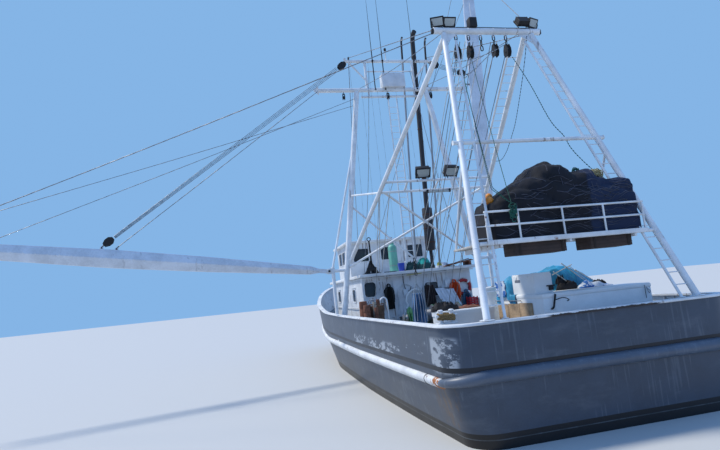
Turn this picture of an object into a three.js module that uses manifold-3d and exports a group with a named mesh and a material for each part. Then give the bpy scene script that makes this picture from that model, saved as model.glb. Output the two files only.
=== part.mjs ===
// A steel stern-rigged shrimp trawler, afloat. Millimetres, +X starboard, +Y forward, +Z up.
// The origin is amidships on the centreline, at the waterline.

import * as THREE from 'three';
import { mergeVertices } from 'three/addons/utils/BufferGeometryUtils.js';
import Module from 'manifold-3d';

const wasm = await Module();
wasm.setup();

// Driving dimensions

const fitGap = 0.3; // between pieces that rest on each other
const runningGap = 0.4; // between a pin or shaft and its bore, as radius
const roundSides = 48; // facets of a pin or shaft and of its bore, so that they turn freely
const sternY = -12500;
const quarterRadius = 650; // rounding of the stern corners in plan
const deckZ = 1380; // working deck, level from the stern to amidships
const sideZ = 2380; // top of the bulwark plating aft
const plateThickness = 60; // bulwark and house walls, with their stiffeners
const capThickness = 60;
const capTopZ = sideZ + capThickness + fitGap;

const shaftZ = -1850;
const skegAftY = -8950;
const propellerRadius = 750;
const rudderY = -10150;

const house = { half: 2450, aftY: -650, foreY: 7300, topZ: 3850, roofTopZ: 3970 };
const pilothouse = { half: 2050, aftY: 3600, foreY: 6900, topZ: 5730, roofTopZ: 5850 };

const frameLegHalf = 3450; // main frame legs at the deck
const frameTopHalf = 1660;
const frameFootY = -500;
const yardZ = 12450;

const heelX = 3800; // outrigger hinge pins
const heelY = -440;
const heelZ = 4270;
const sweepAft = 9.5; // degrees that the outriggers point aft of square
const portRaise = 7.7; // degrees above level, as it lies
const starboardRaise = 88; // stowed upright

const gantryFoot = { x: 2530, y: -12400, z: capTopZ + fitGap };
const gantryTop = { x: 1330, y: -9450, z: 10240 };
const crossbarShare = 0.533; // of the way up the gantry legs
const platformZ = 4080; // top of the net platform's floor

const degrees = Math.PI / 180;

// Materials

const paint = (color, roughness = 0.5, metalness = 0) =>
  new THREE.MeshStandardMaterial({ color, roughness, metalness });

const materials = {
  hullBlue: () => paint(0x46566a, 0.45),
  whitePaint: () => paint(0xdcdfe0, 0.45),
  keelPaint: () => paint(0x1a1c1e, 0.6),
  housePaint: () => paint(0xc9cdd0, 0.5),
  blackIron: () => paint(0x1d1c1c, 0.7, 0.4),
  bronze: () => paint(0x8d6a35, 0.35, 0.9),
  steel: () => paint(0x8a8d90, 0.45, 0.8),
  brownWood: () => paint(0x3d2c24, 0.75),
  darkNet: () => paint(0x14161f, 0.95),
  blueTarp: () => paint(0x1f57b0, 0.7),
  whitePlastic: () => paint(0xe3e4e0, 0.5),
  greenPaint: () => paint(0x2d6b46, 0.5),
  redPlastic: () => paint(0x8e1f24, 0.6),
  brownPlastic: () => paint(0x5c4433, 0.7),
};

// Solids

const point = (x, y, z) => new THREE.Vector3(x, y, z);

// A closed solid from corner positions and triangles, turned inside out when they face inward
function solidFrom(positions, triangles) {
  let volume = 0;
  for (let i = 0; i < triangles.length; i += 3) {
    const [a, b, c] = [0, 1, 2].map((k) => new THREE.Vector3().fromArray(positions, 3 * triangles[i + k]));
    volume += a.dot(b.cross(c));
  }
  const triVerts = new Uint32Array(triangles);
  if (volume < 0) triVerts.reverse();
  const vertProperties = new Float32Array(positions);
  return new wasm.Manifold(new wasm.Mesh({ numProp: 3, vertProperties, triVerts }));
}

function solidOf(geometry) {
  const bare = geometry.clone();
  bare.deleteAttribute('normal');
  bare.deleteAttribute('uv');
  const merged = mergeVertices(bare, 0.001);
  return solidFrom(Array.from(merged.attributes.position.array), Array.from(merged.index.array));
}

const join = (solids) => solids.reduce((all, solid) => all.add(solid));

const cut = (solid, ...tools) => tools.reduce((rest, tool) => rest.subtract(tool), solid);

// The biggest of the bodies that a cut leaves
const largest = (solid) => solid.decompose().sort((a, b) => b.volume() - a.volume())[0];

function geometryOf(solid) {
  const mesh = solid.getMesh();
  const geometry = new THREE.BufferGeometry();
  geometry.setAttribute('position', new THREE.BufferAttribute(mesh.vertProperties, 3));
  geometry.setIndex(new THREE.BufferAttribute(mesh.triVerts, 1));
  geometry.computeVertexNormals();
  return geometry;
}

function moved(solid, x, y, z) {
  return solidOf(geometryOf(solid).translate(x, y, z));
}

// A block between two opposite corners
function block([x0, y0, z0], [x1, y1, z1]) {
  const geometry = new THREE.BoxGeometry(Math.abs(x1 - x0), Math.abs(y1 - y0), Math.abs(z1 - z0));
  geometry.translate((x0 + x1) / 2, (y0 + y1) / 2, (z0 + z1) / 2);
  return solidOf(geometry);
}

// A round bar between two points, with its radius at each end
function bar(from, to, radius, endRadius = radius, sides = 10) {
  const start = point(...from);
  const along = point(...to).sub(start);
  const geometry = new THREE.CylinderGeometry(endRadius, radius, along.length(), sides);
  const turn = new THREE.Quaternion().setFromUnitVectors(point(0, 1, 0), along.clone().normalize());
  geometry.applyQuaternion(turn);
  const middle = start.addScaledVector(along, 0.5);
  geometry.translate(middle.x, middle.y, middle.z);
  return solidOf(geometry);
}

// Bars from a list of [from, to, radius], grown by an amount when they serve as a cutter
const thinRadius = 20; // a bar under this radius, such as a rung, has four sides
const bars = (members, grow = 0) =>
  join(members.map(([from, to, radius]) => {
    const barSides = radius < thinRadius ? 4 : 10;
    return bar(from, to, radius + grow, radius + grow, barSides);
  }));

// An outline, with a hole in it if one is given
function shapeOf(outline, hole) {
  const shape = new THREE.Shape(outline.map(([u, v]) => new THREE.Vector2(u, v)));
  if (hole) shape.holes.push(new THREE.Path(hole.map(([u, v]) => new THREE.Vector2(u, v))));
  return shape;
}

// A plate with an outline in the Y-Z plane, between two X positions
function plateAcross(outline, fromX, toX, hole = null) {
  const shape = shapeOf(outline, hole);
  const geometry = new THREE.ExtrudeGeometry(shape, { depth: toX - fromX, bevelEnabled: false, steps: 1 });
  const axes = new THREE.Matrix4().makeBasis(point(0, 1, 0), point(0, 0, 1), point(1, 0, 0));
  geometry.applyMatrix4(axes);
  geometry.translate(fromX, 0, 0);
  return solidOf(geometry);
}

// A plate with an outline in the X-Z plane, between two Y positions
function plateAlong(outline, fromY, toY, hole = null) {
  const shape = shapeOf(outline, hole);
  const geometry = new THREE.ExtrudeGeometry(shape, { depth: toY - fromY, bevelEnabled: false, steps: 1 });
  const axes = new THREE.Matrix4().makeBasis(point(1, 0, 0), point(0, 0, 1), point(0, -1, 0));
  geometry.applyMatrix4(axes);
  geometry.translate(0, toY, 0);
  return solidOf(geometry);
}

// A solid through rings of corners, each ring with the same count, closed by a flat fan at both ends.
// With paired diagonals, a thin twisted blade keeps its two faces apart.
function loft(rings, pairedDiagonals = false) {
  const count = rings[0].length;
  const positions = rings.flat(2);
  const triangles = [];
  for (let ring = 0; ring < rings.length - 1; ring += 1) {
    for (let k = 0; k < count; k += 1) {
      const a = ring * count + k;
      const b = ring * count + ((k + 1) % count);
      if (pairedDiagonals && k % 2 === 1) triangles.push(a, b, a + count, b, b + count, a + count);
      else triangles.push(a, b, b + count, a, b + count, a + count);
    }
  }
  const last = (rings.length - 1) * count;
  for (let k = 1; k < count - 1; k += 1) {
    triangles.push(0, k + 1, k, last, last + k, last + k + 1);
  }
  return solidFrom(positions, triangles);
}

// The scene graph: one named mesh for each piece

const trawler = new THREE.Group();

function addPiece(name, solid, material, parent = trawler) {
  const mesh = new THREE.Mesh(geometryOf(solid), material());
  mesh.name = name;
  parent.add(mesh);
  return mesh;
}

// A group for a moving piece, placed at its pivot
function addPivot(x, y, z) {
  const pivot = new THREE.Group();
  pivot.position.set(x, y, z);
  trawler.add(pivot);
  return pivot;
}

const sides = [
  { side: 'port', sign: -1 },
  { side: 'starboard', sign: 1 },
];

// Hull form, from the stern (0) to the stem (1)
const hullTable = [
  // along, bottomZ, chineHalf, chineZ, deckHalf, deckZ, railHalf, railZ
  [0.0, -430, 3050, -200, 3450, deckZ, 3450, sideZ],
  [0.15, -760, 3200, -330, 3560, deckZ, 3560, sideZ],
  [0.35, -1500, 3300, -450, 3650, deckZ, 3650, sideZ],
  [0.55, -2000, 3250, -430, 3650, deckZ, 3680, 2420],
  [0.7, -2050, 2850, -250, 3480, 1600, 3560, 2700],
  [0.82, -1950, 2150, 50, 2980, 1980, 3120, 3130],
  [0.92, -1600, 1200, 480, 2080, 2420, 2230, 3600],
  [1.0, -900, 90, 1050, 90, 2900, 110, 4080],
];
const column = { bottomZ: 1, chineHalf: 2, chineZ: 3, deckHalf: 4, deckZ: 5, railHalf: 6, railZ: 7 };
const keelHalf = 140; // flat bottom strip beside the centreline
const stemY = { bottom: 10300, chine: 11500, deck: 12500, rail: 13000 };
const cornerSteps = 4;
const sideSteps = 18;

// Value of a table column between its rows, smooth and without overshoot
function valueAt(table, col, along) {
  const last = table.length - 1;
  const slope = (i) => (table[i + 1][col] - table[i][col]) / (table[i + 1][0] - table[i][0]);
  const tangent = (i) => {
    if (i === 0) return slope(0);
    if (i === last) return slope(last - 1);
    const [before, after] = [slope(i - 1), slope(i)];
    return before * after <= 0 ? 0 : (2 * before * after) / (before + after);
  };
  const found = table.findIndex((row) => row[0] >= along);
  const i = Math.max(found - 1, 0);
  const width = table[i + 1][0] - table[i][0];
  const t = (along - table[i][0]) / width;
  const rise = t * t * (3 - 2 * t);
  return table[i][col] * (1 - rise) + table[i + 1][col] * rise
    + width * t * (1 - t) * ((1 - t) * tangent(i) - t * tangent(i + 1));
}

// One line of the hull, round the stern corner's arc and on to the stem. At each station, outset is
// how far one millimetre of outward offset moves it in X and Y.
function hullLine(halfAt, heightAt, endY) {
  const line = [];
  for (let i = 0; i < cornerSteps; i += 1) {
    const angle = (i / cornerSteps) * 90 * degrees;
    const half = halfAt(0) - quarterRadius * (1 - Math.sin(angle));
    const y = sternY + quarterRadius * (1 - Math.cos(angle));
    line.push({ half, y, z: heightAt(0), outset: [Math.sin(angle), -Math.cos(angle)] });
  }
  const startY = sternY + quarterRadius;
  const crowding = 1.5; // stations stand closer towards the stem
  for (let i = 0; i <= sideSteps; i += 1) {
    const along = 1 - (1 - i / sideSteps) ** crowding;
    const step = 0.001;
    const [a, b] = [Math.max(along - step, 0), Math.min(along + step, 1)];
    const side = new THREE.Vector2((b - a) * (endY - startY), halfAt(a) - halfAt(b)).normalize();
    const y = startY + along * (endY - startY);
    line.push({ half: halfAt(along), y, z: heightAt(along), outset: [1 / side.x, 0] });
  }
  return line;
}

const columnOf = (name) => (along) => valueAt(hullTable, column[name], along);
const deckEdge = hullLine(columnOf('deckHalf'), columnOf('deckZ'), stemY.deck);
const railEdge = hullLine(columnOf('railHalf'), columnOf('railZ'), stemY.rail);
const chineEdge = hullLine(columnOf('chineHalf'), columnOf('chineZ'), stemY.chine);
const bottomEdge = hullLine(columnOf('chineHalf'), columnOf('bottomZ'), stemY.bottom)
  .map((p) => ({ ...p, half: keelHalf }));

// A hull line's point on one side, moved out from the hull and up
function edgePoint({ half, y, z, outset }, sign, out, up) {
  return [sign * (half + out * outset[0]), y + out * outset[1], z + up];
}

// The hull, or a cutter for what rests on its deck or its bottom
function hullForm({ up = 0, down = 0 } = {}) {
  const rings = deckEdge.map((deck, i) => [
    edgePoint(deck, -1, 0, up),
    edgePoint(chineEdge[i], -1, 0, -down),
    edgePoint(bottomEdge[i], -1, 0, -down),
    edgePoint(bottomEdge[i], 1, 0, -down),
    edgePoint(chineEdge[i], 1, 0, -down),
    edgePoint(deck, 1, 0, up),
  ]);
  return loft(rings);
}

// A body that follows two hull lines round the boat, moved out by an amount. Moved in, it stops short
// of the stem.
function sheerBody(lower, upper, out, lowerUp, upperUp) {
  const isOpen = (p) => p.half + out * p.outset[0] > 25 && (out >= 0 || p.half > 200);
  const stations = lower.filter((p, i) => isOpen(p) && isOpen(upper[i]));
  const rings = stations.map((p, i) => [
    edgePoint(p, -1, out, lowerUp),
    edgePoint(upper[i], -1, out, upperUp),
    edgePoint(upper[i], 1, out, upperUp),
    edgePoint(p, 1, out, lowerUp),
  ]);
  return loft(rings);
}

const deckCutter = hullForm({ up: fitGap });
const bottomCutter = hullForm({ down: fitGap });

function buildHull() {
  const trunk = bar([0, rudderY, -850], [0, rudderY, 0], 110, 110, 16);
  addPiece('hull', hullForm().add(trunk), materials.hullBlue);
}

const capOverhang = { out: 60, in: 150 };

// The flat rail on top of the bulwark, from one height to another above the plating
function capRing(fromUp, toUp) {
  const outer = sheerBody(railEdge, railEdge, capOverhang.out, fromUp, toUp);
  return outer.subtract(sheerBody(railEdge, railEdge, -capOverhang.in, fromUp - 50, toUp + 50));
}
const capCutter = capRing(-200, capThickness + 2 * fitGap);

// The bulwark's three panels meet at the stem and where the rounded quarters begin
function buildBulwark() {
  const outer = sheerBody(deckEdge, railEdge, 0, fitGap, 0);
  const inner = sheerBody(deckEdge, railEdge, -plateThickness, -200, 200);
  const ring = outer.subtract(inner);
  const reach = 30000; // past the hull on every side
  const quarterY = sternY + quarterRadius;
  const fore = [quarterY + fitGap, reach];
  const forward = block([-reach, quarterY, -reach], [reach, reach, reach]);
  addPiece('bulwark_transom', ring.subtract(forward), materials.hullBlue);
  for (const { side, sign } of sides) {
    const half = block([sign * fitGap, fore[0], -reach], [sign * reach, fore[1], reach]);
    addPiece(`bulwark_${side}`, ring.intersect(half), materials.hullBlue);
  }
  addPiece('cap_rail', capRing(fitGap, fitGap + capThickness), materials.whitePaint);
}

// Half-round pipes along the deck edge, on the hull side between two heights under the deck
function buildRubRails() {
  const upperShare = 0.012;
  const lowerShare = 0.15;
  const bulge = 115;
  const arcSteps = 6;
  const firstStation = cornerSteps;
  for (const { side, sign } of sides) {
    const rings = deckEdge.slice(firstStation).map((deck, i) => {
      const high = point(...edgePoint(deck, sign, 0, 0));
      const low = point(...edgePoint(chineEdge[i + firstStation], sign, 0, 0));
      const top = high.clone().lerp(low, upperShare);
      const foot = high.clone().lerp(low, lowerShare);
      const middle = top.clone().lerp(foot, 0.5);
      const half = top.clone().sub(foot).multiplyScalar(0.5);
      const outward = point(sign, 0, 0);
      const ring = [];
      for (let k = 0; k <= arcSteps; k += 1) {
        const angle = (k / arcSteps) * 180 * degrees;
        const corner = middle.clone().addScaledVector(half, Math.cos(angle));
        ring.push(corner.addScaledVector(outward, bulge * Math.sin(angle)).toArray());
      }
      const inset = point(0, 0, 0).addScaledVector(outward, -40);
      ring.push(foot.clone().add(inset).toArray(), top.clone().add(inset).toArray());
      return ring;
    });
    const rail = moved(largest(cut(loft(rings), hullForm())), sign * fitGap, 0, 0);
    addPiece(`rub_rail_${side}`, rail, materials.whitePaint);
  }
}

// Rounded moulding across the transom at deck level
function buildTransomFender() {
  const halfLength = 2780;
  const radius = 135;
  const arcSteps = 8;
  const outline = [];
  for (let k = 0; k <= arcSteps; k += 1) {
    const angle = (k / arcSteps) * 180 * degrees;
    outline.push([sternY - fitGap - radius * Math.sin(angle), deckZ + radius * Math.cos(angle)]);
  }
  addPiece('transom_fender', plateAcross(outline, -halfLength, halfLength), materials.hullBlue);
}

// Keel, skeg and the sole piece under the rudder
function buildKeel() {
  const halfThickness = 120;
  const outline = [
    [rudderY - 150, -2850],
    [6500, -2450],
    [9200, -1950],
    [9900, -1000],
    [8000, -600],
    [skegAftY, -300],
    [skegAftY, -2730],
    [rudderY - 150, -2730],
  ];
  const profile = plateAcross(outline, -halfThickness, halfThickness);
  const sternTube = bar([0, skegAftY - 100, shaftZ], [0, skegAftY + 600, shaftZ], 170, 170, 20);
  addPiece('keel_skeg', cut(profile.add(sternTube), bottomCutter), materials.keelPaint);
}

// One propeller blade as twisted lens sections from the hub to the tip
function propellerBlade(turn) {
  const sections = [
    // radius, chord, thickness
    [100, 150, 50],
    [260, 380, 42],
    [450, 520, 30],
    [640, 440, 20],
    [propellerRadius, 160, 12],
  ];
  const pitch = 1100;
  const rings = sections.map(([radius, chord, thickness]) => {
    const angle = Math.atan(pitch / (2 * Math.PI * radius));
    const [c, s] = [Math.cos(angle), Math.sin(angle)];
    const corners = [[-chord / 2, 0], [0, thickness / 2], [chord / 2, 0], [0, -thickness / 2]];
    return corners.map(([u, w]) => {
      const across = u * c - w * s;
      const along = u * s + w * c;
      return point(across, along, radius).applyAxisAngle(point(0, 1, 0), turn).toArray();
    });
  });
  return loft(rings, true);
}

function buildPropeller() {
  const hubForeY = skegAftY - 280;
  const hubAftY = hubForeY - 420;
  const hubMiddleY = (hubForeY + hubAftY) / 2;
  const bladeCount = 4;
  const pivot = addPivot(0, hubMiddleY, shaftZ);
  const toPivot = (y) => y - hubMiddleY;
  const blades = Array.from({ length: bladeCount }, (_, i) => propellerBlade((i * 2 * Math.PI) / bladeCount));
  const hub = bar([0, toPivot(hubForeY), 0], [0, toPivot(hubAftY), 0], 155, 130, 20);
  const nut = bar([0, toPivot(hubAftY) + 20, 0], [0, toPivot(hubAftY) - 110, 0], 80, 40, 12);
  addPiece('propeller', join([hub, nut, ...blades]), materials.bronze, pivot);
  const shaftForeY = skegAftY - 100 - fitGap;
  const shaft = bar([0, toPivot(shaftForeY), 0], [0, toPivot(hubForeY) + fitGap, 0], 55, 55, 16);
  addPiece('propeller_shaft', shaft, materials.steel, pivot);
}

function buildRudder() {
  const pivot = addPivot(0, rudderY, 0);
  const topZ = -980;
  const bottomZ = -2620;
  const section = [[250, 0], [120, 70], [-200, 85], [-900, 20], [-900, -20], [-200, -85], [120, -70]];
  const rings = [topZ, bottomZ].map((z) => section.map(([y, x]) => [x, y, z]));
  const stock = bar([0, 0, -850 - fitGap], [0, 0, topZ - 5], 60, 60, 16);
  const pintle = bar([0, 0, bottomZ + 5], [0, 0, -2730 + fitGap], 50, 50, 16);
  addPiece('rudder', join([loft(rings), stock, pintle]), materials.keelPaint, pivot);
}

// Openings in a wall as [from, to] spans along it and in height
function wallWithOpenings(wall, openings, cutter) {
  return openings.reduce((rest, opening) => rest.subtract(cutter(opening)), wall);
}

const aftDoor = { x: [-1750, -1130], z: [1630, 3600] };

function buildDeckhouse() {
  const t = plateThickness;
  const { half, aftY, foreY, topZ, roofTopZ } = house;
  const floorZ = 1000; // below the deck everywhere, then cut to it
  const aftWall = wallWithOpenings(
    block([-half, aftY, floorZ], [half, aftY + t, topZ]),
    [aftDoor, { x: [-2380, -1880], z: [3020, 3640] }, { x: [300, 900], z: [2800, 3400] }],
    ({ x, z }) => block([x[0], aftY - 50, z[0]], [x[1], aftY + t + 50, z[1]]),
  );
  addPiece('deckhouse_aft_wall', cut(aftWall, deckCutter), materials.housePaint);
  const foreWall = block([-half, foreY - t, floorZ], [half, foreY, topZ]);
  addPiece('deckhouse_front_wall', cut(foreWall, deckCutter), materials.housePaint);
  for (const { side, sign } of sides) {
    const ends = [aftY + t + fitGap, foreY - t - fitGap];
    const wall = block([sign * (half - t), ends[0], floorZ], [sign * half, ends[1], topZ]);
    const windows = [{ y: [900, 1600] }, { y: [2900, 3600] }, { y: [4900, 5600] }];
    const open = wallWithOpenings(wall, windows, ({ y }) =>
      block([sign * (half - t - 50), y[0], 2850], [sign * (half + 50), y[1], 3400]));
    addPiece(`deckhouse_${side}_wall`, cut(open, deckCutter), materials.housePaint);
  }
  const roof = block([-half - 150, aftY - 350, topZ + fitGap], [half + 150, foreY + 60, roofTopZ]);
  addPiece('deckhouse_roof', roof, materials.whitePaint);
}

const bridgeDoor = { y: [3850, 4500], z: [4080, 5620] };

function buildPilothouse() {
  const t = plateThickness;
  const { half, aftY, foreY, topZ, roofTopZ } = pilothouse;
  const floorZ = house.roofTopZ + fitGap;
  const rake = 200; // the front leans forward at its top
  const aftWall = wallWithOpenings(
    block([-half, aftY, floorZ], [half, aftY + t, topZ]),
    [{ x: [-1850, -1050] }, { x: [-400, 400] }, { x: [1050, 1850] }],
    ({ x }) => block([x[0], aftY - 50, 4800], [x[1], aftY + t + 50, 5450]),
  );
  addPiece('pilothouse_aft_wall', aftWall, materials.housePaint);
  const frontOutline = [[foreY - t, floorZ], [foreY, floorZ], [foreY + rake, topZ], [foreY + rake - t, topZ]];
  const windowPitch = 780;
  const front = wallWithOpenings(
    plateAcross(frontOutline, -half, half),
    [-2, -1, 0, 1, 2].map((i) => i * windowPitch),
    (x) => block([x - 310, foreY - 200, 4800], [x + 310, foreY + 400, 5450]),
  );
  addPiece('pilothouse_front_wall', front, materials.housePaint);
  const sideAftY = aftY + t + fitGap;
  const sideForeY = foreY - t - fitGap;
  const sideOutline = [[sideAftY, floorZ], [sideForeY, floorZ], [sideForeY + rake, topZ], [sideAftY, topZ]];
  for (const { side, sign } of sides) {
    const [x0, x1] = [sign * (half - t), sign * half].sort((a, b) => a - b);
    const open = wallWithOpenings(
      plateAcross(sideOutline, x0, x1),
      [bridgeDoor, { y: [4750, 5550], z: [4800, 5450] }, { y: [5750, 6550], z: [4800, 5450] }],
      ({ y, z }) => block([x0 - 50, y[0], z[0]], [x1 + 50, y[1], z[1]]),
    );
    addPiece(`pilothouse_${side}_wall`, open, materials.housePaint);
  }
  const roof = block([-half - 180, aftY - 180, topZ + fitGap], [half + 180, foreY + rake + 250, roofTopZ]);
  addPiece('pilothouse_roof', roof, materials.whitePaint);
}

// A flat door leaf in an opening, hinged at the outer corner of one edge, where it sits close
const doorClearance = 8;
const leafThickness = 40;

function buildDoors() {
  const [x0, x1] = aftDoor.x;
  const [z0, z1] = aftDoor.z;
  const pivot = addPivot(x0 + fitGap, house.aftY, 0);
  const width = x1 - x0 - fitGap - doorClearance;
  const leaf = block([0, 0, z0 + doorClearance], [width, leafThickness, z1 - doorClearance]);
  addPiece('deckhouse_aft_door', leaf, materials.housePaint, pivot);
  for (const { side, sign } of sides) {
    const [y0, y1] = bridgeDoor.y;
    const [low, high] = bridgeDoor.z;
    const hinge = addPivot(sign * pilothouse.half, y1 - fitGap, 0);
    const length = y1 - y0 - fitGap - doorClearance;
    const panel = block([0, -length, low + doorClearance], [-sign * leafThickness, 0, high - doorClearance]);
    const window = block([-200, -length + 110, 4900], [200, -110, 5450]);
    addPiece(`pilothouse_${side}_door`, panel.subtract(window), materials.housePaint, hinge);
  }
}

// Where a main frame leg is at a height
function legAt(z) {
  const share = (z - deckZ) / (yardZ - deckZ);
  return [frameLegHalf + share * (frameTopHalf - frameLegHalf), frameFootY * (1 - share), z];
}

const onSide = (sign, [x, y, z]) => [sign * x, y, z];

const legRadius = 120;
const yardRadius = 95;
const heelPost = { x: 3600, y: -400, topZ: 4450 };

function frameLegMembers(sign) {
  const place = (p) => onSide(sign, p);
  return [
    [place(legAt(deckZ - 100)), place(legAt(yardZ - yardRadius - 40)), legRadius],
    [place([heelPost.x, heelPost.y, capTopZ - 50]), place([heelPost.x, heelPost.y, heelPost.topZ]), 75],
    [place(legAt(heelZ)), place([heelPost.x, heelPost.y, heelZ]), 70],
    [place([heelPost.x, heelPost.y, heelPost.topZ - 40]), place(legAt(10000)), 45],
  ];
}

const lowerYardHalf = 3450;
const upperYard = { half: 2080, z: 13850, postX: 1150 };
const lowerRail = { half: 1480, z: yardZ - 330, tieX: 1100 };
const yardMembers = [
  [[-lowerYardHalf, 0, yardZ], [lowerYardHalf, 0, yardZ], yardRadius],
  [[-lowerRail.half, 0, lowerRail.z], [lowerRail.half, 0, lowerRail.z], 55],
  [[-upperYard.half, 0, upperYard.z], [upperYard.half, 0, upperYard.z], 70],
  [[-upperYard.postX, 0, 13350], [upperYard.postX, 0, 13350], 30],
  ...sides.flatMap(({ sign }) => [
    [[sign * upperYard.postX, 0, yardZ], [sign * upperYard.postX, 0, upperYard.z], 60],
    [[sign * (upperYard.half - 130), 0, upperYard.z], [sign * upperYard.postX, 0, 12900], 40],
    [[sign * lowerRail.tieX, 0, yardZ], [sign * lowerRail.tieX, 0, lowerRail.z], 40],
  ]),
];
const whipAerials = [
  // x, tip height
  [-780, 16900],
  [-300, 17300],
  [1250, 18200],
];

const lugInner = 55; // half the space between the hinge lugs
const pinRadius = 35;

// Hinge lugs and pin of an outrigger, square to its swing
function heelBracket(sign) {
  const yaw = sign > 0 ? -sweepAft * degrees : (180 + sweepAft) * degrees;
  const lugs = [-1, 1].map((end) => {
    const [y0, y1] = [end * lugInner, end * (lugInner + 30)].sort((a, b) => a - b);
    const outline = [[-190, -110], [0, -110], [80, -75], [110, 0], [80, 75], [0, 110], [-190, 110]];
    return plateAlong(outline, y0, y1);
  });
  const pin = bar([0, -lugInner - 50, 0], [0, lugInner + 50, 0], pinRadius, pinRadius, roundSides);
  const turn = (solid) => {
    const geometry = geometryOf(solid);
    geometry.rotateZ(yaw);
    geometry.translate(sign * heelX, heelY, heelZ);
    return solidOf(geometry);
  };
  return join([...lugs, pin].map(turn));
}

// Plates at the lower yard's ends and lugs at the upper yard's, which take the topping lifts
const yardPlate = { reach: 200, half: 200, thick: 24 };

function yardEnds() {
  return sides.map(({ sign }) => {
    const [x, tip] = [sign * lowerYardHalf, sign * (lowerYardHalf + yardPlate.reach)];
    const outline = [
      [x - sign * 20, yardZ - yardPlate.half],
      [tip, yardZ - 20],
      [tip, yardZ + 50],
      [x - sign * 20, yardZ + yardPlate.half],
    ];
    const plate = plateAlong(outline, -yardPlate.thick / 2, yardPlate.thick / 2);
    const lugX = sign * upperYard.half;
    const lug = block(
      [lugX - 60, -yardPlate.thick / 2, upperYard.z - 150],
      [lugX + 60, yardPlate.thick / 2, upperYard.z + 160],
    );
    return plate.add(lug);
  });
}

function buildMainFrame() {
  const lampBox = block([-450, -250, yardZ + 60], [650, 250, 13200]);
  const aerialY = -60;
  const aerials = whipAerials.map(([x, tipZ]) => bar([x, aerialY, yardZ], [x, aerialY, tipZ], 24, 8, 8));
  const yards = join([bars(yardMembers), lampBox, ...aerials, ...yardEnds()]);
  addPiece('main_frame_yards', yards, materials.whitePaint);
  const yardCutter = bars(yardMembers, fitGap);
  const roofCutter = block([-3000, -1500, 3000], [3000, 1500, house.roofTopZ + fitGap]);
  const strutCutter = join(sides.map(({ sign }) => bars(strutMembers(sign), fitGap)));
  for (const { side, sign } of sides) {
    const foreAndAft = bar(onSide(sign, legAt(7500)), onSide(sign, strutAt(midShares[1])), 40);
    const members = [bars(frameLegMembers(sign)), heelBracket(sign), foreAndAft.subtract(strutCutter)];
    // a brace to the house roof on the port side only
    if (sign < 0) {
      const brace = bar(onSide(sign, legAt(7050)), [580, -420, house.roofTopZ - 20], 45);
      members.push(brace.subtract(roofCutter));
    }
    const leg = cut(join(members), deckCutter, capCutter, yardCutter);
    addPiece(`main_frame_leg_${side}`, leg, materials.whitePaint);
  }
  const ladder = ladderMembers([0, 0, house.roofTopZ + fitGap], [0, 0, lowerRail.z], [1, 0, 0], 400, 25, 12);
  addPiece('mast_ladder', cut(bars(ladder), yardCutter), materials.whitePaint);
}

// Stiles and rungs between two points, centred on the line between them
const rungPitch = 305;

function ladderMembers(from, to, across, width, stileRadius, rungRadius) {
  const [start, end] = [point(...from), point(...to)];
  const side = point(...across).normalize();
  const at = (share, offset) => start.clone().lerp(end, share).addScaledVector(side, offset).toArray();
  const members = [-1, 1].map((s) => [at(0, (s * width) / 2), at(1, (s * width) / 2), stileRadius]);
  const length = start.distanceTo(end);
  const count = Math.floor(length / rungPitch);
  for (let i = 1; i < count; i += 1) {
    const share = (i * rungPitch) / length;
    members.push([at(share, -width / 2), at(share, width / 2), rungRadius]);
  }
  return members;
}

// Stern gantry

const gantryAt = (share, sign = 1, inward = 0) => [
  sign * (gantryFoot.x + share * (gantryTop.x - gantryFoot.x) - inward),
  gantryFoot.y + share * (gantryTop.y - gantryFoot.y),
  gantryFoot.z + share * (gantryTop.z - gantryFoot.z),
];
const gantryShareAt = (z) => (z - gantryFoot.z) / (gantryTop.z - gantryFoot.z);

const gantryLegRadius = 75;
const topBeamRadius = 90;

function gantryLegMembers(sign, reach = 0) {
  const belowRail = -0.012; // the feet reach into the cap rail and are cut to it
  const members = [
    [gantryAt(belowRail, sign), gantryAt(0.985 + reach, sign), gantryLegRadius],
    [gantryAt(belowRail, sign, 400), gantryAt(0.965 + reach, sign, 330), 32],
  ];
  const length = point(...gantryAt(0)).distanceTo(point(...gantryAt(1)));
  const count = Math.floor(length / rungPitch) - 1;
  for (let i = 1; i <= count; i += 1) {
    const share = (i * rungPitch) / length;
    members.push([gantryAt(share, sign), gantryAt(share, sign, 400 - 70 * share), 12]);
  }
  return members;
}

const crossbarEnd = gantryAt(crossbarShare);
const crossbarHalf = crossbarEnd[0] + 190;
const crossbarMembers = [
  [[-crossbarHalf, crossbarEnd[1], crossbarEnd[2]], [crossbarHalf, crossbarEnd[1], crossbarEnd[2]], 50],
];
const topBeamMembers = [
  [[-1620, gantryTop.y, gantryTop.z], [1620, gantryTop.y, gantryTop.z], topBeamRadius],
];

const platformShare = gantryShareAt(platformZ - 50);
const platformEnd = gantryAt(platformShare);
const platformBeamMembers = [
  [[-platformEnd[0], platformEnd[1], platformEnd[2]], [platformEnd[0], platformEnd[1], platformEnd[2]], 45],
];

// Struts from the gantry's top to the inner sides of the main frame's legs, low down
const strutRadius = 80;
const strutTop = [gantryTop.x - 120, gantryTop.y, gantryTop.z];
const strutFoot = legAt(4600).map((v, i) => (i === 0 ? v - 130 : v));
const strutAt = (share) => strutTop.map((v, i) => v + share * (strutFoot[i] - v));
const strutMembers = (sign) => [[onSide(sign, strutTop), onSide(sign, strutFoot), strutRadius]];
const midShares = [0.555, 0.605]; // of the way down the struts, where the two cross bars are

// A ladder on the starboard strut's inner side, from its top to the cross bars
const strutLadder = { inward: 400, from: 0.05, to: 0.535, radius: 32 };

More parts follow.
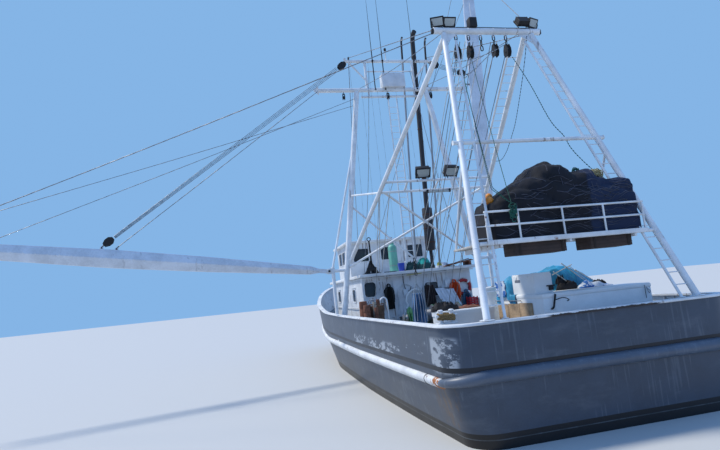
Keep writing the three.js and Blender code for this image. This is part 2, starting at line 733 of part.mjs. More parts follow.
function strutLadderMembers() {
  const at = (share) => strutAt(share);
  const inward = ([x, y, z]) => [x - strutLadder.inward, y, z];
  const members = [[inward(at(strutLadder.from)), inward(at(strutLadder.to)), strutLadder.radius]];
  const step = rungPitch / point(...strutTop).distanceTo(point(...strutFoot));
  for (let share = strutLadder.from + 0.01; share < strutLadder.to; share += step) {
    members.push([at(share), inward(at(share)), 12]);
  }
  return members;
}

function buildGantry() {
  const legCutter = join(sides.map(({ sign }) => bars(gantryLegMembers(sign).slice(0, 2), fitGap)));
  const beamCutter = bars(topBeamMembers, fitGap);
  const acrossCutter = bars([...crossbarMembers, ...platformBeamMembers], fitGap);
  for (const { side, sign } of sides) {
    const leg = cut(bars(gantryLegMembers(sign)), capCutter, beamCutter, acrossCutter);
    addPiece(`gantry_leg_${side}`, leg, materials.whitePaint);
  }
  const strutCutter = join(sides.map(({ sign }) => bars(strutMembers(sign), fitGap)));
  const topBeam = join([bars(topBeamMembers), hangingBlocks(), join(beamFittings()).subtract(strutCutter)]);
  const reach = 0.0001; // as a share of the leg, so that its end is clear too
  const topCutter = join(sides.map(({ sign }) => bars(gantryLegMembers(sign, reach), fitGap)));
  addPiece('gantry_top_beam', cut(topBeam, topCutter), materials.whitePaint);
  addPiece('gantry_crossbar', bars(crossbarMembers), materials.whitePaint);
  const frameCutter = join(sides.map(({ sign }) => bars(frameLegMembers(sign).slice(0, 1), fitGap)));
  for (const { side, sign } of sides) {
    const members = sign > 0 ? [...strutMembers(sign), ...strutLadderMembers()] : strutMembers(sign);
    const strut = cut(bars(members), beamCutter, frameCutter, legCutter);
    addPiece(`gantry_strut_${side}`, strut, materials.whitePaint);
  }
  const [upper, lower] = midShares.map(strutAt);
  const cross = [upper, lower].map(([x, y, z]) => bar([-x, y, z], [x, y, z], 45));
  const ties = [-1200, 0, 1200].map((x) => bar([x, upper[1], upper[2]], [x, lower[1], lower[2]], 35));
  const lamps = [-560, 560].map((x) => floodLamp([x, upper[1], upper[2] + 30]));
  // crossed braces from the lower bar to the feet of the main frame's legs
  const braceFoot = legAt(4330);
  const braces = sides.map(({ sign }) => {
    const top = [sign * (lower[0] - 170), lower[1], lower[2]];
    return bar(top, onSide(-sign, braceFoot), 45);
  });
  const crossBars = cut(join([...cross, ...ties, ...lamps, ...braces]), strutCutter, frameCutter);
  addPiece('strut_cross_bars', crossBars, materials.whitePaint);
}

// A flood lamp on a short stand
function floodLamp([x, y, z]) {
  const stand = bar([x, y, z - 20], [x, y, z + 110], 18, 18, 8);
  return stand.add(block([x - 170, y - 70, z + 90], [x + 170, y + 70, z + 290]));
}

// Knee plates under the top beam, lamps at its ends, and a box between them
function beamFittings() {
  const knees = sides.map(({ sign }) => {
    const corners = [
      [sign * (gantryTop.x - 420), gantryTop.y, gantryTop.z - 60],
      [sign * gantryTop.x, gantryTop.y, gantryTop.z - 60],
      gantryAt(0.94, sign, 20),
    ];
    const halfPlate = [0, -8, 3];
    const ring = (side) => corners.map((corner) => corner.map((v, i) => v + side * halfPlate[i]));
    return loft([ring(-sign), ring(sign)]);
  });
  const lampZ = gantryTop.z + topBeamRadius - 10;
  const lamps = [-1480, -1120, 1130, 1480].map((x) => floodLamp([x, gantryTop.y, lampZ]));
  const [aftY, foreY] = [gantryTop.y - 110, gantryTop.y + 110];
  const box = block([-550, aftY, gantryTop.z + 60], [-320, foreY, gantryTop.z + 380]);
  return [...knees, ...lamps, box];
}

// Towing blocks that hang from the top beam on short chains
function hangingBlocks() {
  const spots = [
    // x, length of the chain, whether it carries a block
    [-980, 420, true],
    [-600, 380, true],
    [-230, 480, false],
    [170, 330, true],
    [550, 330, true],
  ];
  return join(spots.flatMap(([x, length, hasBlock]) => {
    const top = gantryTop.z - topBeamRadius;
    const lug = block([x - 40, gantryTop.y - 12, top - 70], [x + 40, gantryTop.y + 12, top + 40]);
    const links = chainLinks([x, gantryTop.y, top - 30], length - 10);
    return hasBlock ? [lug, ...links, towingBlock([x, gantryTop.y, top - length - 160])] : [lug, ...links];
  }));
}

// Long flat links, each turned square to the last, down from a point
const link = { length: 140, half: 46, bar: 26, thickness: 26, pitch: 116 };

function chainLinks([x, y, z], length) {
  const count = Math.round(length / link.pitch);
  // a ring with cut corners, about a place along the chain
  const ring = (middle, centre, inset) => {
    const [half, reach] = [link.half - inset, link.length / 2 - inset];
    const corner = half * 0.55;
    return [[-half, -reach + corner], [-corner, -reach], [corner, -reach], [half, -reach + corner],
      [half, reach - corner], [corner, reach], [-corner, reach], [-half, reach - corner]]
      .map(([across, up]) => [middle + across, centre + up]);
  };
  return Array.from({ length: count }, (_, i) => {
    const centre = z - link.length / 2 - i * link.pitch;
    const [make, middle, from] = i % 2 ? [plateAcross, y, x] : [plateAlong, x, y];
    const [low, high] = [from - link.thickness / 2, from + link.thickness / 2];
    return make(ring(middle, centre, 0), low, high, ring(middle, centre, link.bar));
  });
}

// Two cheeks with a sheave between them
function towingBlock([x, y, z]) {
  const halfOutline = [[50, 190], [120, 40], [125, -80], [70, -180]];
  const outline = [...halfOutline, ...halfOutline.toReversed().map(([along, up]) => [-along, up])];
  const cheeks = [-1, 1].map((side) => {
    const [x0, x1] = [x + side * 45, x + side * 59].sort((a, b) => a - b);
    return plateAcross(outline.map(([along, up]) => [y + along, z + up]), x0, x1);
  });
  const sheave = bar([x - 36, y, z - 50], [x + 36, y, z - 50], 110, 110, 12);
  const pin = bar([x - 75, y, z - 50], [x + 75, y, z - 50], 20, 20, 8);
  const head = bar([x - 60, y, z + 150], [x + 60, y, z + 150], 24, 24, 8);
  const swivel = bar([x, y, z + 130], [x, y, z + 210], 26, 20, 8);
  return join([...cheeks, sheave, pin, head, swivel]);
}

// Floor between the gantry's legs, with the aft rail that holds the nets in
const platformFloor = { half: 2020, aftY: -11874, foreY: -9900, thickness: 60 };
const platformRail = { heights: [330, 640], postX: [-1990, -1210, -110, 950, 1990], radius: 24 };

function buildPlatform() {
  const { half, aftY, foreY, thickness } = platformFloor;
  const floor = block([-half, aftY, platformZ - thickness], [half, foreY, platformZ]);
  const joists = [-1700, 0, 1700].map((x) =>
    block([x - 30, aftY + 20, platformZ - 130], [x + 30, foreY, platformZ - 30]));
  const railY = aftY + 30;
  const railZ = platformRail.heights.map((height) => platformZ + height);
  const tube = platformRail.radius;
  const postFootZ = platformZ - 30;
  const topZ = railZ.at(-1);
  const posts = platformRail.postX.map((x) => bar([x, railY, postFootZ], [x, railY, topZ], tube, tube, 8));
  const rails = railZ.map((z) => bar([-half, railY, z], [half, railY, z], tube, tube, 8));
  const hangers = sides.map(({ sign }) => {
    const foot = [sign * (half - 40), foreY - 60, postFootZ];
    return bar(foot, gantryAt(0.48, sign), 30, 30, 8);
  });
  const platform = join([bars(platformBeamMembers), floor, ...joists, ...posts, ...rails, ...hangers]);
  const legCutter = join(sides.map(({ sign }) => bars(gantryLegMembers(sign).slice(0, 1), fitGap)));
  const rungCutter = join(sides.map(({ sign }) => bars(gantryLegMembers(sign).slice(1), fitGap)));
  addPiece('net_platform', cut(platform, legCutter, rungCutter), materials.whitePaint);
  const boxes = { port: [-1320, -60], starboard: [570, 1660] };
  const boxTopZ = platformZ - thickness - fitGap;
  for (const [side, [x0, x1]] of Object.entries(boxes)) {
    const box = block([x0, aftY + 130, boxTopZ - 290], [x1, aftY + 700, boxTopZ]);
    addPiece(`platform_box_${side}`, box, materials.brownWood);
  }
  buildNetPile();
}

// Nets heaped on the platform: reach aft and forward and top at stations across the boat
const netStations = [
  [-1860, -11550, -10750, 4530],
  [-1660, -11740, -10450, 5000],
  [-1300, -11780, -10250, 5200],
  [-950, -11790, -10150, 5400],
  [-550, -11790, -10100, 5580],
  [-300, -11790, -10050, 5800],
  [-60, -11790, -10050, 5940],
  [220, -11790, -10050, 5880],
  [520, -11790, -10100, 5620],
  [980, -11790, -10150, 5700],
  [1220, -11790, -10200, 5480],
  [1500, -11790, -10300, 5400],
  [1780, -11790, -10700, 5420],
  [1930, -11790, -11100, 5340],
  [1985, -11740, -11300, 5120],
];

function buildNetPile() {
  const floorZ = platformZ + fitGap;
  const steps = 10;
  const rings = netStations.map(([x, aft, fore, top]) => {
    const [middle, half, height] = [(aft + fore) / 2, (fore - aft) / 2, top - floorZ];
    return Array.from({ length: steps + 1 }, (_, k) => {
      const angle = (k / steps) * Math.PI;
      const c = Math.cos(angle);
      const y = middle - half * Math.sign(c) * Math.abs(c) ** 0.42;
      return [x, y, floorZ + height * Math.sin(angle) ** (c > 0 ? 0.55 : 0.75)];
    });
  });
  // the heap lies round the starboard ladder and is kept clear of it
  const clearance = 15;
  const heap = loft(rings).subtract(bars(gantryLegMembers(1), clearance));
  addPiece('net_pile', largest(heap), materials.darkNet);
}

// Stays of wire from the upper yard's ends to the foredeck and to the gantry's top beam
const stays = { radius: 16, footY: 11400, joinZ: upperYard.z + 170, joinX: upperYard.half - 180 };

function buildStays() {
  const footZ = valueAtY(deckEdge, stays.footY);
  const foot = [0, stays.footY, footZ + 200];
  const plate = block([-60, stays.footY - 190, foot[2] - 30], [60, stays.footY + 30, foot[2] + 190]);
  const parts = [bar([0, stays.footY, footZ - 60], foot, 45, 30, 10), plate];
  for (const { sign } of sides) {
    const top = [sign * stays.joinX, 0, stays.joinZ];
    const aft = [sign * 1655, gantryTop.y, gantryTop.z + 20];
    parts.push(bar(foot, top, stays.radius, stays.radius, 8));
    parts.push(bar(top, aft, stays.radius, stays.radius, 8));
    parts.push(block([top[0] - 35, -60, upperYard.z + 20], [top[0] + 35, 60, stays.joinZ + 40]));
    parts.push(block([aft[0] - 34, aft[1] - 60, aft[2] - 90], [aft[0] + 34, aft[1] + 60, aft[2] + 60]));
  }
  const yardCutter = bars(yardMembers, fitGap);
  const beamCutter = bars(topBeamMembers, fitGap);
  addPiece('main_stays', cut(join(parts), deckCutter, yardCutter, beamCutter), materials.steel);
}

// Height of a hull line where it passes a place along the boat
function valueAtY(line, y) {
  const i = line.findIndex((station) => station.y >= y);
  const [a, b] = [line[i - 1], line[i]];
  return a.z + ((y - a.y) / (b.y - a.y)) * (b.z - a.z);
}

// Outrigger spars, fat in the middle where the topping lift takes hold

const sparTable = [
  // along the spar, depth, width
  [380, 150, 96],
  [800, 340, 220],
  [4900, 580, 340],
  [8400, 670, 380],
  [12100, 540, 320],
  [14600, 340, 220],
];

function outriggerSpar() {
  const rings = sparTable.map(([along, depth, width]) => [
    [along, -0.2 * width, depth / 2],
    [along, -0.5 * width, 0],
    [along, -0.2 * width, -depth / 2],
    [along, 0.2 * width, -depth / 2],
    [along, 0.5 * width, 0],
    [along, 0.2 * width, depth / 2],
  ]);
  const neck = block([0, -48, -75], [390, 48, 75]);
  const eye = bar([0, -48, 0], [0, 48, 0], 95, 95, 20);
  const lugs = [8200, 8700].map((x) => block([x - 60, -20, 280], [x + 60, 20, 420]));
  const boreRadius = pinRadius + runningGap;
  const bore = bar([0, -100, 0], [0, 100, 0], boreRadius, boreRadius, roundSides);
  return join([loft(rings), neck, eye, ...lugs, ...climbingPegs()]).subtract(bore);
}

// Pegs that stand out along both sides of a spar
function climbingPegs() {
  const peg = { pitch: 370, first: 900, length: 75, radius: 12 };
  const pegs = [];
  for (let along = peg.first; along < sparTable.at(-1)[0] - 100; along += peg.pitch) {
    const i = sparTable.findIndex((row) => row[0] > along);
    const [a, b] = [sparTable[i - 1], sparTable[i]];
    const half = (a[2] + ((along - a[0]) / (b[0] - a[0])) * (b[2] - a[2])) / 2;
    const reach = half + peg.length;
    pegs.push(bar([along, -reach, 10], [along, reach, 10], peg.radius, peg.radius, 4));
  }
  return pegs;
}

function buildOutriggers() {
  const spar = outriggerSpar();
  const lie = { port: portRaise, starboard: starboardRaise };
  for (const { side, sign } of sides) {
    const pivot = addPivot(sign * heelX, heelY, heelZ);
    const yaw = sign > 0 ? -sweepAft * degrees : (180 + sweepAft) * degrees;
    pivot.rotation.set(0, -lie[side] * degrees, yaw, 'ZYX');
    addPiece(`outrigger_${side}`, spar, materials.whitePaint, pivot);
  }
}

// Engine exhausts, rising from the house roof beside the mast

function buildExhausts() {
  const y = 330;
  const footZ = house.roofTopZ - 30; // cut to the roof
  const roofCutter = block([-3000, -500, 3700], [3000, 1500, house.roofTopZ + fitGap]);
  const stack = join([
    bar([1120, y, footZ], [1120, y, 4900], 80, 80, 12),
    bar([1120, y, 4850], [1165, y, 6850], 185, 185, 16),
    bar([1165, y, 6800], [1450, y, 15200], 95, 95, 12),
    bar([1448, y + 10, 15120], [1500, y - 320, 15420], 95, 95, 12),
  ]);
  addPiece('exhaust_stack', stack.subtract(roofCutter), materials.blackIron);
  const inboard = bar([330, y, footZ], [880, y, 15190], 45, 45, 10);
  addPiece('exhaust_pipe_inboard', inboard.subtract(roofCutter), materials.steel);
  const outboard = bar([1480, y + 60, footZ], [2100, y + 60, 15200], 45, 45, 10);
  addPiece('exhaust_pipe_outboard', outboard.subtract(roofCutter), materials.steel);
}

// Trawl winch on the deck behind the house

const winch = { y: -2300, z: 2080, shaftRadius: 60 };

function buildWinch() {
  const base = block([-1150, winch.y - 500, deckZ + fitGap], [1150, winch.y + 500, deckZ + 120]);
  const cheekOutline = [
    [winch.y - 420, deckZ + 100],
    [winch.y + 420, deckZ + 100],
    [winch.y + 130, winch.z + 200],
    [winch.y - 130, winch.z + 200],
  ];
  const cheeks = [-1080, 0, 1080].map((x) => plateAcross(cheekOutline, x - 40, x + 40));
  const { shaftRadius } = winch;
  const shaftEnds = [-1300, 1300].map((x) => [x, winch.y, winch.z]);
  const shaft = bar(...shaftEnds, shaftRadius, shaftRadius, roundSides);
  const frame = join([base, ...cheeks, shaft]);
  addPiece('winch_frame', frame, materials.greenPaint);
  const spans = { port: [-1025, -55], starboard: [55, 1025] };
  for (const [side, [x0, x1]] of Object.entries(spans)) {
    const pivot = addPivot(0, winch.y, winch.z);
    const drum = join([
      bar([x0, 0, 0], [x1, 0, 0], 190, 190, 24),
      bar([x0, 0, 0], [x0 + 30, 0, 0], 430, 430, 24),
      bar([x1 - 30, 0, 0], [x1, 0, 0], 430, 430, 24),
    ]);
    const boreRadius = shaftRadius + runningGap;
    const bore = bar([x0 - 50, 0, 0], [x1 + 50, 0, 0], boreRadius, boreRadius, roundSides);
    addPiece(`winch_drum_${side}`, drum.subtract(bore), materials.steel, pivot);
  }
}

// Fish hold hatch amidships on the working deck

const hatch = { half: 750, aftY: -6300, foreY: -4800, topZ: deckZ + 500 };

function buildHatch() {
  const wall = 60;
  const outer = block([-hatch.half, hatch.aftY, deckZ + fitGap], [hatch.half, hatch.foreY, hatch.topZ]);
  const inside = hatch.half - wall;
  const inner = block(
    [-inside, hatch.aftY + wall, deckZ - 50],
    [inside, hatch.foreY - wall, hatch.topZ + 50],
  );
  addPiece('hatch_coaming', outer.subtract(inner), materials.whitePaint);
  const pivot = addPivot(0, hatch.foreY + 40, hatch.topZ + 40);
  const length = hatch.foreY - hatch.aftY + 80;
  const lid = block([-hatch.half - 40, -length, -40 + fitGap], [hatch.half + 40, 0, 40]);
  addPiece('hatch_lid', lid, materials.whitePaint, pivot);
}

// Things kept on the working deck and on the house roof

const chest = { x: [-520, -10], y: [-10900, -9850], z: [2800, 3200], lidTopZ: 3300 };
const tub = { endX: -2380, farX: -800, y: [-9250, -8350], topZ: 2550 };

// The tub's outline from above: straight at one end, round at the other
function tubOutline() {
  const radius = (tub.y[1] - tub.y[0]) / 2;
  const middleY = (tub.y[0] + tub.y[1]) / 2;
  const round = Array.from({ length: 13 }, (_, i) => {
    const angle = Math.PI / 2 + (i / 12) * Math.PI;
    return [tub.endX + radius + radius * Math.cos(angle), middleY + radius * Math.sin(angle)];
  });
  return [[tub.farX, tub.y[1]], ...round, [tub.farX, tub.y[0]]];
}

function buildDeckGear() {
  const boxOutline = { x: [-560, 2400], y: [-11250, -9000], topZ: 2800 };
  const deckBox = block(
    [boxOutline.x[0], boxOutline.y[0], deckZ + fitGap],
    [boxOutline.x[1], boxOutline.y[1], boxOutline.topZ - fitGap],
  );
  addPiece('deck_box', deckBox, materials.whitePaint);
  const body = block(
    [chest.x[0], chest.y[0], chest.z[0]],
    [chest.x[1], chest.y[1], chest.z[1] - fitGap],
  );
  const wall = 50;
  const room = block(
    [chest.x[0] + wall, chest.y[0] + wall, chest.z[0] + wall],
    [chest.x[1] - wall, chest.y[1] - wall, chest.z[1] + wall],
  );
  addPiece('ice_chest', body.subtract(room), materials.whitePlastic);
  const pivot = addPivot(chest.x[1], (chest.y[0] + chest.y[1]) / 2, chest.z[1]);
  const halfLength = (chest.y[1] - chest.y[0]) / 2;
  const lid = block([chest.x[0] - chest.x[1], -halfLength, 0], [0, halfLength, chest.lidTopZ - chest.z[1]]);
  addPiece('ice_chest_lid', lid, materials.whitePlastic, pivot);
  const heap = [
    // x, half-depth, height above the box's top
    [-530, 240, 420],
    [-350, 290, 490],
    [150, 300, 500],
    [450, 400, 520],
    [900, 470, 660],
    [1300, 450, 640],
    [1700, 380, 420],
    [2050, 260, 190],
    [2250, 150, 60],
  ];
  const heapY = -9500;
  const heapZ = boxOutline.topZ - fitGap;
  const heapRings = heap.map(([x, depth, height]) => [
    [x, heapY - depth, heapZ + fitGap],
    [x, heapY - 0.8 * depth, heapZ + 0.6 * height],
    [x, heapY, heapZ + height],
    [x, heapY + 0.8 * depth, heapZ + 0.6 * height],
    [x, heapY + depth, heapZ + fitGap],
  ]);
  addPiece('tarp_heap', loft(heapRings), materials.blueTarp);
  const rings = [deckZ + fitGap, tub.topZ].map((z) => tubOutline().map(([x, y]) => [x, y, z]));
  addPiece('white_tub', loft(rings), materials.whitePlastic);
  const baskets = bar([-2500, -3000, deckZ + fitGap], [-2500, -3000, 2760], 230, 290, 16);
  addPiece('basket_stack', baskets, materials.brownPlastic);
  const greenTank = bar([-600, 700, house.roofTopZ + fitGap], [-600, 700, 5400], 200, 200, 16);
  addPiece('green_tank', greenTank, materials.greenPaint);
  const ringShape = new THREE.TorusGeometry(300, 70, 8, 24);
  ringShape.rotateX(Math.PI / 2);
  ringShape.translate(2050, house.aftY - 70 - fitGap, 3050);
  addPiece('life_ring', solidOf(ringShape), materials.redPlastic);
}

// Stockless anchor held in the bow roller
function buildAnchor() {
  const shankRadius = 45;
  const z = railEdge.at(-1).z + capThickness + 2 * fitGap + shankRadius;
  const crownY = stemY.rail + 380;
  const shank = bar([0, stemY.rail - 700, z], [0, crownY, z], shankRadius, shankRadius, 12);
  const crown = bar([-350, crownY, z], [350, crownY, z], 60, 60, 10);
  const flukes = [-1, 1].map((s) => bar([s * 280, crownY, z], [s * 220, crownY - 100, z - 620], 55, 20, 8));
  addPiece('anchor', join([shank, crown, ...flukes]), materials.blackIron);
}

buildHull();
buildBulwark();
buildRubRails();
buildTransomFender();
buildKeel();
buildPropeller();
buildRudder();
buildDeckhouse();
buildPilothouse();
buildDoors();
buildMainFrame();
buildGantry();
buildPlatform();
buildStays();
buildOutriggers();
buildExhausts();
buildWinch();
buildHatch();
buildDeckGear();
buildAnchor();

export default trawler;
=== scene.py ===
import math
import random

import bpy
import bmesh
from mathutils import Matrix, Vector, noise
from mathutils.bvhtree import BVHTree


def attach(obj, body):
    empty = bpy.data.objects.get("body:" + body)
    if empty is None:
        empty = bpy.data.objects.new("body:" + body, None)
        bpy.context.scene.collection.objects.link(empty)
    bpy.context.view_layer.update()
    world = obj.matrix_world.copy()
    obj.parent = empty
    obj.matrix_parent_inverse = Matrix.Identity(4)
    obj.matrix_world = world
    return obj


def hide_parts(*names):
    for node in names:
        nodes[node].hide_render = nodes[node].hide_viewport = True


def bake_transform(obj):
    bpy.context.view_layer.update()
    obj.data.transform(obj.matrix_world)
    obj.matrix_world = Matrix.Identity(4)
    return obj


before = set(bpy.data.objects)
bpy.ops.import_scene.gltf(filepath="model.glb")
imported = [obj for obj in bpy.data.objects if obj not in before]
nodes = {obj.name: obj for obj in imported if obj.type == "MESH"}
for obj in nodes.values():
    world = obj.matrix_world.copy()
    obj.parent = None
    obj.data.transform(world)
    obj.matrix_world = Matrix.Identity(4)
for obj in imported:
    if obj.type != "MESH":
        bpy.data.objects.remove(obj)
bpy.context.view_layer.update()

scene = bpy.context.scene
print("frame: %d solids" % len(nodes))

bothSides = (("port", -1), ("starboard", 1))
gap = 0.0005  # between pieces that touch in the solids

# Camera: beside the port quarter, looking up and to starboard, rolled a little
cameraSet = {
    "place": (-7.127, -22.214, 3.265),
    "heading": 12.639,  # degrees to starboard of straight ahead
    "pitch": 7.361,
    "roll": -5.815,
    "lens": 25.94,
    "sensor": 36.0,
}


def makeCamera(data):
    heading, pitch, roll = (math.radians(data[k]) for k in ("heading", "pitch", "roll"))
    ahead = Vector((math.sin(heading) * math.cos(pitch), math.cos(heading) * math.cos(pitch),
                    math.sin(pitch)))
    level = Vector((math.cos(heading), -math.sin(heading), 0))
    upright = level.cross(ahead)
    right = math.cos(roll) * level + math.sin(roll) * upright
    up = -math.sin(roll) * level + math.cos(roll) * upright
    lens = bpy.data.cameras.new("camera")
    lens.lens = data["lens"]
    lens.sensor_width = data["sensor"]
    lens.clip_end = 400
    camera = bpy.data.objects.new("camera", lens)
    camera.matrix_world = Matrix((*zip(right, up, -ahead, data["place"]), (0, 0, 0, 1)))
    scene.collection.objects.link(camera)
    scene.camera = camera


# Floor, backdrop colour and soft light
studio = {
    "floorSize": 400.0,
    "floorColour": (0.52, 0.52, 0.50),
    "floorRough": 0.9,
    "skyColour": (0.235, 0.46, 0.79),
    "fillColour": (0.26, 0.50, 1.0),
    "fillStrength": 0.85,
    "sunColour": (1.0, 0.95, 0.86),
    "sunStrength": 3.3,
    "sunSoftness": 9.0,  # degrees
    "sunFrom": (-5.5, 3.2, 8.5),
    "exposure": 0.0,
}


def newMaterial(name):
    material = bpy.data.materials.new(name)
    material.use_nodes = True
    return material, material.node_tree, material.node_tree.nodes["Principled BSDF"]


def makeStudio(data):
    bpy.ops.mesh.primitive_plane_add(size=data["floorSize"], location=(0, 0, 0))
    floor = bpy.context.object
    floor.name = "floor"
    paint, tree, shader = newMaterial("floorPaper")
    shader.inputs["Base Color"].default_value = (*data["floorColour"], 1)
    shader.inputs["Roughness"].default_value = data["floorRough"]
    floor.data.materials.append(paint)
    world = bpy.data.worlds.new("studio")
    world.use_nodes = True
    tree = world.node_tree
    tree.nodes.clear()
    out, mix, path, fill, seen = (tree.nodes.new("ShaderNode" + kind) for kind in
                                  ("OutputWorld", "MixShader", "LightPath", "Background", "Background"))
    fill.inputs["Color"].default_value = (*data["fillColour"], 1)
    fill.inputs["Strength"].default_value = data["fillStrength"]
    seen.inputs["Color"].default_value = (*data["skyColour"], 1)
    for source, target in ((path.outputs["Is Camera Ray"], mix.inputs["Fac"]),
                           (fill.outputs[0], mix.inputs[1]),
                           (seen.outputs[0], mix.inputs[2]), (mix.outputs[0], out.inputs["Surface"])):
        tree.links.new(source, target)
    scene.world = world
    sun = bpy.data.lights.new("sun", "SUN")
    sun.energy = data["sunStrength"]
    sun.color = data["sunColour"]
    sun.angle = math.radians(data["sunSoftness"])
    lamp = bpy.data.objects.new("sun", sun)
    lamp.rotation_euler = Vector(data["sunFrom"]).to_track_quat("Z", "Y").to_euler()
    scene.collection.objects.link(lamp)
    scene.view_settings.view_transform = "Standard"
    scene.view_settings.exposure = data["exposure"]


makeCamera(cameraSet)
makeStudio(studio)
print("camera and studio")


# Shader node groups: effects that several paints share
def newGroup(name, inputs, outputs):
    group = bpy.data.node_groups.new(name, "ShaderNodeTree")
    for label, start in inputs.items():
        kind = "NodeSocketColor" if isinstance(start, tuple) else "NodeSocketFloat"
        socket = group.interface.new_socket(name=label, in_out="INPUT", socket_type=kind)
        socket.default_value = (*start, 1) if isinstance(start, tuple) else start
    for label, kind in outputs.items():
        group.interface.new_socket(name=label, in_out="OUTPUT", socket_type="NodeSocket" + kind)
    return group, group.nodes.new("NodeGroupInput"), group.nodes.new("NodeGroupOutput")


# A number, a colour or another node's output into a socket
def feed(tree, socket, value):
    if isinstance(value, (int, float)):
        socket.default_value = value
    elif isinstance(value, tuple):
        socket.default_value = (*value, 1)
    elif value is not None:
        tree.links.new(value, socket)


def mathNode(tree, operation, a, b):
    node = tree.nodes.new("ShaderNodeMath")
    node.operation = operation
    feed(tree, node.inputs[0], a)
    feed(tree, node.inputs[1], b)
    return node.outputs[0]


def times(tree, a, b):
    return mathNode(tree, "MULTIPLY", a, b)


def plus(tree, a, b):
    return mathNode(tree, "ADD", a, b)


def minus(tree, a, b):
    return mathNode(tree, "SUBTRACT", a, b)


def mixColour(tree, share, a, b):
    node = tree.nodes.new("ShaderNodeMix")
    node.data_type = "RGBA"
    for index, value in ((0, share), (6, a), (7, b)):
        feed(tree, node.inputs[index], value)
    return node.outputs[2]


def noiseNode(tree, vector, scale, detail=4.0, rough=0.6):
    node = tree.nodes.new("ShaderNodeTexNoise")
    for label, value in (("Vector", vector), ("Scale", scale), ("Detail", detail), ("Roughness", rough)):
        feed(tree, node.inputs[label], value)
    return node.outputs[0]


def placedBy(tree, scale=(1, 1, 1)):
    where = tree.nodes.new("ShaderNodeTexCoord")
    mapping = tree.nodes.new("ShaderNodeMapping")
    mapping.inputs["Scale"].default_value = scale
    tree.links.new(where.outputs["Object"], mapping.inputs["Vector"])
    return mapping.outputs[0]


# Where the surface lies, as one vector and as its three parts
def placeOf(tree):
    where = tree.nodes.new("ShaderNodeTexCoord").outputs["Object"]
    parts = tree.nodes.new("ShaderNodeSeparateXYZ")
    tree.links.new(where, parts.inputs[0])
    return where, parts.outputs


# Masks: above an edge, under it, and between two
def above(tree, value, edge, softness=0.04):
    node = tree.nodes.new("ShaderNodeMapRange")
    node.interpolation_type = "SMOOTHSTEP"
    top = edge + softness if isinstance(edge, (int, float)) else plus(tree, edge, softness)
    for label, start in (("Value", value), ("From Min", edge), ("From Max", top)):
        feed(tree, node.inputs[label], start)
    return node.outputs[0]


def under(tree, value, edge, softness):
    return minus(tree, 1.0, above(tree, value, edge, softness))


def between(tree, value, low, high, softness=0.004):
    return times(tree, above(tree, value, low, softness), under(tree, value, high, softness))


def makeRustGroup():
    group, given, out = newGroup("rustBloom", {"Amount": 0.2, "Scale": 1.5},
                                 {"Mask": "Float", "Colour": "Color"})
    where = placedBy(group)
    patches = noiseNode(group, where, given.outputs["Scale"], 6.0, 0.72)
    edge = minus(group, 0.76, times(group, given.outputs["Amount"], 0.42))
    group.links.new(above(group, patches, edge, 0.06), out.inputs["Mask"])
    ramp = group.nodes.new("ShaderNodeValToRGB")
    for stop, place, colour in zip(ramp.color_ramp.elements, (0.35, 0.68),
                                   ((0.055, 0.018, 0.008), (0.30, 0.105, 0.028))):
        stop.position = place
        stop.color = (*colour, 1)
    group.links.new(noiseNode(group, where, 23.0, 3.0), ramp.inputs[0])
    group.links.new(ramp.outputs[0], out.inputs["Colour"])
    return group


def makeStreakGroup():
    group, given, out = newGroup("runStreaks", {"Amount": 0.3, "Width": 9.0, "Length": 0.7},
                                 {"Mask": "Float"})
    where, parts = placeOf(group)
    join = group.nodes.new("ShaderNodeCombineXYZ")
    for axis, size in (("X", "Width"), ("Y", "Width"), ("Z", "Length")):
        group.links.new(times(group, parts[axis], given.outputs[size]), join.inputs[axis])
    lines = noiseNode(group, join.outputs[0], 1.0, 3.0, 0.5)
    breaks = noiseNode(group, where, 0.9, 2.0)
    edge = minus(group, 0.78, times(group, given.outputs["Amount"], 0.35))
    group.links.new(above(group, times(group, lines, plus(group, breaks, 0.5)), edge, 0.09),
                    out.inputs["Mask"])
    return group


def makeGrainGroup():
    group, given, out = newGroup("brushGrain", {"Scale": 60.0, "Depth": 0.5},
                                 {"Height": "Float", "Tone": "Float"})
    where = placedBy(group)
    fine = noiseNode(group, where, given.outputs["Scale"], 3.0)
    broad = noiseNode(group, where, 1.7, 4.0)
    group.links.new(times(group, fine, given.outputs["Depth"]), out.inputs["Height"])
    group.links.new(plus(group, times(group, broad, 0.7), times(group, fine, 0.3)), out.inputs["Tone"])
    return group


rustBloom = makeRustGroup()
runStreaks = makeStreakGroup()
brushGrain = makeGrainGroup()


def useGroup(tree, group, **values):
    node = tree.nodes.new("ShaderNodeGroup")
    node.node_tree = group
    for label, value in values.items():
        node.inputs[label].default_value = value
    return node.outputs


finishes = {}


# Colour, roughness and relief of a paint into its shader
def dress(tree, shader, surface, roughness, height, strength, distance):
    relief = tree.nodes.new("ShaderNodeBump")
    relief.inputs["Strength"].default_value = strength
    relief.inputs["Distance"].default_value = distance
    for source, target in ((surface, shader.inputs["Base Color"]), (roughness, shader.inputs["Roughness"]),
                           (height, relief.inputs["Height"]), (relief.outputs[0], shader.inputs["Normal"])):
        tree.links.new(source, target)


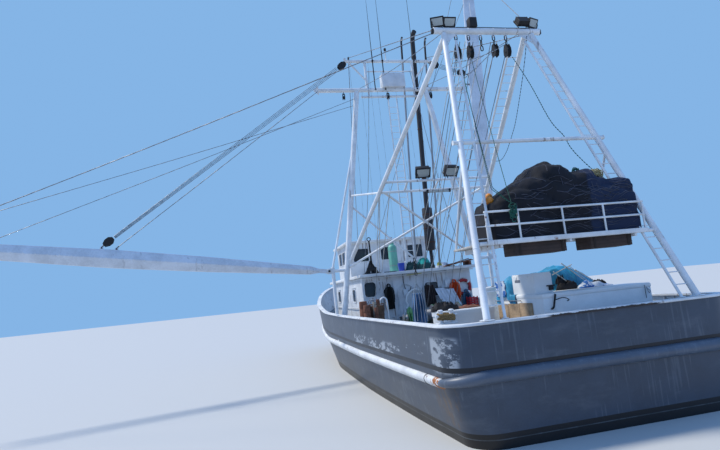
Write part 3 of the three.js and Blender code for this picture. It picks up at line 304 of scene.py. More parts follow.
# A paint or other finish: one base colour, aged with the shared effects
def makeFinish(name, colour, rough=0.5, metal=0.0, rust=0.0, rustScale=1.5, streaks=0.0,
               streakColour=(0.16, 0.08, 0.04), tone=0.16, grain=60.0, depth=0.25, bump=0.004, spots=None):
    finishes[name], tree, shader = newMaterial(name)
    shade = useGroup(tree, brushGrain, Scale=grain, Depth=depth)
    dark = tuple(c * (1 - tone * 1.4) for c in colour)
    light = tuple(min(c * (1 + tone * 0.6), 1) for c in colour)
    surface = mixColour(tree, above(tree, shade["Tone"], 0.3, 0.4), dark, light)
    roughness = plus(tree, rough - 0.08, times(tree, shade["Tone"], 0.2))
    height = shade["Height"]
    if streaks:
        runs = useGroup(tree, runStreaks, Amount=streaks)
        surface = mixColour(tree, times(tree, runs["Mask"], 0.6), surface, streakColour)
    if spots:
        surface = spots(tree, surface)
    if rust:
        bloom = useGroup(tree, rustBloom, Amount=rust, Scale=rustScale)
        surface = mixColour(tree, bloom["Mask"], surface, bloom["Colour"])
        roughness = mathNode(tree, "MAXIMUM", roughness, times(tree, bloom["Mask"], 0.85))
        if metal:
            metal = times(tree, minus(tree, 1.0, bloom["Mask"]), metal)
        height = minus(tree, height, times(tree, bloom["Mask"], 0.35))
    feed(tree, shader.inputs["Metallic"], metal)
    dress(tree, shader, surface, roughness, height, 0.6, bump)


# The net pile turns dark blue towards its starboard end
def blueEnd(tree, surface):
    edge = plus(tree, placeOf(tree)[1]["X"], times(tree, noiseNode(tree, None, 2.0, 3.0), 0.6))
    return mixColour(tree, above(tree, edge, 0.95, 0.08), surface, (0.010, 0.020, 0.052))


makeFinish("rigWhite", (0.78, 0.80, 0.80), 0.42, rust=0.10, rustScale=2.2, streaks=0.25)
makeFinish("railWhite", (0.76, 0.77, 0.76), 0.5, rust=0.34, rustScale=1.9, streaks=0.35)
makeFinish("houseWhite", (0.68, 0.70, 0.71), 0.5, rust=0.12, rustScale=1.1, streaks=0.45)
makeFinish("roofWhite", (0.72, 0.73, 0.72), 0.55, rust=0.16, rustScale=0.9)
makeFinish("deckGrey", (0.23, 0.25, 0.26), 0.75, rust=0.3, rustScale=0.7, grain=90)
makeFinish("bottomBlack", (0.018, 0.019, 0.022), 0.6, rust=0.22, rustScale=0.8)
makeFinish("ironBlack", (0.022, 0.021, 0.021), 0.62, metal=0.3, rust=0.3, rustScale=2.6)
makeFinish("bareSteel", (0.36, 0.37, 0.38), 0.42, metal=0.8, rust=0.3, rustScale=2.4)
makeFinish("castBronze", (0.42, 0.25, 0.09), 0.35, metal=0.9, tone=0.3)
makeFinish("brownBoard", (0.052, 0.030, 0.022), 0.7, tone=0.35, grain=30)
makeFinish("winchGreen", (0.03, 0.15, 0.075), 0.5, rust=0.3, rustScale=2.0)
makeFinish("tankGreen", (0.16, 0.47, 0.36), 0.45, rust=0.14, rustScale=3.0)
makeFinish("chestWhite", (0.82, 0.83, 0.81), 0.45, tone=0.08, streaks=0.2, streakColour=(0.3, 0.28, 0.25))
makeFinish("ringRed", (0.40, 0.02, 0.022), 0.55, tone=0.3)
makeFinish("basketBrown", (0.16, 0.085, 0.045), 0.7, tone=0.4)
makeFinish("netDark", (0.008, 0.009, 0.014), 0.9, tone=0.5, spots=blueEnd)
makeFinish("tarpBlue", (0.03, 0.31, 0.52), 0.5, tone=0.35, grain=18)
print("finishes: %d" % len(finishes))


def addPoints(bm, points):
    return [bm.verts.new(p) for p in points]


# Points round a circle, and round its half from one end to the other
def circle(radius, count, u=0.0, v=0.0):
    turns = [2 * math.pi * k / count for k in range(count)]
    return [(u + radius * math.cos(turn), v + radius * math.sin(turn)) for turn in turns]


def halfCircle(steps):
    return [(math.cos(k / steps * math.pi), math.sin(k / steps * math.pi)) for k in range(steps + 1)]


# Mesh helpers. Every piece is made in place, in metres, in the frame of the solids.
def addRing(bm, centre, axisA, axisB, radius, sides):
    return [bm.verts.new(centre + axisA * a + axisB * b) for a, b in circle(radius, sides)]


def bridge(bm, ringA, ringB, slot=0, smooth=True, flatBack=False):
    count = len(ringA)
    for k in range(count):
        face = bm.faces.new((ringA[k], ringA[(k + 1) % count], ringB[(k + 1) % count], ringB[k]))
        face.material_index = slot
        face.smooth = smooth and not (flatBack and k == count - 1)


def cap(bm, ring, slot=0, flip=False):
    bm.faces.new(list(reversed(ring)) if flip else ring).material_index = slot


# A skin through rings, closed at both ends
def loft(bm, rings, slot=0, smooth=True, flatBack=False):
    for a, b in zip(rings, rings[1:]):
        bridge(bm, a, b, slot, smooth, flatBack)
    cap(bm, rings[0], slot, True)
    cap(bm, rings[-1], slot)


# A round bar along points, with one radius or one for each point
def addPipe(bm, points, radius, sides=14, slot=0):
    points = [Vector(p) for p in points]
    radii = radius if isinstance(radius, (list, tuple)) else [radius] * len(points)
    rings, side = [], None
    for i, here in enumerate(points):
        before = (here - points[i - 1]).normalized() if i else (points[1] - here).normalized()
        after = (points[i + 1] - here).normalized() if i < len(points) - 1 else before
        along = (before + after).normalized()
        if side is None:
            side = along.orthogonal().normalized()
        side = (side - along * side.dot(along)).normalized()
        stretch = 1 / max(before.dot(along), 0.5)
        size = radii[i] * (1 if stretch < 1.02 else (1 + stretch) / 2)
        rings.append(addRing(bm, here, side, along.cross(side), size, sides))
    loft(bm, rings, slot)


# A block between two corners, with small chamfers on its edges when given a bevel
def addBlock(bm, low, high, slot=0, turn=None, bevel=0.0):
    low, high = Vector(map(min, low, high)), Vector(map(max, low, high))
    made = bmesh.ops.create_cube(bm, size=1)["verts"]
    size, middle = high - low, (high + low) / 2
    for v in made:
        v.co = Vector((v.co.x * size.x, v.co.y * size.y, v.co.z * size.z)) + middle
        if turn:
            v.co = turn @ v.co
    for f in {f: 0 for v in made for f in v.link_faces}:
        f.material_index = slot
    if bevel:
        edges = list({e: 0 for v in made for e in v.link_edges})
        grown = bmesh.ops.bevel(bm, geom=edges, offset=bevel, segments=2, affect="EDGES", profile=0.5)
        for f in grown["faces"]:
            f.material_index = slot
            f.smooth = True


# A flat plate through corners, with a thickness along its normal
def addPlate(bm, corners, thickness, slot=0):
    corners = [Vector(c) for c in corners]
    normal = (corners[1] - corners[0]).cross(corners[2] - corners[0]).normalized() * (thickness / 2)
    top, low = addPoints(bm, [c + normal for c in corners]), addPoints(bm, [c - normal for c in corners])
    cap(bm, top, slot)
    cap(bm, low, slot, True)
    bridge(bm, low, top, slot, False)


# A turned shape: [distance along the axis, radius] pairs, closed at both ends
def addTurned(bm, origin, axis, profile, sides=24, slot=0):
    axis = Vector(axis).normalized()
    side = axis.orthogonal().normalized()
    other = axis.cross(side)
    loft(bm, [addRing(bm, Vector(origin) + axis * along, side, other, max(radius, 0.0005), sides)
              for along, radius in profile], slot)


def addDisc(bm, origin, axis, radius, thickness, sides=24, slot=0):
    addTurned(bm, origin, axis, [(0, radius), (thickness, radius)], sides, slot)


def finishPiece(name, bm, materials, replaces=(), body="vessel", sharp=35, recalc=True):
    if recalc:
        bmesh.ops.recalc_face_normals(bm, faces=bm.faces)
    mesh = bpy.data.meshes.new(name)
    bm.to_mesh(mesh)
    bm.free()
    for material in materials:
        mesh.materials.append(finishes[material])
    if sharp:
        mesh.set_sharp_from_angle(angle=math.radians(sharp))
    piece = bpy.data.objects.new(name, mesh)
    scene.collection.objects.link(piece)
    if body:
        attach(piece, body)
    if replaces:
        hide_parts(*replaces)
    return piece

# Hull: lines from the stern (0) to the stem (1), in metres
hullLines = {
    "along": (0.0, 0.15, 0.35, 0.55, 0.7, 0.82, 0.92, 1.0),
    "bottomZ": (-0.43, -0.76, -1.5, -2.0, -2.05, -1.95, -1.6, -0.9),
    "chineHalf": (3.05, 3.2, 3.3, 3.25, 2.85, 2.15, 1.2, 0.09),
    "chineZ": (-0.2, -0.33, -0.45, -0.43, -0.25, 0.05, 0.48, 1.05),
    "deckHalf": (3.45, 3.56, 3.65, 3.65, 3.48, 2.98, 2.08, 0.09),
    "deckZ": (1.38, 1.38, 1.38, 1.38, 1.6, 1.98, 2.42, 2.9),
    "railHalf": (3.45, 3.56, 3.65, 3.68, 3.56, 3.12, 2.23, 0.11),
    "railZ": (2.38, 2.38, 2.38, 2.42, 2.7, 3.13, 3.6, 4.08),
    "sternY": -12.5,
    "quarterRadius": 0.65,
    "stemY": {"bottom": 10.3, "chine": 11.5, "deck": 12.5, "rail": 13.0},
    "cornerSteps": 8,
    "sideSteps": 54,
    "keelHalf": 0.14,
    "plate": 0.06,
}


def lineValue(name, along):
    xs, ys = hullLines["along"], hullLines[name]
    last = len(xs) - 1
    slope = lambda i: (ys[i + 1] - ys[i]) / (xs[i + 1] - xs[i])

    def tangent(i):
        if i == 0:
            return slope(0)
        if i == last:
            return slope(last - 1)
        before, after = slope(i - 1), slope(i)
        return 0 if before * after <= 0 else 2 * before * after / (before + after)

    i = max(next(k for k in range(last + 1) if xs[k] >= along) - 1, 0)
    width = xs[i + 1] - xs[i]
    t = (along - xs[i]) / width
    rise = t * t * (3 - 2 * t)
    return ys[i] * (1 - rise) + ys[i + 1] * rise + width * t * (1 - t) * ((1 - t) * tangent(i)
            - t * tangent(i + 1))


def hullLine(halfName, heightName, endY):
    line = []
    radius, steps = hullLines["quarterRadius"], hullLines["cornerSteps"]
    for i in range(steps):
        angle = i / steps * math.pi / 2
        half = lineValue(halfName, 0) - radius * (1 - math.sin(angle))
        line.append((half, hullLines["sternY"] + radius * (1 - math.cos(angle)), lineValue(heightName, 0)))
    startY = hullLines["sternY"] + radius
    for i in range(hullLines["sideSteps"] + 1):
        along = 1 - (1 - i / hullLines["sideSteps"]) ** 1.5
        line.append((lineValue(halfName, along), startY + along * (endY - startY),
                     lineValue(heightName, along)))
    return [Vector(p) for p in line]


deckTop, roofTop, tubTop = 1.3803, 3.9703, 2.549  # where gear stands: on the deck, the house and the tub
stems = hullLines["stemY"]
deckLine = hullLine("deckHalf", "deckZ", stems["deck"])
railLine = hullLine("railHalf", "railZ", stems["rail"])
chineLine = hullLine("chineHalf", "chineZ", stems["chine"])
bottomLine = [Vector((hullLines["keelHalf"], p.y, p.z)) for p in hullLine("chineHalf", "bottomZ",
        stems["bottom"])]


def mirrored(point, sign):
    return Vector((sign * point.x, point.y, point.z))


# Closed skin across the boat from rows of points, each row running up one side
def sectionSkin(bm, rows, slotAt):
    grid = [addPoints(bm, row) for row in rows]
    for a, b in zip(grid, grid[1:]):
        for k in range(len(a) - 1):
            if (a[k].co - a[k + 1].co).length < 1e-5 and (b[k].co - b[k + 1].co).length < 1e-5:
                continue
            face = bm.faces.new((a[k], b[k], b[k + 1], a[k + 1]))
            face.material_index = slotAt(k)
            face.smooth = True
    return grid


# The paint of the topsides: slate with a black line, a black boot top and a pale line under it. The
# attribute "drop" is how far a point lies under the rail.
hullPaint = {
    "slate": (0.052, 0.070, 0.098),
    "worn": (0.115, 0.135, 0.16),
    "scuff": (0.40, 0.44, 0.48),
    "lineAt": (0.785, 0.885),  # below the rail
    "bootAt": 0.30,  # upper edge of the boot top above the water
    "paleLine": (0.180, 0.200),
    "scuffs": (  # along the port side from, to, height from, to, how much is rubbed off
        (-9.3, -4.0, 1.46, 1.78, 0.50),
        (-12.38, -11.5, 1.42, 2.10, 0.465),
        (-11.2, -9.6, 1.72, 1.98, 0.60),
    ),
    "cornerRust": (-12.3, -11.3),  # below the rubbing bar's end
}


def makeHullPaint(name, data, withBands=True):
    finishes[name], tree, shader = newMaterial(name)
    x, y, z = placeOf(tree)[1]
    shade = useGroup(tree, brushGrain, Scale=45.0, Depth=0.3)
    dark = tuple(c * 0.78 for c in data["slate"])
    surface = mixColour(tree, above(tree, shade["Tone"], 0.34, 0.3), dark, data["slate"])
    chalk = noiseNode(tree, placedBy(tree, (0.5, 0.5, 1.4)), 1.6, 6.0, 0.66)
    surface = mixColour(tree, times(tree, above(tree, chalk, 0.5, 0.25), 0.55), surface, data["worn"])
    # pale rubbed places on the port side, where the boat lies against a quay
    rubs = noiseNode(tree, placedBy(tree, (1.0, 0.5, 1.3)), 3.2, 7.0, 0.72)
    portSide = under(tree, x, -3.0, 0.15)
    for y0, y1, z0, z1, edge in data["scuffs"] if withBands else ():
        patch = times(tree, between(tree, y, y0, y1, 0.08), between(tree, z, z0, z1, 0.12))
        share = times(tree, above(tree, rubs, edge, 0.03), times(tree, portSide, patch))
        surface = mixColour(tree, times(tree, share, 0.75), surface, data["scuff"])
    drips = useGroup(tree, runStreaks, Amount=0.52, Width=14.0, Length=0.55)
    surface = mixColour(tree, times(tree, drips["Mask"], 0.14), surface, (0.28, 0.32, 0.35))
    if withBands:
        drop = tree.nodes.new("ShaderNodeAttribute")
        drop.attribute_name = "drop"
        surface = mixColour(tree, between(tree, drop.outputs["Fac"], *data["lineAt"]), surface,
                            (0.006, 0.007, 0.010))
        height = plus(tree, z, times(tree, noiseNode(tree, None, 3.0, 3.0), 0.016))
        surface = mixColour(tree, under(tree, height, data["bootAt"], 0.006), surface, (0.004, 0.004, 0.005))
        wear = plus(tree, 0.25, times(tree, above(tree, rubs, 0.42, 0.2), 0.3))
        pale = times(tree, between(tree, height, *data["paleLine"], 0.005), wear)
        surface = mixColour(tree, pale, surface, (0.15, 0.17, 0.18))
    bloom = useGroup(tree, rustBloom, Amount=0.06, Scale=2.4)
    surface = mixColour(tree, bloom["Mask"], surface, bloom["Colour"])
    if withBands:  # brown stain that has run down the quarter
        runs = useGroup(tree, runStreaks, Amount=0.75, Width=9.0, Length=0.3)
        stain = times(tree, times(tree, between(tree, y, *data["cornerRust"], 0.3), portSide),
                      between(tree, z, 0.3, 1.3, 0.12))
        stain = times(tree, stain, plus(tree, 0.12, times(tree, runs["Mask"], 0.55)))
        surface = mixColour(tree, stain, surface, (0.13, 0.075, 0.035))
    roughness = plus(tree, 0.30, times(tree, shade["Tone"], 0.22))
    dress(tree, shader, surface, roughness, plus(tree, shade["Height"], times(tree, chalk, 0.5)), 0.5, 0.006)


makeHullPaint("hullSlate", hullPaint)
# lighter copy of the hull slate for the transom band: painted light, standing for the sun on the band's top
makeHullPaint("bandSlate", {**hullPaint, "slate": (0.10, 0.125, 0.165)}, False)


def dented(point, outward, amount=0.007):
    plates = noise.noise(Vector((point.y * 1.1, point.z * 1.3, 3.0 * (point.x > 0))))
    return point - outward * (amount * (0.5 + plates))


def outwardAt(line, i):
    a, b = line[max(i - 1, 0)], line[min(i + 1, len(line) - 1)]
    side = Vector((b.y - a.y, -(b.x - a.x), 0))
    return side.normalized() if side.length > 1e-6 else Vector((1, 0, 0))


# Height of one of the hull's lines beside a place along the boat
def heightNear(line, y):
    for a, b in zip(line, line[1:]):
        if y <= b.y:
            share = (y - a.y) / max(b.y - a.y, 1e-6)
            return a.z * (1 - share) + b.z * share
    return line[-1].z


# How far each point lies under the rail, for the paint
def setDrop(mesh):
    values = mesh.attributes.new("drop", "FLOAT", "POINT").data
    for v, value in zip(mesh.vertices, values):
        value.value = heightNear(railLine, v.co.y) - v.co.z


def makeHull():
    bm = bmesh.new()
    topRows, bottomRows = 10, 4
    rows = []
    for i, (low, chine, deck) in enumerate(zip(bottomLine, chineLine, deckLine)):
        out = outwardAt(deckLine, i)
        half = [low.lerp(chine, k / bottomRows) for k in range(bottomRows)]
        for k in range(topRows + 1):
            share = k / topRows
            half.append(dented(chine.lerp(deck, share), out, 0.006 * math.sin(math.pi * share)))
        centre = Vector((0, deck.y, deck.z))
        rows.append([centre] + [mirrored(p, -1) for p in reversed(half)] + half + [centre])
    deckStrips = (0, len(rows[0]) - 2)
    grid = sectionSkin(bm, rows, lambda k: 1 if k in deckStrips else 0)
    for ring in (grid[0][1:-1], grid[-1][1:-1]):
        for k in range(len(ring) // 2 - 1):
            bm.faces.new((ring[k], ring[k + 1], ring[-2 - k], ring[-1 - k])).smooth = True
    bmesh.ops.remove_doubles(bm, verts=bm.verts, dist=0.0005)
    setDrop(finishPiece("hullShell", bm, ["hullSlate", "deckGrey"], ["hull"], sharp=28).data)


makeHull()
print("hull")

# Bulwark: plating round the deck with frames inside, a flat rail on top and half-round rubbing bars
railSet = {
    "capOut": 0.06,
    "capIn": 0.15,
    "capThickness": 0.06,
    "frameEvery": 0.95,
    "frameDepth": 0.16,
    "rubBulge": 0.115,
    "rubShares": (0.012, 0.15),
    "bandRadius": 0.135,
    "bandTaper": 0.42,
    "railGapY": -11.1,
}


def offsetPoint(line, i, out, up):
    normal = outwardAt(line, i)
    point = line[i]
    if i >= hullLines["cornerSteps"]:
        return Vector((point.x + out / max(normal.x, 0.2), point.y, point.z + up))
    return Vector((point.x + out * normal.x, point.y + out * normal.y, point.z + up))


def makeBulwark(data):
    bm = bmesh.new()
    plate, sternY, corner = hullLines["plate"], hullLines["sternY"], hullLines["cornerSteps"]
    shares = [k / 5 for k in range(6)]
    stations = [i for i in range(len(deckLine)) if deckLine[i].x > 0.2 and railLine[i].x > 0.2]

    def skin(grid):  # slate outside, white inside and on the edges
        for a, b in zip(grid, grid[1:]):
            for k in range(len(a)):
                face = bm.faces.new((a[k], b[k], b[(k + 1) % len(a)], a[(k + 1) % len(a)]))
                face.material_index, face.smooth = (0, True) if k < 5 else (1, False)

    for sign in (-1, 1):
        grid = []
        for i in stations:
            out = outwardAt(railLine, i)
            ring = [dented(deckLine[i].lerp(railLine[i], share), out, 0.005 * math.sin(math.pi * share))
                    for share in shares]
            ring += [offsetPoint(railLine, i, -plate, 0), offsetPoint(deckLine, i, -plate, 0.002)]
            grid.append(addPoints(bm, [mirrored(p, sign) for p in ring]))
        skin(grid)
        bm.faces.new(grid[-1])
    # the transom between the two quarters
    half, low, high, columns, grid = deckLine[0].x, deckLine[0].z, railLine[0].z, 24, []
    for c in range(columns + 1):
        x = -half + 2 * half * c / columns
        column = []
        for share in shares:
            z = low + share * (high - low)
            dip = 0.006 * math.sin(math.pi * share) * (0.5 + noise.noise(Vector((x * 1.2, z * 1.5, 9))))
            column.append((x, sternY + dip, z))
        grid.append(addPoints(bm, column + [(x, sternY + plate, high), (x, sternY + plate, low)]))
    skin(grid)
    bmesh.ops.remove_doubles(bm, verts=bm.verts, dist=0.002)
    # stays that carry the rail, welded to the deck and the plating
    y = sternY + 1.1
    while y < 8.5:
        i = min(range(corner, len(railLine)), key=lambda k: abs(railLine[k].y - y))
        inner, foot = offsetPoint(railLine, i, -plate, 0), offsetPoint(deckLine, i, -plate, 0)
        corners = (foot, foot + Vector((-data["frameDepth"] * 1.4, 0, 0)),
                   inner + Vector((-0.05, 0, -0.02)), inner + Vector((0, 0, -0.02)))
        for sign in (-1, 1):
            addPlate(bm, [mirrored(p, sign) for p in corners], 0.012, 1)
        y += data["frameEvery"]
    setDrop(finishPiece("bulwarkPlating", bm, ["hullSlate", "houseWhite"],
                        ["bulwark_port", "bulwark_starboard", "bulwark_transom"], sharp=30).data)


def makeCapRail(data):
    bm = bmesh.new()
    thick, over, inboard = data["capThickness"], data["capOut"], data["capIn"]
    stations = [i for i in range(len(railLine)) if railLine[i].x > 0.32]
    section = ((over, 0.012), (over + 0.004, thick * 0.5), (over - 0.01, thick), (-inboard + 0.01, thick),
               (-inboard, thick * 0.5), (-inboard + 0.006, 0.008), (0, 0.0))
    rings = []
    for i, sign in [(i, 1) for i in reversed(stations)] + [(i, -1) for i in stations]:
        ring = []
        for out, up in section:
            ripple = 0.004 * noise.noise(Vector((railLine[i].y * 2.5, sign * 3.0, out * 20)))
            ring.append(mirrored(offsetPoint(railLine, i, out, up + ripple + 0.0006), sign))
        rings.append(addPoints(bm, ring))
    loft(bm, rings)
    # the two sides meet in a flat breasthook at the stem
    bow = railLine[stations[-1]:]
    for sign in (-1, 1):
        outer = [mirrored(Vector((p.x + over * 0.7, p.y, p.z)), sign) for p in bow]
        inner = [Vector((0, p.y, p.z)) for p in bow]
        for a, upA, b, upB in ((outer, thick, inner, thick), (outer, 0.008, inner, 0.008),
                               (outer, thick, outer, 0.008)):
            one = addPoints(bm, [p + Vector((0, 0, upA)) for p in a])
            two = addPoints(bm, [p + Vector((0, 0, upB)) for p in b])
            for k in range(len(bow) - 1):
                bm.faces.new((one[k], one[k + 1], two[k + 1], two[k]))
        front = ((outer[-1], thick), (inner[-1], thick), (inner[-1], 0.008), (outer[-1], 0.008))
        bm.faces.new(addPoints(bm, [p + Vector((0, 0, up)) for p, up in front]))
    bmesh.ops.remove_doubles(bm, verts=bm.verts, dist=0.001)
    finishPiece("capRail", bm, ["railStained"], ["cap_rail"], sharp=40)


# The rubbing bar's half-round section at one place
def rubSection(data, deck, chine, sign, rough, proud):
    top, foot = (deck.lerp(chine, share) for share in data["rubShares"])
    bulge = data["rubBulge"] * (1 + rough * noise.noise(Vector((top.y * 1.4, sign, 0))))
    return [mirrored((top + foot) / 2 + (top - foot) / 2 * c + Vector((bulge * s + proud, 0, 0)), sign)
            for c, s in halfCircle(10)]


def makeRubRails(data):
    for side, sign in bothSides:
        bm = bmesh.new()
        rings = [addPoints(bm, rubSection(data, deckLine[i], chineLine[i], sign, 0.05, 0.001))
                 for i in range(hullLines["cornerSteps"], len(deckLine))]
        # the closed round end at the quarter
        first = [v.co.copy() for v in rings[0]]
        centre = (first[0] + first[-1]) / 2
        for step in range(1, 5):
            angle = step / 4 * math.pi / 2
            shift = Vector((-sign * 0.02, -0.11 * math.sin(angle), 0))
            pulled = [centre + (co - centre) * max(math.cos(angle), 0.02) + shift for co in first]
            rings.insert(0, addPoints(bm, pulled))
        loft(bm, rings, flatBack=True)
        bmesh.ops.remove_doubles(bm, verts=bm.verts, dist=0.0005)
        # the open joint between two lengths of it
        i = max(k for k in range(len(deckLine) - 1) if deckLine[k].y <= data["railGapY"])
        share = (data["railGapY"] - deckLine[i].y) / (deckLine[i + 1].y - deckLine[i].y)
        deck, chine = (line[i].lerp(line[i + 1], share) for line in (deckLine, chineLine))
        addPipe(bm, rubSection(data, deck, chine, sign, 0, 0.002), 0.011, 8, 1)
        finishPiece("rubRail" + side.capitalize(), bm, ["railStained", "bottomBlack"], ["rub_rail_" + side],
                    sharp=40)


# The rail's stains: dark along the transom, rust at the port quarter
def railStains(tree, surface):
    x, y, z = placeOf(tree)[1]
    patch = noiseNode(tree, placedBy(tree), 5.5, 6.0, 0.7)
    along = times(tree, between(tree, x, -1.35, 1.3, 0.2), under(tree, y, -12.3, 0.05))
    low = under(tree, plus(tree, z, times(tree, patch, -0.09)), 2.375, 0.008)
    surface = mixColour(tree, times(tree, along, low), surface, (0.035, 0.022, 0.016))
    port = times(tree, under(tree, x, -2.9, 0.1), under(tree, z, 1.8, 0.1))
    spot = times(tree, times(tree, port, between(tree, y, -12.35, -11.55, 0.15)),
                 above(tree, patch, 0.49, 0.03))
    return mixColour(tree, spot, surface, (0.36, 0.12, 0.025))


# The half-round bar under the transom's deck edge, thinner as it goes round the quarters
def makeTransomBand(data):
    bm = bmesh.new()
    steps, stern = hullLines["cornerSteps"], deckLine[0]
    corner = [(deckLine[i], outwardAt(deckLine, i), i / steps) for i in range(steps + 1)]
    flat = [(Vector((stern.x * (1 - 2 * c / 48), stern.y, stern.z)), Vector((0, -1, 0)), 0.0)
            for c in range(1, 48)]
    rings = []
    for point, out, share in corner[::-1] + flat + [(mirrored(p, -1), mirrored(n, -1), share) for p, n,
                                                    share in corner]:
        size = data["bandRadius"] * ((1 + 0.03 * noise.noise(point * 1.3)) * (1 - data["bandTaper"] * share))
        rings.append(addPoints(bm, [point + out * (0.001 + size * s) + Vector((0, 0, size * c - 0.11 * share))
                                    for c, s in halfCircle(12)]))
    loft(bm, rings, flatBack=True)
    # the band's paint is the lighter copy of the hull slate, with painted light in it
    finishPiece("transomBand", bm, ["bandSlate"], ["transom_fender"], sharp=40)


makeFinish("railStained", (0.76, 0.77, 0.76), 0.5, rust=0.34, rustScale=1.9, streaks=0.35, spots=railStains)
makeBulwark(railSet)
makeCapRail(railSet)
makeRubRails(railSet)
makeTransomBand(railSet)
print("bulwark and rails")


# An empty tree of Geometry Nodes with its inputs, and a function that adds a node with what goes into it
def newGeometryTree(name, inputs):
    tree = bpy.data.node_groups.new(name, "GeometryNodeTree")
    for label, kind, start in inputs:
        socket = tree.interface.new_socket(name=label, in_out="INPUT", socket_type="NodeSocket" + kind)
        if start is not None:
            socket.default_value = start
    tree.interface.new_socket(name="Mesh", in_out="OUTPUT", socket_type="NodeSocketGeometry")

    def add(kind, values=(), **settings):
        node = tree.nodes.new(kind)
        for key, value in settings.items():
            setattr(node, key, value)
        for key, value in dict(values).items():
            feed(tree, node.inputs[key], value)
        return node.outputs

    return tree, add("NodeGroupInput"), add


def closeTree(add, given, geometry):
    real = add("GeometryNodeRealizeInstances", {0: geometry})
    done = add("GeometryNodeSetMaterial", {"Geometry": real[0], "Material": given["Finish"]})
    add("NodeGroupOutput", {0: done[0]})


def makeRowTree():
    tree, given, add = newGeometryTree("rowOfItems", (
        ("Item", "Object", None), ("Start", "Vector", None), ("End", "Vector", None), ("Count", "Int", 5),
        ("Turn", "Vector", None), ("Twist", "Vector", None), ("First Scale", "Vector", (1, 1, 1)),
        ("Last Scale", "Vector", (1, 1, 1)), ("Finish", "Material", None)))
    line = add("GeometryNodeMeshLine", {"Count": given["Count"], "Start Location": given["Start"],
                                        "Offset": given["End"]}, mode="END_POINTS")
    item = add("GeometryNodeObjectInfo", {"Object": given["Item"]})
    index = add("GeometryNodeInputIndex")[0]
    odd = add("FunctionNodeIntegerMath", {0: index, 1: 2}, operation="MODULO")
    twist = add("ShaderNodeVectorMath", {0: given["Twist"], "Scale": odd[0]}, operation="SCALE")
    turn = add("ShaderNodeVectorMath", {0: given["Turn"], 1: twist[0]})
    last = add("ShaderNodeMath", {0: given["Count"], 1: 1}, operation="SUBTRACT")
    share = add("ShaderNodeMath", {0: index, 1: last[0]}, operation="DIVIDE")
    size = add("ShaderNodeMix", {0: share[0], 4: given["First Scale"], 5: given["Last Scale"]},
               data_type="VECTOR")
    copies = add("GeometryNodeInstanceOnPoints", {"Points": line[0], "Instance": item["Geometry"],
                                                  "Rotation": turn[0], "Scale": size[1]})
    closeTree(add, given, copies[0])
    return tree


# A rope or wire along a curve: strands laid round each other, with a fixed lay
def makeRopeTree():
    tree, given, add = newGeometryTree("laidRope", (
        ("Path", "Object", None), ("Radius", "Float", 0.02), ("Strands", "Int", 3),
        ("Turns Per Metre", "Float", 6.0),
        ("Step", "Float", 0.05), ("Sides", "Int", 5), ("Finish", "Material", None)))
    path = add("GeometryNodeObjectInfo", {"Object": given["Path"]})
    even = add("GeometryNodeResampleCurve", {"Curve": path["Geometry"], "Length": given["Step"]},
               mode="LENGTH")
    along = add("GeometryNodeSplineParameter")
    turns = add("ShaderNodeMath", {0: along["Length"], 1: given["Turns Per Metre"]}, operation="MULTIPLY")
    angle = add("ShaderNodeMath", {0: turns[0], 1: 2 * math.pi}, operation="MULTIPLY")
    tilt = add("GeometryNodeSetCurveTilt", {"Curve": even[0], "Tilt": angle[0]})
    half = add("ShaderNodeMath", {0: given["Radius"], 1: 0.5}, operation="MULTIPLY")
    core, strand = (add("GeometryNodeCurvePrimitiveCircle", {"Resolution": given[count], "Radius": half[0]})
                    for count in ("Strands", "Sides"))
    points = add("GeometryNodeCurveToPoints", {"Curve": core[0]}, mode="EVALUATED")
    copies = add("GeometryNodeInstanceOnPoints", {"Points": points["Points"], "Instance": strand[0]})
    section = add("GeometryNodeRealizeInstances", {0: copies[0]})
    sweep = add("GeometryNodeCurveToMesh", {"Curve": tilt[0], "Profile Curve": section[0], "Fill Caps": True})
    closeTree(add, given, sweep[0])
    return tree


rowTree = makeRowTree()
ropeTree = makeRopeTree()


# Runs a tree on an empty host and returns its result as a plain mesh
def grow(tree, **values):
    host = bpy.data.objects.new("host", bpy.data.meshes.new("host"))
    scene.collection.objects.link(host)
    modifier = host.modifiers.new("grow", "NODES")
    modifier.node_group = tree
    for socket in tree.interface.items_tree:
        key = socket.name[0].lower() + socket.name[1:].replace(" ", "")
        if socket.in_out == "INPUT" and key in values:
            modifier[socket.identifier] = values[key]
    graph = bpy.context.evaluated_depsgraph_get()
    graph.update()
    mesh = bpy.data.meshes.new_from_object(host.evaluated_get(graph), depsgraph=graph)
    host.modifiers.clear()
    bpy.data.objects.remove(host)
    return mesh


def addMesh(bm, mesh, slot=0, smooth=True):
    count = len(bm.faces)
    bm.from_mesh(mesh)
    bm.faces.ensure_lookup_table()
    for face in bm.faces[count:]:
        face.material_index = slot
        face.smooth = smooth
    bpy.data.meshes.remove(mesh)


# An item that a row repeats: made once, kept out of the render
def makeItem(name, build):
    bm = bmesh.new()
    build(bm)
    bmesh.ops.recalc_face_normals(bm, faces=bm.faces)
    mesh = bpy.data.meshes.new(name)
    bm.to_mesh(mesh)
    bm.free()
    item = bpy.data.objects.new(name, mesh)
    item.hide_render = True
    return item


def turnTo(direction, axis="X"):
    return tuple(Vector(direction).to_track_quat(axis, "Z" if axis != "Z" else "Y").to_euler())


rungItem = makeItem("rungItem", lambda bm: addPipe(bm, [(-0.5, 0, 0), (0.5, 0, 0)], 0.012, 8))


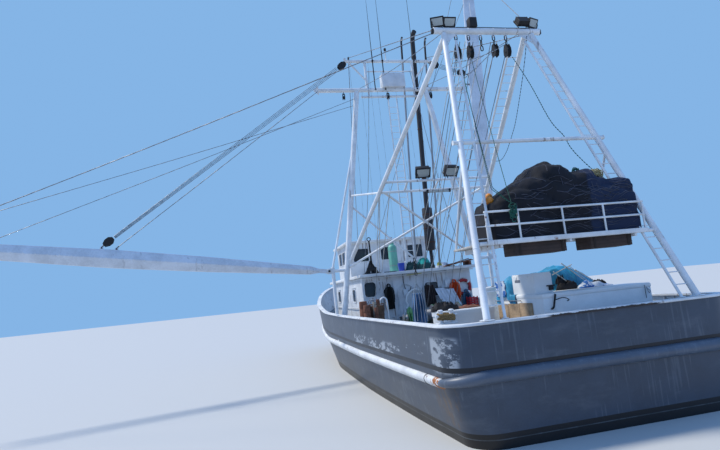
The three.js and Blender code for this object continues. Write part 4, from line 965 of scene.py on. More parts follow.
# Rungs between two stiles, each given as its start and end
def addLadder(bm, stileA, stileB, pitch=0.305, radius=0.026, slot=0, railSides=10):
    a0, a1, b0, b1 = (Vector(p) for p in (*stileA, *stileB))
    for start, end in ((a0, a1), (b0, b1)):
        if radius:
            addPipe(bm, [start, end], radius, railSides, slot)
    length = (a1 - a0).length
    count = int(length / pitch) - 1
    first, last = pitch / length, pitch * count / length
    fromA, toA = a0.lerp(a1, first), a0.lerp(a1, last)
    fromB, toB = b0.lerp(b1, first), b0.lerp(b1, last)
    across = fromB - fromA
    mesh = grow(rowTree, item=rungItem, start=tuple((fromA + fromB) / 2), end=tuple((toA + toB) / 2),
                count=count,
                turn=turnTo(across), firstScale=((fromB - fromA).length, 1, 1),
                lastScale=((toB - toA).length, 1, 1),
                finish=finishes["rigWhite"])
    addMesh(bm, mesh, slot)


# A bead of weld round a bar where it meets another
def addWeld(bm, at, along, radius, slot=0):
    at, along = Vector(at), Vector(along).normalized()
    addTurned(bm, at - along * 0.012, along, [(0, radius), (0.006, radius + 0.008), (0.018, radius + 0.008),
                                              (0.024, radius)], 14, slot)


# Chain of oval links from one point down to another
def linkBuild(bm):
    side, rings = Vector((0, 1, 0)), []
    points = [Vector((a, 0, b + (0.028 if b > 0 else -0.028))) for a, b in circle(0.030, 16)]
    for k, here in enumerate(points):
        along = (points[(k + 1) % 16] - points[k - 1]).normalized()
        rings.append(addRing(bm, here, side, along.cross(side), 0.0115, 6))
    for k in range(16):
        bridge(bm, rings[k], rings[(k + 1) % 16])


linkItem = makeItem("linkItem", linkBuild)


def addChain(bm, top, low, slot=0, size=1.0):
    top, low = Vector(top), Vector(low)
    length = (top - low).length
    count = max(int(length / (0.092 * size)), 2)
    down = (low - top).normalized()
    mesh = grow(rowTree, item=linkItem, start=tuple(top + down * 0.046 * size),
                end=tuple(low - down * 0.046 * size),
                count=count,
                turn=turnTo(down, "Z"), twist=(0, 0, math.pi / 2), firstScale=(size,) * 3,
                lastScale=(size,) * 3,
                finish=finishes["ironBlack"])
    addMesh(bm, mesh, slot)

# Stern gantry: two raked legs with ladders, joined by a top beam, a bar and the platform's beam
gantry = {
    "foot": (2.53, -12.4, 2.4406),
    "top": (1.33, -9.45, 10.24),
    "legRadius": 0.075,
    "stileRadius": 0.032,
    "ladderIn": (0.40, 0.33),  # from leg to inner stile, at the foot and at the top
    "beamRadius": 0.09,
    "beamHalf": 1.62,
    "crossShare": 0.533,
    "crossRadius": 0.05,
    "crossOver": 0.19,
    "strutRadius": 0.08,
    "strutTop": (1.21, -9.45, 10.24),
    "strutFoot": (4.6, 0.13),  # height on the leg, and how far inboard of it
    "midShares": (0.555, 0.605),
    "strutLadder": {"inward": 0.40, "from": 0.05, "to": 0.535, "radius": 0.032},
    "braceFootZ": 4.33,
    "midLamps": 0.56,
}


def gantryAt(share, sign=1, inward=0.0):
    foot, top = Vector(gantry["foot"]), Vector(gantry["top"])
    point = foot.lerp(top, share)
    return Vector((sign * (point.x - inward), point.y, point.z))


mainFrame = {
    "legHalf": 3.45,
    "topHalf": 1.66,
    "footY": -0.5,
    "yardZ": 12.45,
    "legRadius": 0.12,
    "yardRadius": 0.095,
    "deckZ": 1.38,
    "post": (3.6, -0.4, 4.45),
    "upperYardZ": 13.85,
}


def legAt(z, sign=1):
    share = (z - mainFrame["deckZ"]) / (mainFrame["yardZ"] - mainFrame["deckZ"])
    return Vector((sign * (mainFrame["legHalf"] + share * (mainFrame["topHalf"] - mainFrame["legHalf"])),
                   mainFrame["footY"] * (1 - share), z))


def strutAt(share, sign=1):
    height, inboard = gantry["strutFoot"]
    top, foot = Vector(gantry["strutTop"]), legAt(height) - Vector((inboard, 0, 0))
    return mirrored(top.lerp(foot, share), sign)


def makeGantryLegs(data):
    for side, sign in bothSides:
        bm = bmesh.new()
        foot = gantryAt(0.001, sign)
        inner = [gantryAt(share, sign, inward) for share, inward in zip((0.001, 0.955), data["ladderIn"])]
        addPipe(bm, [foot, gantryAt(0.985, sign)], data["legRadius"], 20)
        addPipe(bm, inner, data["stileRadius"], 12)
        addLadder(bm, (foot, gantryAt(0.955, sign)), inner, radius=0)
        for point, radius in ((foot, 0.15), (inner[0], 0.07)):
            addTurned(bm, point, (0, 0, 1), [(0, radius), (0.014, radius), (0.016, radius - 0.01)], 20)
        for share in (data["crossShare"], 0.19):
            addWeld(bm, gantryAt(share, sign), gantryAt(1, sign) - gantryAt(0, sign), data["legRadius"])
        # knee plate under the top beam
        corners = ((1, -0.05, -0.06), (1, -0.42, -0.07), (0.955, -0.03, -0.10))
        addPlate(bm, [gantryAt(share, sign) + Vector((sign * x, 0, z)) for share, x, z in corners], 0.014)
        finishPiece("gantryLeg" + side.capitalize(), bm, ["rigWhite"], ["gantry_leg_" + side])


def makeGantryBeams(data):
    bm = bmesh.new()
    top = Vector(data["top"])
    half = data["beamHalf"]
    addPipe(bm, [(-half, top.y, top.z), (half, top.y, top.z)], data["beamRadius"], 24)
    for x in (-half, half):
        addDisc(bm, (x - 0.006, top.y, top.z), (1, 0, 0), 0.098, 0.012, 24)
    for x in (-1.33, 1.33, -0.98, -0.6, -0.23, 0.17, 0.55):
        addWeld(bm, (x, top.y, top.z), (1, 0, 0), data["beamRadius"])
    # padeyes, chains and towing blocks under the beam
    for x, length, block in ((-0.98, 0.42, 1), (-0.6, 0.38, 1), (-0.23, 0.48, 0), (0.17, 0.33, 1),
                             (0.55, 0.33, 1)):
        eye = top.z - data["beamRadius"]
        addPlate(bm, [(x - 0.05, top.y, eye + 0.02), (x + 0.05, top.y, eye + 0.02),
                      (x + 0.03, top.y, eye - 0.09),
                      (x - 0.03, top.y, eye - 0.09)], 0.02, 0)
        addChain(bm, (x, top.y, eye - 0.05), (x, top.y, eye - length), 1, 1.25)
        if block:
            addTowBlock(bm, Vector((x, top.y, eye - length - 0.16)), 1)
    # flood lamps on the beam's ends and a dark box between them
    for x, aim in ((-1.48, (-0.3, -0.8, -0.4)), (-1.12, (0.0, -0.8, -0.5)), (1.48, (0.3, -0.8, -0.4)),
                   (1.13, (0.0, 0.7, -0.5))):
        addFloodLamp(bm, Vector((x, top.y, top.z + 0.1)), Vector(aim), 1)
    addBlock(bm, (-0.55, top.y - 0.11, top.z + 0.1), (-0.32, top.y + 0.11, top.z + 0.38), 1, bevel=0.015)
    addPipe(bm, [(-0.43, top.y, top.z + 0.38), (-0.43, top.y, top.z + 0.85)], 0.012, 8, 0)
    # cables taped along the beam
    addPipe(bm, [(-1.5, top.y - 0.03, top.z + 0.1), (-1.1, top.y - 0.05, top.z + 0.085),
                 (-0.3, top.y - 0.04, top.z + 0.1),
                 (0.6, top.y - 0.05, top.z + 0.085), (1.35, top.y - 0.03, top.z + 0.1)], 0.011, 6, 1)
    finishPiece("gantryTopBeam", bm, ["rigWhite", "ironBlack", "lampGlass"], ["gantry_top_beam"])
    bm = bmesh.new()
    end = gantryAt(data["crossShare"])
    reach = end.x + data["crossOver"]
    addPipe(bm, [(-reach, end.y, end.z), (reach, end.y, end.z)], data["crossRadius"], 16)
    for x in (-reach, reach):
        addDisc(bm, (x - 0.006, end.y, end.z), (1, 0, 0), 0.062, 0.012, 16)
    finishPiece("gantryCrossbar", bm, ["railWhite"], ["gantry_crossbar"])


def scaled(profile, size):
    return [(a * size, b * size) for a, b in profile]


# A towing block: two cheeks with a sheave between them, on a shackle
def addTowBlock(bm, at, slot=0, size=1.0):
    spot = lambda x, y, z: at + Vector((x, y, z)) * size
    cheek = ((-0.05, 0.19), (0.05, 0.19), (0.12, 0.04), (0.125, -0.08), (0.07, -0.18), (-0.07, -0.18),
             (-0.125, -0.08),
             (-0.12, 0.04))
    for side in (-1, 1):
        addPlate(bm, [spot(side * 0.052, y, z) for y, z in cheek[::side]], 0.014 * size, slot)
    sheave = scaled([(0, 0.115), (0.022, 0.085), (0.05, 0.085), (0.072, 0.115)], size)
    addTurned(bm, spot(-0.036, 0, -0.05), (1, 0, 0), sheave, 20, slot)
    for half, z, radius, sides in ((0.075, -0.05, 0.02, 10), (0.06, 0.15, 0.014, 8)):
        addPipe(bm, [spot(-half, 0, z), spot(half, 0, z)], radius * size, sides, slot)
    addTurned(bm, spot(0, 0, 0.13), (0, 0, 1), scaled([(0, 0.03), (0.05, 0.03), (0.07, 0.018)], size), 10,
              slot)


def addFloodLamp(bm, at, aim, slot=0, size=1.0):
    aim = aim.normalized()
    turn = aim.to_track_quat("-Y", "Z").to_matrix().to_4x4()
    place = Matrix.Translation(at + Vector((0, 0, 0.17 * size))) @ turn
    for low, high in (((-0.17, 0.0, -0.12), (0.17, 0.13, 0.12)),
                      ((-0.19, -0.03, -0.14), (0.19, 0.005, 0.14))):
        addBlock(bm, [v * size for v in low], [v * size for v in high], slot, place, 0.012)
    addBlock(bm, [v * size for v in (-0.15, -0.036, -0.10)], [v * size for v in (0.15, -0.028, 0.10)],
             slot + 1,
             place)
    for side in (-1, 1):
        addPipe(bm, [at + Vector((side * 0.1, 0, -0.02)) * size, at + Vector((side * 0.15, 0, 0.1)) * size,
                     at + Vector((side * 0.15, 0, 0.18)) * size], 0.012 * size, 8, slot)


def makeStruts(data):
    ladder = data["strutLadder"]
    for side, sign in bothSides:
        bm = bmesh.new()
        start, end = strutAt(0, sign), strutAt(1, sign)
        along = (end - start).normalized()
        addPipe(bm, [start + along * 0.1, end - along * 0.06], data["strutRadius"], 18)
        for share in (0.02, *data["midShares"], 0.975):
            addWeld(bm, strutAt(share, sign), along, data["strutRadius"])
        if sign > 0:
            shares = (ladder["from"], ladder["to"])
            inward = Vector((-ladder["inward"], 0, 0))
            addPipe(bm, [strutAt(share) + inward for share in shares], ladder["radius"], 12)
            addLadder(bm, [strutAt(share) for share in shares], [strutAt(share) + inward for share in shares],
                      radius=0)
        finishPiece("gantryStrut" + side.capitalize(), bm, ["rigWhite"], ["gantry_strut_" + side])
    bm = bmesh.new()
    upper, lower = (strutAt(share) for share in data["midShares"])
    for point in (upper, lower):
        addPipe(bm, [(-point.x + 0.085, point.y, point.z), (point.x - 0.085, point.y, point.z)], 0.045, 14)
    for x in (-1.2, 0, 1.2):
        addPipe(bm, [(x, upper.y, upper.z - 0.03), (x, lower.y, lower.z + 0.03)], 0.035, 10)
    for sign in (-1, 1):
        top, foot = Vector((sign * (lower.x - 0.17), lower.y, lower.z)), legAt(data["braceFootZ"], -sign)
        along = (foot - top).normalized()
        addPipe(bm, [top, foot - along * 0.13], 0.045, 14)
        addWeld(bm, foot - along * 0.15, along, 0.045)
        addFloodLamp(bm, Vector((sign * data["midLamps"], upper.y, upper.z + 0.04)),
                     Vector((0.1 * sign, -0.7, -0.6)),
                     1, 1.5)
    # a crossing plate where the two braces meet
    middle = (Vector((lower.x - 0.17, lower.y, lower.z)) * 0.6 + legAt(data["braceFootZ"]) * 0.4)
    addDisc(bm, (0, middle.y, middle.z - 0.055), (0, 0.1, 1), 0.06, 0.11, 14)
    # a long lamp tube under the lower bar
    addPipe(bm, [(-0.3, lower.y - 0.05, lower.z - 0.09), (0.55, lower.y - 0.05, lower.z - 0.09)], 0.035, 12,
            2)
    for x in (-0.32, 0.57):
        addBlock(bm, (x - 0.03, lower.y - 0.1, lower.z - 0.13), (x + 0.03, lower.y, lower.z), 1, bevel=0.006)
    finishPiece("strutCrossBars", bm, ["rigWhite", "ironBlack", "lampGlass"], ["strut_cross_bars"])


makeFinish("lampGlass", (0.42, 0.46, 0.44), 0.15, tone=0.2)
makeGantryLegs(gantry)
makeGantryBeams(gantry)
makeStruts(gantry)
print("stern gantry")

# Net platform between the gantry's legs, with its rail, the boxes slung under it and the nets on it
platform = {
    "half": 2.02,
    "aftY": -11.874,
    "foreY": -9.9,
    "topZ": 4.08,
    "railHeights": (0.33, 0.64),
    "postsX": (-1.99, -1.21, -0.11, 0.95, 1.99),
    "railRadius": 0.024,
    "plankWidth": 0.19,
}


def makePlatform(data):
    bm = bmesh.new()
    half, aft, fore, top = data["half"], data["aftY"], data["foreY"], data["topZ"]
    share = (top - 0.05 - gantry["foot"][2]) / (gantry["top"][2] - gantry["foot"][2])
    end = gantryAt(share)
    addPipe(bm, [(-end.x + 0.08, end.y, end.z), (end.x - 0.08, end.y, end.z)], 0.045, 16)
    y = aft
    while y < fore - 0.02:
        addBlock(bm, (-half, y + 0.004, top - 0.05), (half, min(y + data["plankWidth"], fore) - 0.004, top),
                 1,
                 bevel=0.006)
        y += data["plankWidth"]
    addBlock(bm, (-half - 0.01, aft - 0.012, top - 0.09), (half + 0.01, aft, top + 0.012), bevel=0.004)
    for x in (-1.7, 0, 1.7):
        addBlock(bm, (x - 0.03, aft + 0.02, top - 0.16), (x + 0.03, fore, top - 0.052), bevel=0.006)
    for height in data["railHeights"]:
        addPipe(bm, [(-half, aft + 0.03, top + height), (half, aft + 0.03, top + height)], data["railRadius"],
                12)
    for x in data["postsX"]:
        addPipe(bm, [(x, aft + 0.03, top - 0.03), (x, aft + 0.03, top + data["railHeights"][-1])],
                data["railRadius"] * 0.95, 12)
        addWeld(bm, (x, aft + 0.03, top + 0.012), (0, 0, 1), data["railRadius"])
    for sign in (-1, 1):
        addPipe(bm, [(sign * (half - 0.04), fore - 0.06, top - 0.03), gantryAt(0.48, sign)], 0.03, 12)
    finishPiece("netPlatform", bm, ["railWhite", "paleBoard"], ["net_platform"])
    for side, x0, x1 in (("Port", -1.32, -0.06), ("Starboard", 0.57, 1.66)):
        bm = bmesh.new()
        low, high = Vector((x0, aft + 0.13, top - 0.35)), Vector((x1, aft + 0.70, top - 0.0605))
        addBlock(bm, low, high, bevel=0.01)
        for z in (low.z + 0.085, low.z + 0.17):
            addBlock(bm, (x0 - 0.003, low.y - 0.004, z - 0.003), (x1 + 0.003, high.y + 0.003, z + 0.003), 1)
        for x in (x0 + 0.1, x1 - 0.1):
            addBlock(bm, (x - 0.03, low.y - 0.012, low.z - 0.01), (x + 0.03, low.y, high.z), 1, bevel=0.003)
        finishPiece("platformBox" + side, bm, ["brownBoard", "darkBoard"], ["platform_box_" + side.lower()])


# The nets: stations along the boat's width, each with its reach aft and forward and its top
netPile = {
    "stations": (
        (-1.86, -11.55, -10.75, 4.53), (-1.66, -11.74, -10.45, 5.00), (-1.30, -11.78, -10.25, 5.20),
        (-0.95, -11.79, -10.15, 5.40), (-0.55, -11.79, -10.10, 5.58), (-0.30, -11.79, -10.05, 5.80),
        (-0.06, -11.79, -10.05, 5.94), (0.22, -11.79, -10.05, 5.88), (0.52, -11.79, -10.10, 5.62),
        (0.98, -11.79, -10.15, 5.70), (1.22, -11.79, -10.20, 5.48), (1.50, -11.79, -10.30, 5.40),
        (1.78, -11.79, -10.70, 5.42), (1.93, -11.79, -11.10, 5.34), (1.985, -11.74, -11.30, 5.12)),
    "floorZ": 4.0805,
    "folds": 0.085,
    "seed": 4,
    "aftLimit": -11.80,
    "strands": 90,
    "topStrands": 34,
}


def netSection(station, steps=44):
    x, aft, fore, top = station
    middle, half = (aft + fore) / 2, (fore - aft) / 2
    ring = []
    for k in range(steps):
        angle = math.pi * (k / (steps - 1))
        c, s = math.cos(angle), math.sin(angle)
        y = middle - half * math.copysign(abs(c) ** 0.42, c)
        z = netPile["floorZ"] + (top - netPile["floorZ"]) * s ** (0.55 if c > 0 else 0.75)
        ring.append(Vector((x, y, z)))
    return ring


def pileHeightMix(a, b, share):
    eased = share * share * (3 - 2 * share)
    return [a[0] + (b[0] - a[0]) * share] + [a[i] + (b[i] - a[i]) * eased for i in (1, 2, 3)]


def makeNetPile(data):
    bm = bmesh.new()
    stations, rows = data["stations"], []
    for a, b in zip(stations, stations[1:]):
        steps = max(int((b[0] - a[0]) / 0.03), 2)
        rows += [netSection(pileHeightMix(a, b, k / steps)) for k in range(steps)]
    grid = []
    for row in (*rows, netSection(stations[-1])):
        ring = []
        for k, p in enumerate(row):
            inside = math.sin(math.pi * k / (len(row) - 1))
            # long rolls of netting that lie across the platform, with small folds over them
            warp = noise.noise(Vector((p.x * 0.8, p.y * 0.9, data["seed"]))) * 2.2
            roll = abs(math.sin(p.z * 6.5 + warp * 1.6 + p.x * 0.8))
            fold = noise.noise(Vector((p.x * 3.1, p.y * 3.1, p.z * 7.5)))
            fold += 0.5 * noise.noise(Vector((p.x * 8, p.y * 8, p.z * 15)))
            deep = (1 - roll) ** 2 * 0.9 - fold * 0.45
            lean = Vector((0, p.y + 10.95, (p.z - 4.5) * 0.9)).normalized()
            q = p - lean * (deep * data["folds"] * min(inside * 4, 1))
            ring.append((q.x, max(q.y, data["aftLimit"]), max(q.z, data["floorZ"])))
        grid.append(addPoints(bm, ring))
    for a, b in zip(grid, grid[1:]):
        for k in range(len(a) - 1):
            bm.faces.new((a[k], b[k], b[k + 1], a[k + 1])).smooth = True
        bm.faces.new((a[-1], b[-1], b[0], a[0]))
    for ring in (grid[0], grid[-1]):
        bm.faces.new(ring)
    bmesh.ops.recalc_face_normals(bm, faces=bm.faces)
    # strands of twine that follow the rolls, each a short line on the surface
    tree = BVHTree.FromBMesh(bm)
    rng = random.Random(data["seed"])
    lines = []

    def lay(spots, toward, lowest):
        line = []
        for spot in spots:
            at, normal = tree.ray_cast(Vector(spot), Vector(toward))[:2]
            if at is None or at.z < lowest:
                break
            line.append(at + normal * 0.004)
        if len(line) > 4:
            lines.append(line)

    def wander(x, y, heading):
        for k in range(rng.randint(8, 20)):
            px, py = x + k * 0.05 * math.cos(heading), y + k * 0.05 * math.sin(heading)
            heading += rng.uniform(-0.25, 0.25)
            yield px, py, 7

    for _ in range(data["strands"]):
        x, z = rng.uniform(-1.8, 1.9), rng.uniform(4.15, 5.8)
        slope, wave = rng.uniform(-0.25, 0.25), rng.uniform(0, 6)
        lay(((x + k * 0.045, -13, z + slope * k * 0.045 + 0.05 * math.sin(k * 0.4 + wave))
             for k in range(rng.randint(9, 26))), (0, 1, 0), 4.1)
    for _ in range(data["topStrands"]):
        lay(wander(rng.uniform(-1.7, 1.8), rng.uniform(-11.5, -10.4), rng.uniform(0, 6.28)), (0, 0, -1), 4.2)
    path = makePath("netStrandPath", lines)
    mesh = grow(ropeTree, path=path, radius=0.007, strands=1, turnsPerMetre=0.0, step=0.05, sides=4,
                finish=finishes["paleTwine"])
    bpy.data.objects.remove(path)
    addMesh(bm, mesh, 1)
    finishPiece("netPile", bm, ["netDark", "paleTwine"], ["net_pile"], sharp=0, recalc=False)
    return tree


def makePath(name, lines):
    curve = bpy.data.curves.new(name, "CURVE")
    curve.dimensions = "3D"
    for line in lines:
        spline = curve.splines.new("POLY")
        spline.points.add(len(line) - 1)
        for point, p in zip(spline.points, line):
            point.co = (*p, 1)
    path = bpy.data.objects.new(name, curve)
    scene.collection.objects.link(path)
    return path


# Smooth points through a few given ones
def smoothLine(points, steps=8):
    points = [Vector(p) for p in points]
    line = []
    for i in range(len(points) - 1):
        a, b = points[i], points[i + 1]
        before = points[i - 1] if i else a - (b - a)
        after = points[i + 2] if i + 2 < len(points) else b + (b - a)
        for k in range(steps):
            t = k / steps
            line.append(0.5 * ((2 * a) + (b - before) * t + (2 * before - 5 * a + 4 * b - after) * t * t
                               + (3 * a - before - 3 * b + after) * t * t * t))
    return line + [points[-1]]


# A line from end to end that dips in its middle
def sagged(a, b, sag, steps):
    return smoothLine([a, a.lerp(b, 0.5) + Vector((0, 0, -sag)), b], steps)


def addBent(bm, points, steps, radius, sides=14, slot=0):
    addPipe(bm, smoothLine(points, steps), radius, sides, slot)


def hangingLine(a, b, sag, steps=24):
    a, b = Vector(a), Vector(b)
    return [a.lerp(b, k / steps) - Vector((0, 0, sag * 4 * (k / steps) * (1 - k / steps)))
            for k in range(steps + 1)]


def addRope(bm, lines, radius, slot=0, strands=3, turns=7.0, step=0.04, sides=5):
    path = makePath("ropePath", lines)
    mesh = grow(ropeTree, path=path, radius=radius, strands=strands, turnsPerMetre=turns, step=step,
                sides=sides,
                finish=finishes["rigWhite"])
    bpy.data.objects.remove(path)
    addMesh(bm, mesh, slot)


# Floats, a bundle of pale line and knots of green rope that lie on the nets
def makeNetClutter(tree):
    bm = bmesh.new()
    rng = random.Random(9)
    top = lambda x, y: tree.ray_cast(Vector((x, y, 8)), Vector((0, 0, -1)))[0]
    lean = Vector((0.9, 0.2, 0.3))
    for x, y, radius in ((-1.60, -11.35, 0.10), (-1.42, -11.0, 0.08)):
        centre = top(x, y) + Vector((0, 0, radius * 0.75))
        addTurned(bm, centre, lean, [(-radius * c, max(radius * s, 0.012)) for c, s in halfCircle(12)], 18)
        addPipe(bm, [centre + lean.normalized() * radius * reach for reach in (0.9, 1.2)], 0.016, 8)
    bundles = []
    for _ in range(26):
        x, y = 1.24 + rng.uniform(-0.05, 0.05), -11.35 + rng.uniform(-0.05, 0.05)
        seat = top(x, y) + Vector((0, 0, 0.07))
        turn = rng.uniform(0, 6.28)
        wide, tall, lift = rng.uniform(0.08, 0.2), rng.uniform(0.05, 0.13), rng.uniform(-0.02, 0.05)
        bundles.append([seat + Vector((wide * math.cos(turn + a), wide * 0.5 * math.sin(turn + a),
                                       lift + tall * math.sin(a * 1.5)))
                                       for a in (k * 0.35 for k in range(18))])
    addRope(bm, bundles, 0.011, 1, step=0.03)
    green = []
    for x0, y0, spread, count in ((-1.36, -11.74, 0.10, 16), (0.86, -11.3, 0.12, 12)):
        onRail = x0 < 0
        seat = Vector((x0, -11.93, 4.80)) if onRail else top(x0, y0 + 0.08) + Vector((0, 0, 0.02))
        for _ in range(count):
            turn, size = rng.uniform(0, 6.28), rng.uniform(0.5, 1.0) * spread
            drop = rng.uniform(0, 0.30 if onRail else 0.08)
            green.append([seat + Vector((size * math.cos(turn + a), 0.25 * size * math.sin(turn * 2 + a),
                                         size * math.sin(a) - drop)) for a in (k * 0.4 for k in range(15))])
    addRope(bm, green, 0.010, 2, step=0.03)
    # fall ropes from the gantry's blocks down to the knots
    knot = Vector((-1.36, -11.90, 4.86))
    for start, end in (((-0.98, -9.45, 9.45), (-1.62, -11.62, 5.30)),
                       ((-0.60, -9.45, 9.45), (-1.30, -11.66, 5.34)),
                       ((-0.98, -9.5, 9.4), (-1.66, -11.64, 5.26))):
        addRope(bm, [hangingLine(start, end, 0.06) + [knot]], 0.012, 2, step=0.06)
    finishPiece("netClutter", bm, ["floatOrange", "creamLine", "greenRope"], (), sharp=40,
                recalc=False)


makeFinish("paleBoard", (0.52, 0.50, 0.45), 0.75, tone=0.35, grain=40)
makeFinish("darkBoard", (0.03, 0.02, 0.015), 0.8, tone=0.3)
makeFinish("paleTwine", (0.075, 0.08, 0.11), 0.7, tone=0.5)
makeFinish("floatOrange", (0.85, 0.30, 0.03), 0.45, tone=0.3)
makeFinish("creamLine", (0.62, 0.55, 0.30), 0.8, tone=0.4)
makeFinish("greenRope", (0.02, 0.16, 0.11), 0.7, tone=0.4)
makePlatform(platform)
makeNetClutter(makeNetPile(netPile))
print("net platform and nets")

# Main frame: two legs that lean together under the yards, with the heel brackets that carry the outriggers
outrigger = {
    "hinge": (3.8, -0.44, 4.27),
    "sweepAft": 9.5,
    "raise": {"port": 7.7, "starboard": 88.0},
    "table": ((0.38, 0.15, 0.096), (0.80, 0.34, 0.22), (4.9, 0.58, 0.34), (8.4, 0.67, 0.38),
              (12.1, 0.54, 0.32),
              (14.6, 0.34, 0.22)),
    "lugs": (8.2, 8.7),
    "pegPitch": 0.37,
    "pegLength": 0.075,
    "pinRadius": 0.035,
}


# Heel of an outrigger, and the spar turned up from it
def hingePlace(side):
    sign = -1 if side == "port" else 1
    x, y, z = outrigger["hinge"]
    yaw = math.radians(-outrigger["sweepAft"] if sign > 0 else 180 + outrigger["sweepAft"])
    return Matrix.Translation((sign * x, y, z)) @ Matrix.Rotation(yaw, 4, "Z")


def sparPlace(side):
    return hingePlace(side) @ Matrix.Rotation(-math.radians(outrigger["raise"][side]), 4, "Y")


def onSpar(side, along, up=0.0, across=0.0):
    return sparPlace(side) @ Vector((along, across, up))


def makeMainFrame(data):
    for side, sign in bothSides:
        bm = bmesh.new()
        addPipe(bm, [legAt(1.36, sign), legAt(12.35, sign)], data["legRadius"], 26)
        px, py, pz = data["post"]
        addPipe(bm, [(sign * px, py, 2.43), (sign * px, py, pz)], 0.075, 20)
        addPipe(bm, [legAt(4.27, sign), Vector((sign * px, py, 4.27))], 0.07, 18)
        addPipe(bm, [Vector((sign * px, py, pz - 0.04)), legAt(10.0, sign)], 0.045, 14)
        foot = legAt(1.383, sign)
        addTurned(bm, foot, (0, 0, 1), [(0, 0.24), (0.022, 0.24), (0.024, 0.22)], 28)
        for turn in range(4):
            lean = Matrix.Rotation(math.pi / 2 * turn + 0.78, 3, "Z")
            addPlate(bm, [foot + lean @ Vector((0.10, 0, 0.02)), foot + lean @ Vector((0.22, 0, 0.02)),
                          foot + lean @ Vector((0.10, 0, 0.2))], 0.014)
        for z in (4.6, 7.0, 10.0):
            addWeld(bm, legAt(z, sign), legAt(12, sign) - legAt(2, sign), data["legRadius"])
        # step irons up the leg's outer side
        z = 3.2
        while z < 11.8:
            at = legAt(z, sign)
            addPipe(bm, [at + Vector((0, -0.10, 0)), at + Vector((0, -0.21, 0.0)),
                         at + Vector((0, -0.22, 0.03))],
                    0.011, 6)
            z += 0.42
        # heel bracket: two lugs and the hinge pin
        yaw = hingePlace(side)
        for y in (-0.07, 0.07):
            corners = [(-0.19, -0.11), (0, -0.11), (0.08, -0.075), (0.11, 0), (0.08, 0.075), (0, 0.11),
                       (-0.19, 0.11)]
            addPlate(bm, [yaw @ Vector((x, y, z)) for x, z in corners], 0.03)
        axis = yaw.to_3x3() @ Vector((0, 1, 0))
        addTurned(bm, yaw @ Vector((0, -0.135, 0)), axis,
                  [(0, 0.045), (0.03, 0.045), (0.032, 0.035), (0.238, 0.035),
                                                           (0.24, 0.045), (0.27, 0.045)], 24, 1)
        reach = (strutAt(gantry["midShares"][1], sign) - legAt(7.5, sign))
        addPipe(bm, [legAt(7.5, sign), legAt(7.5, sign) + reach * (1 - 0.08 / reach.length)], 0.04, 12)
        if side == "port":
            addPipe(bm, [legAt(7.05, -1), Vector((0.58, -0.42, 3.985))], 0.045, 12)
        finishPiece("mainFrameLeg" + side.capitalize(), bm, ["rigWhite", "ironBlack"],
                    ["main_frame_leg_" + side])


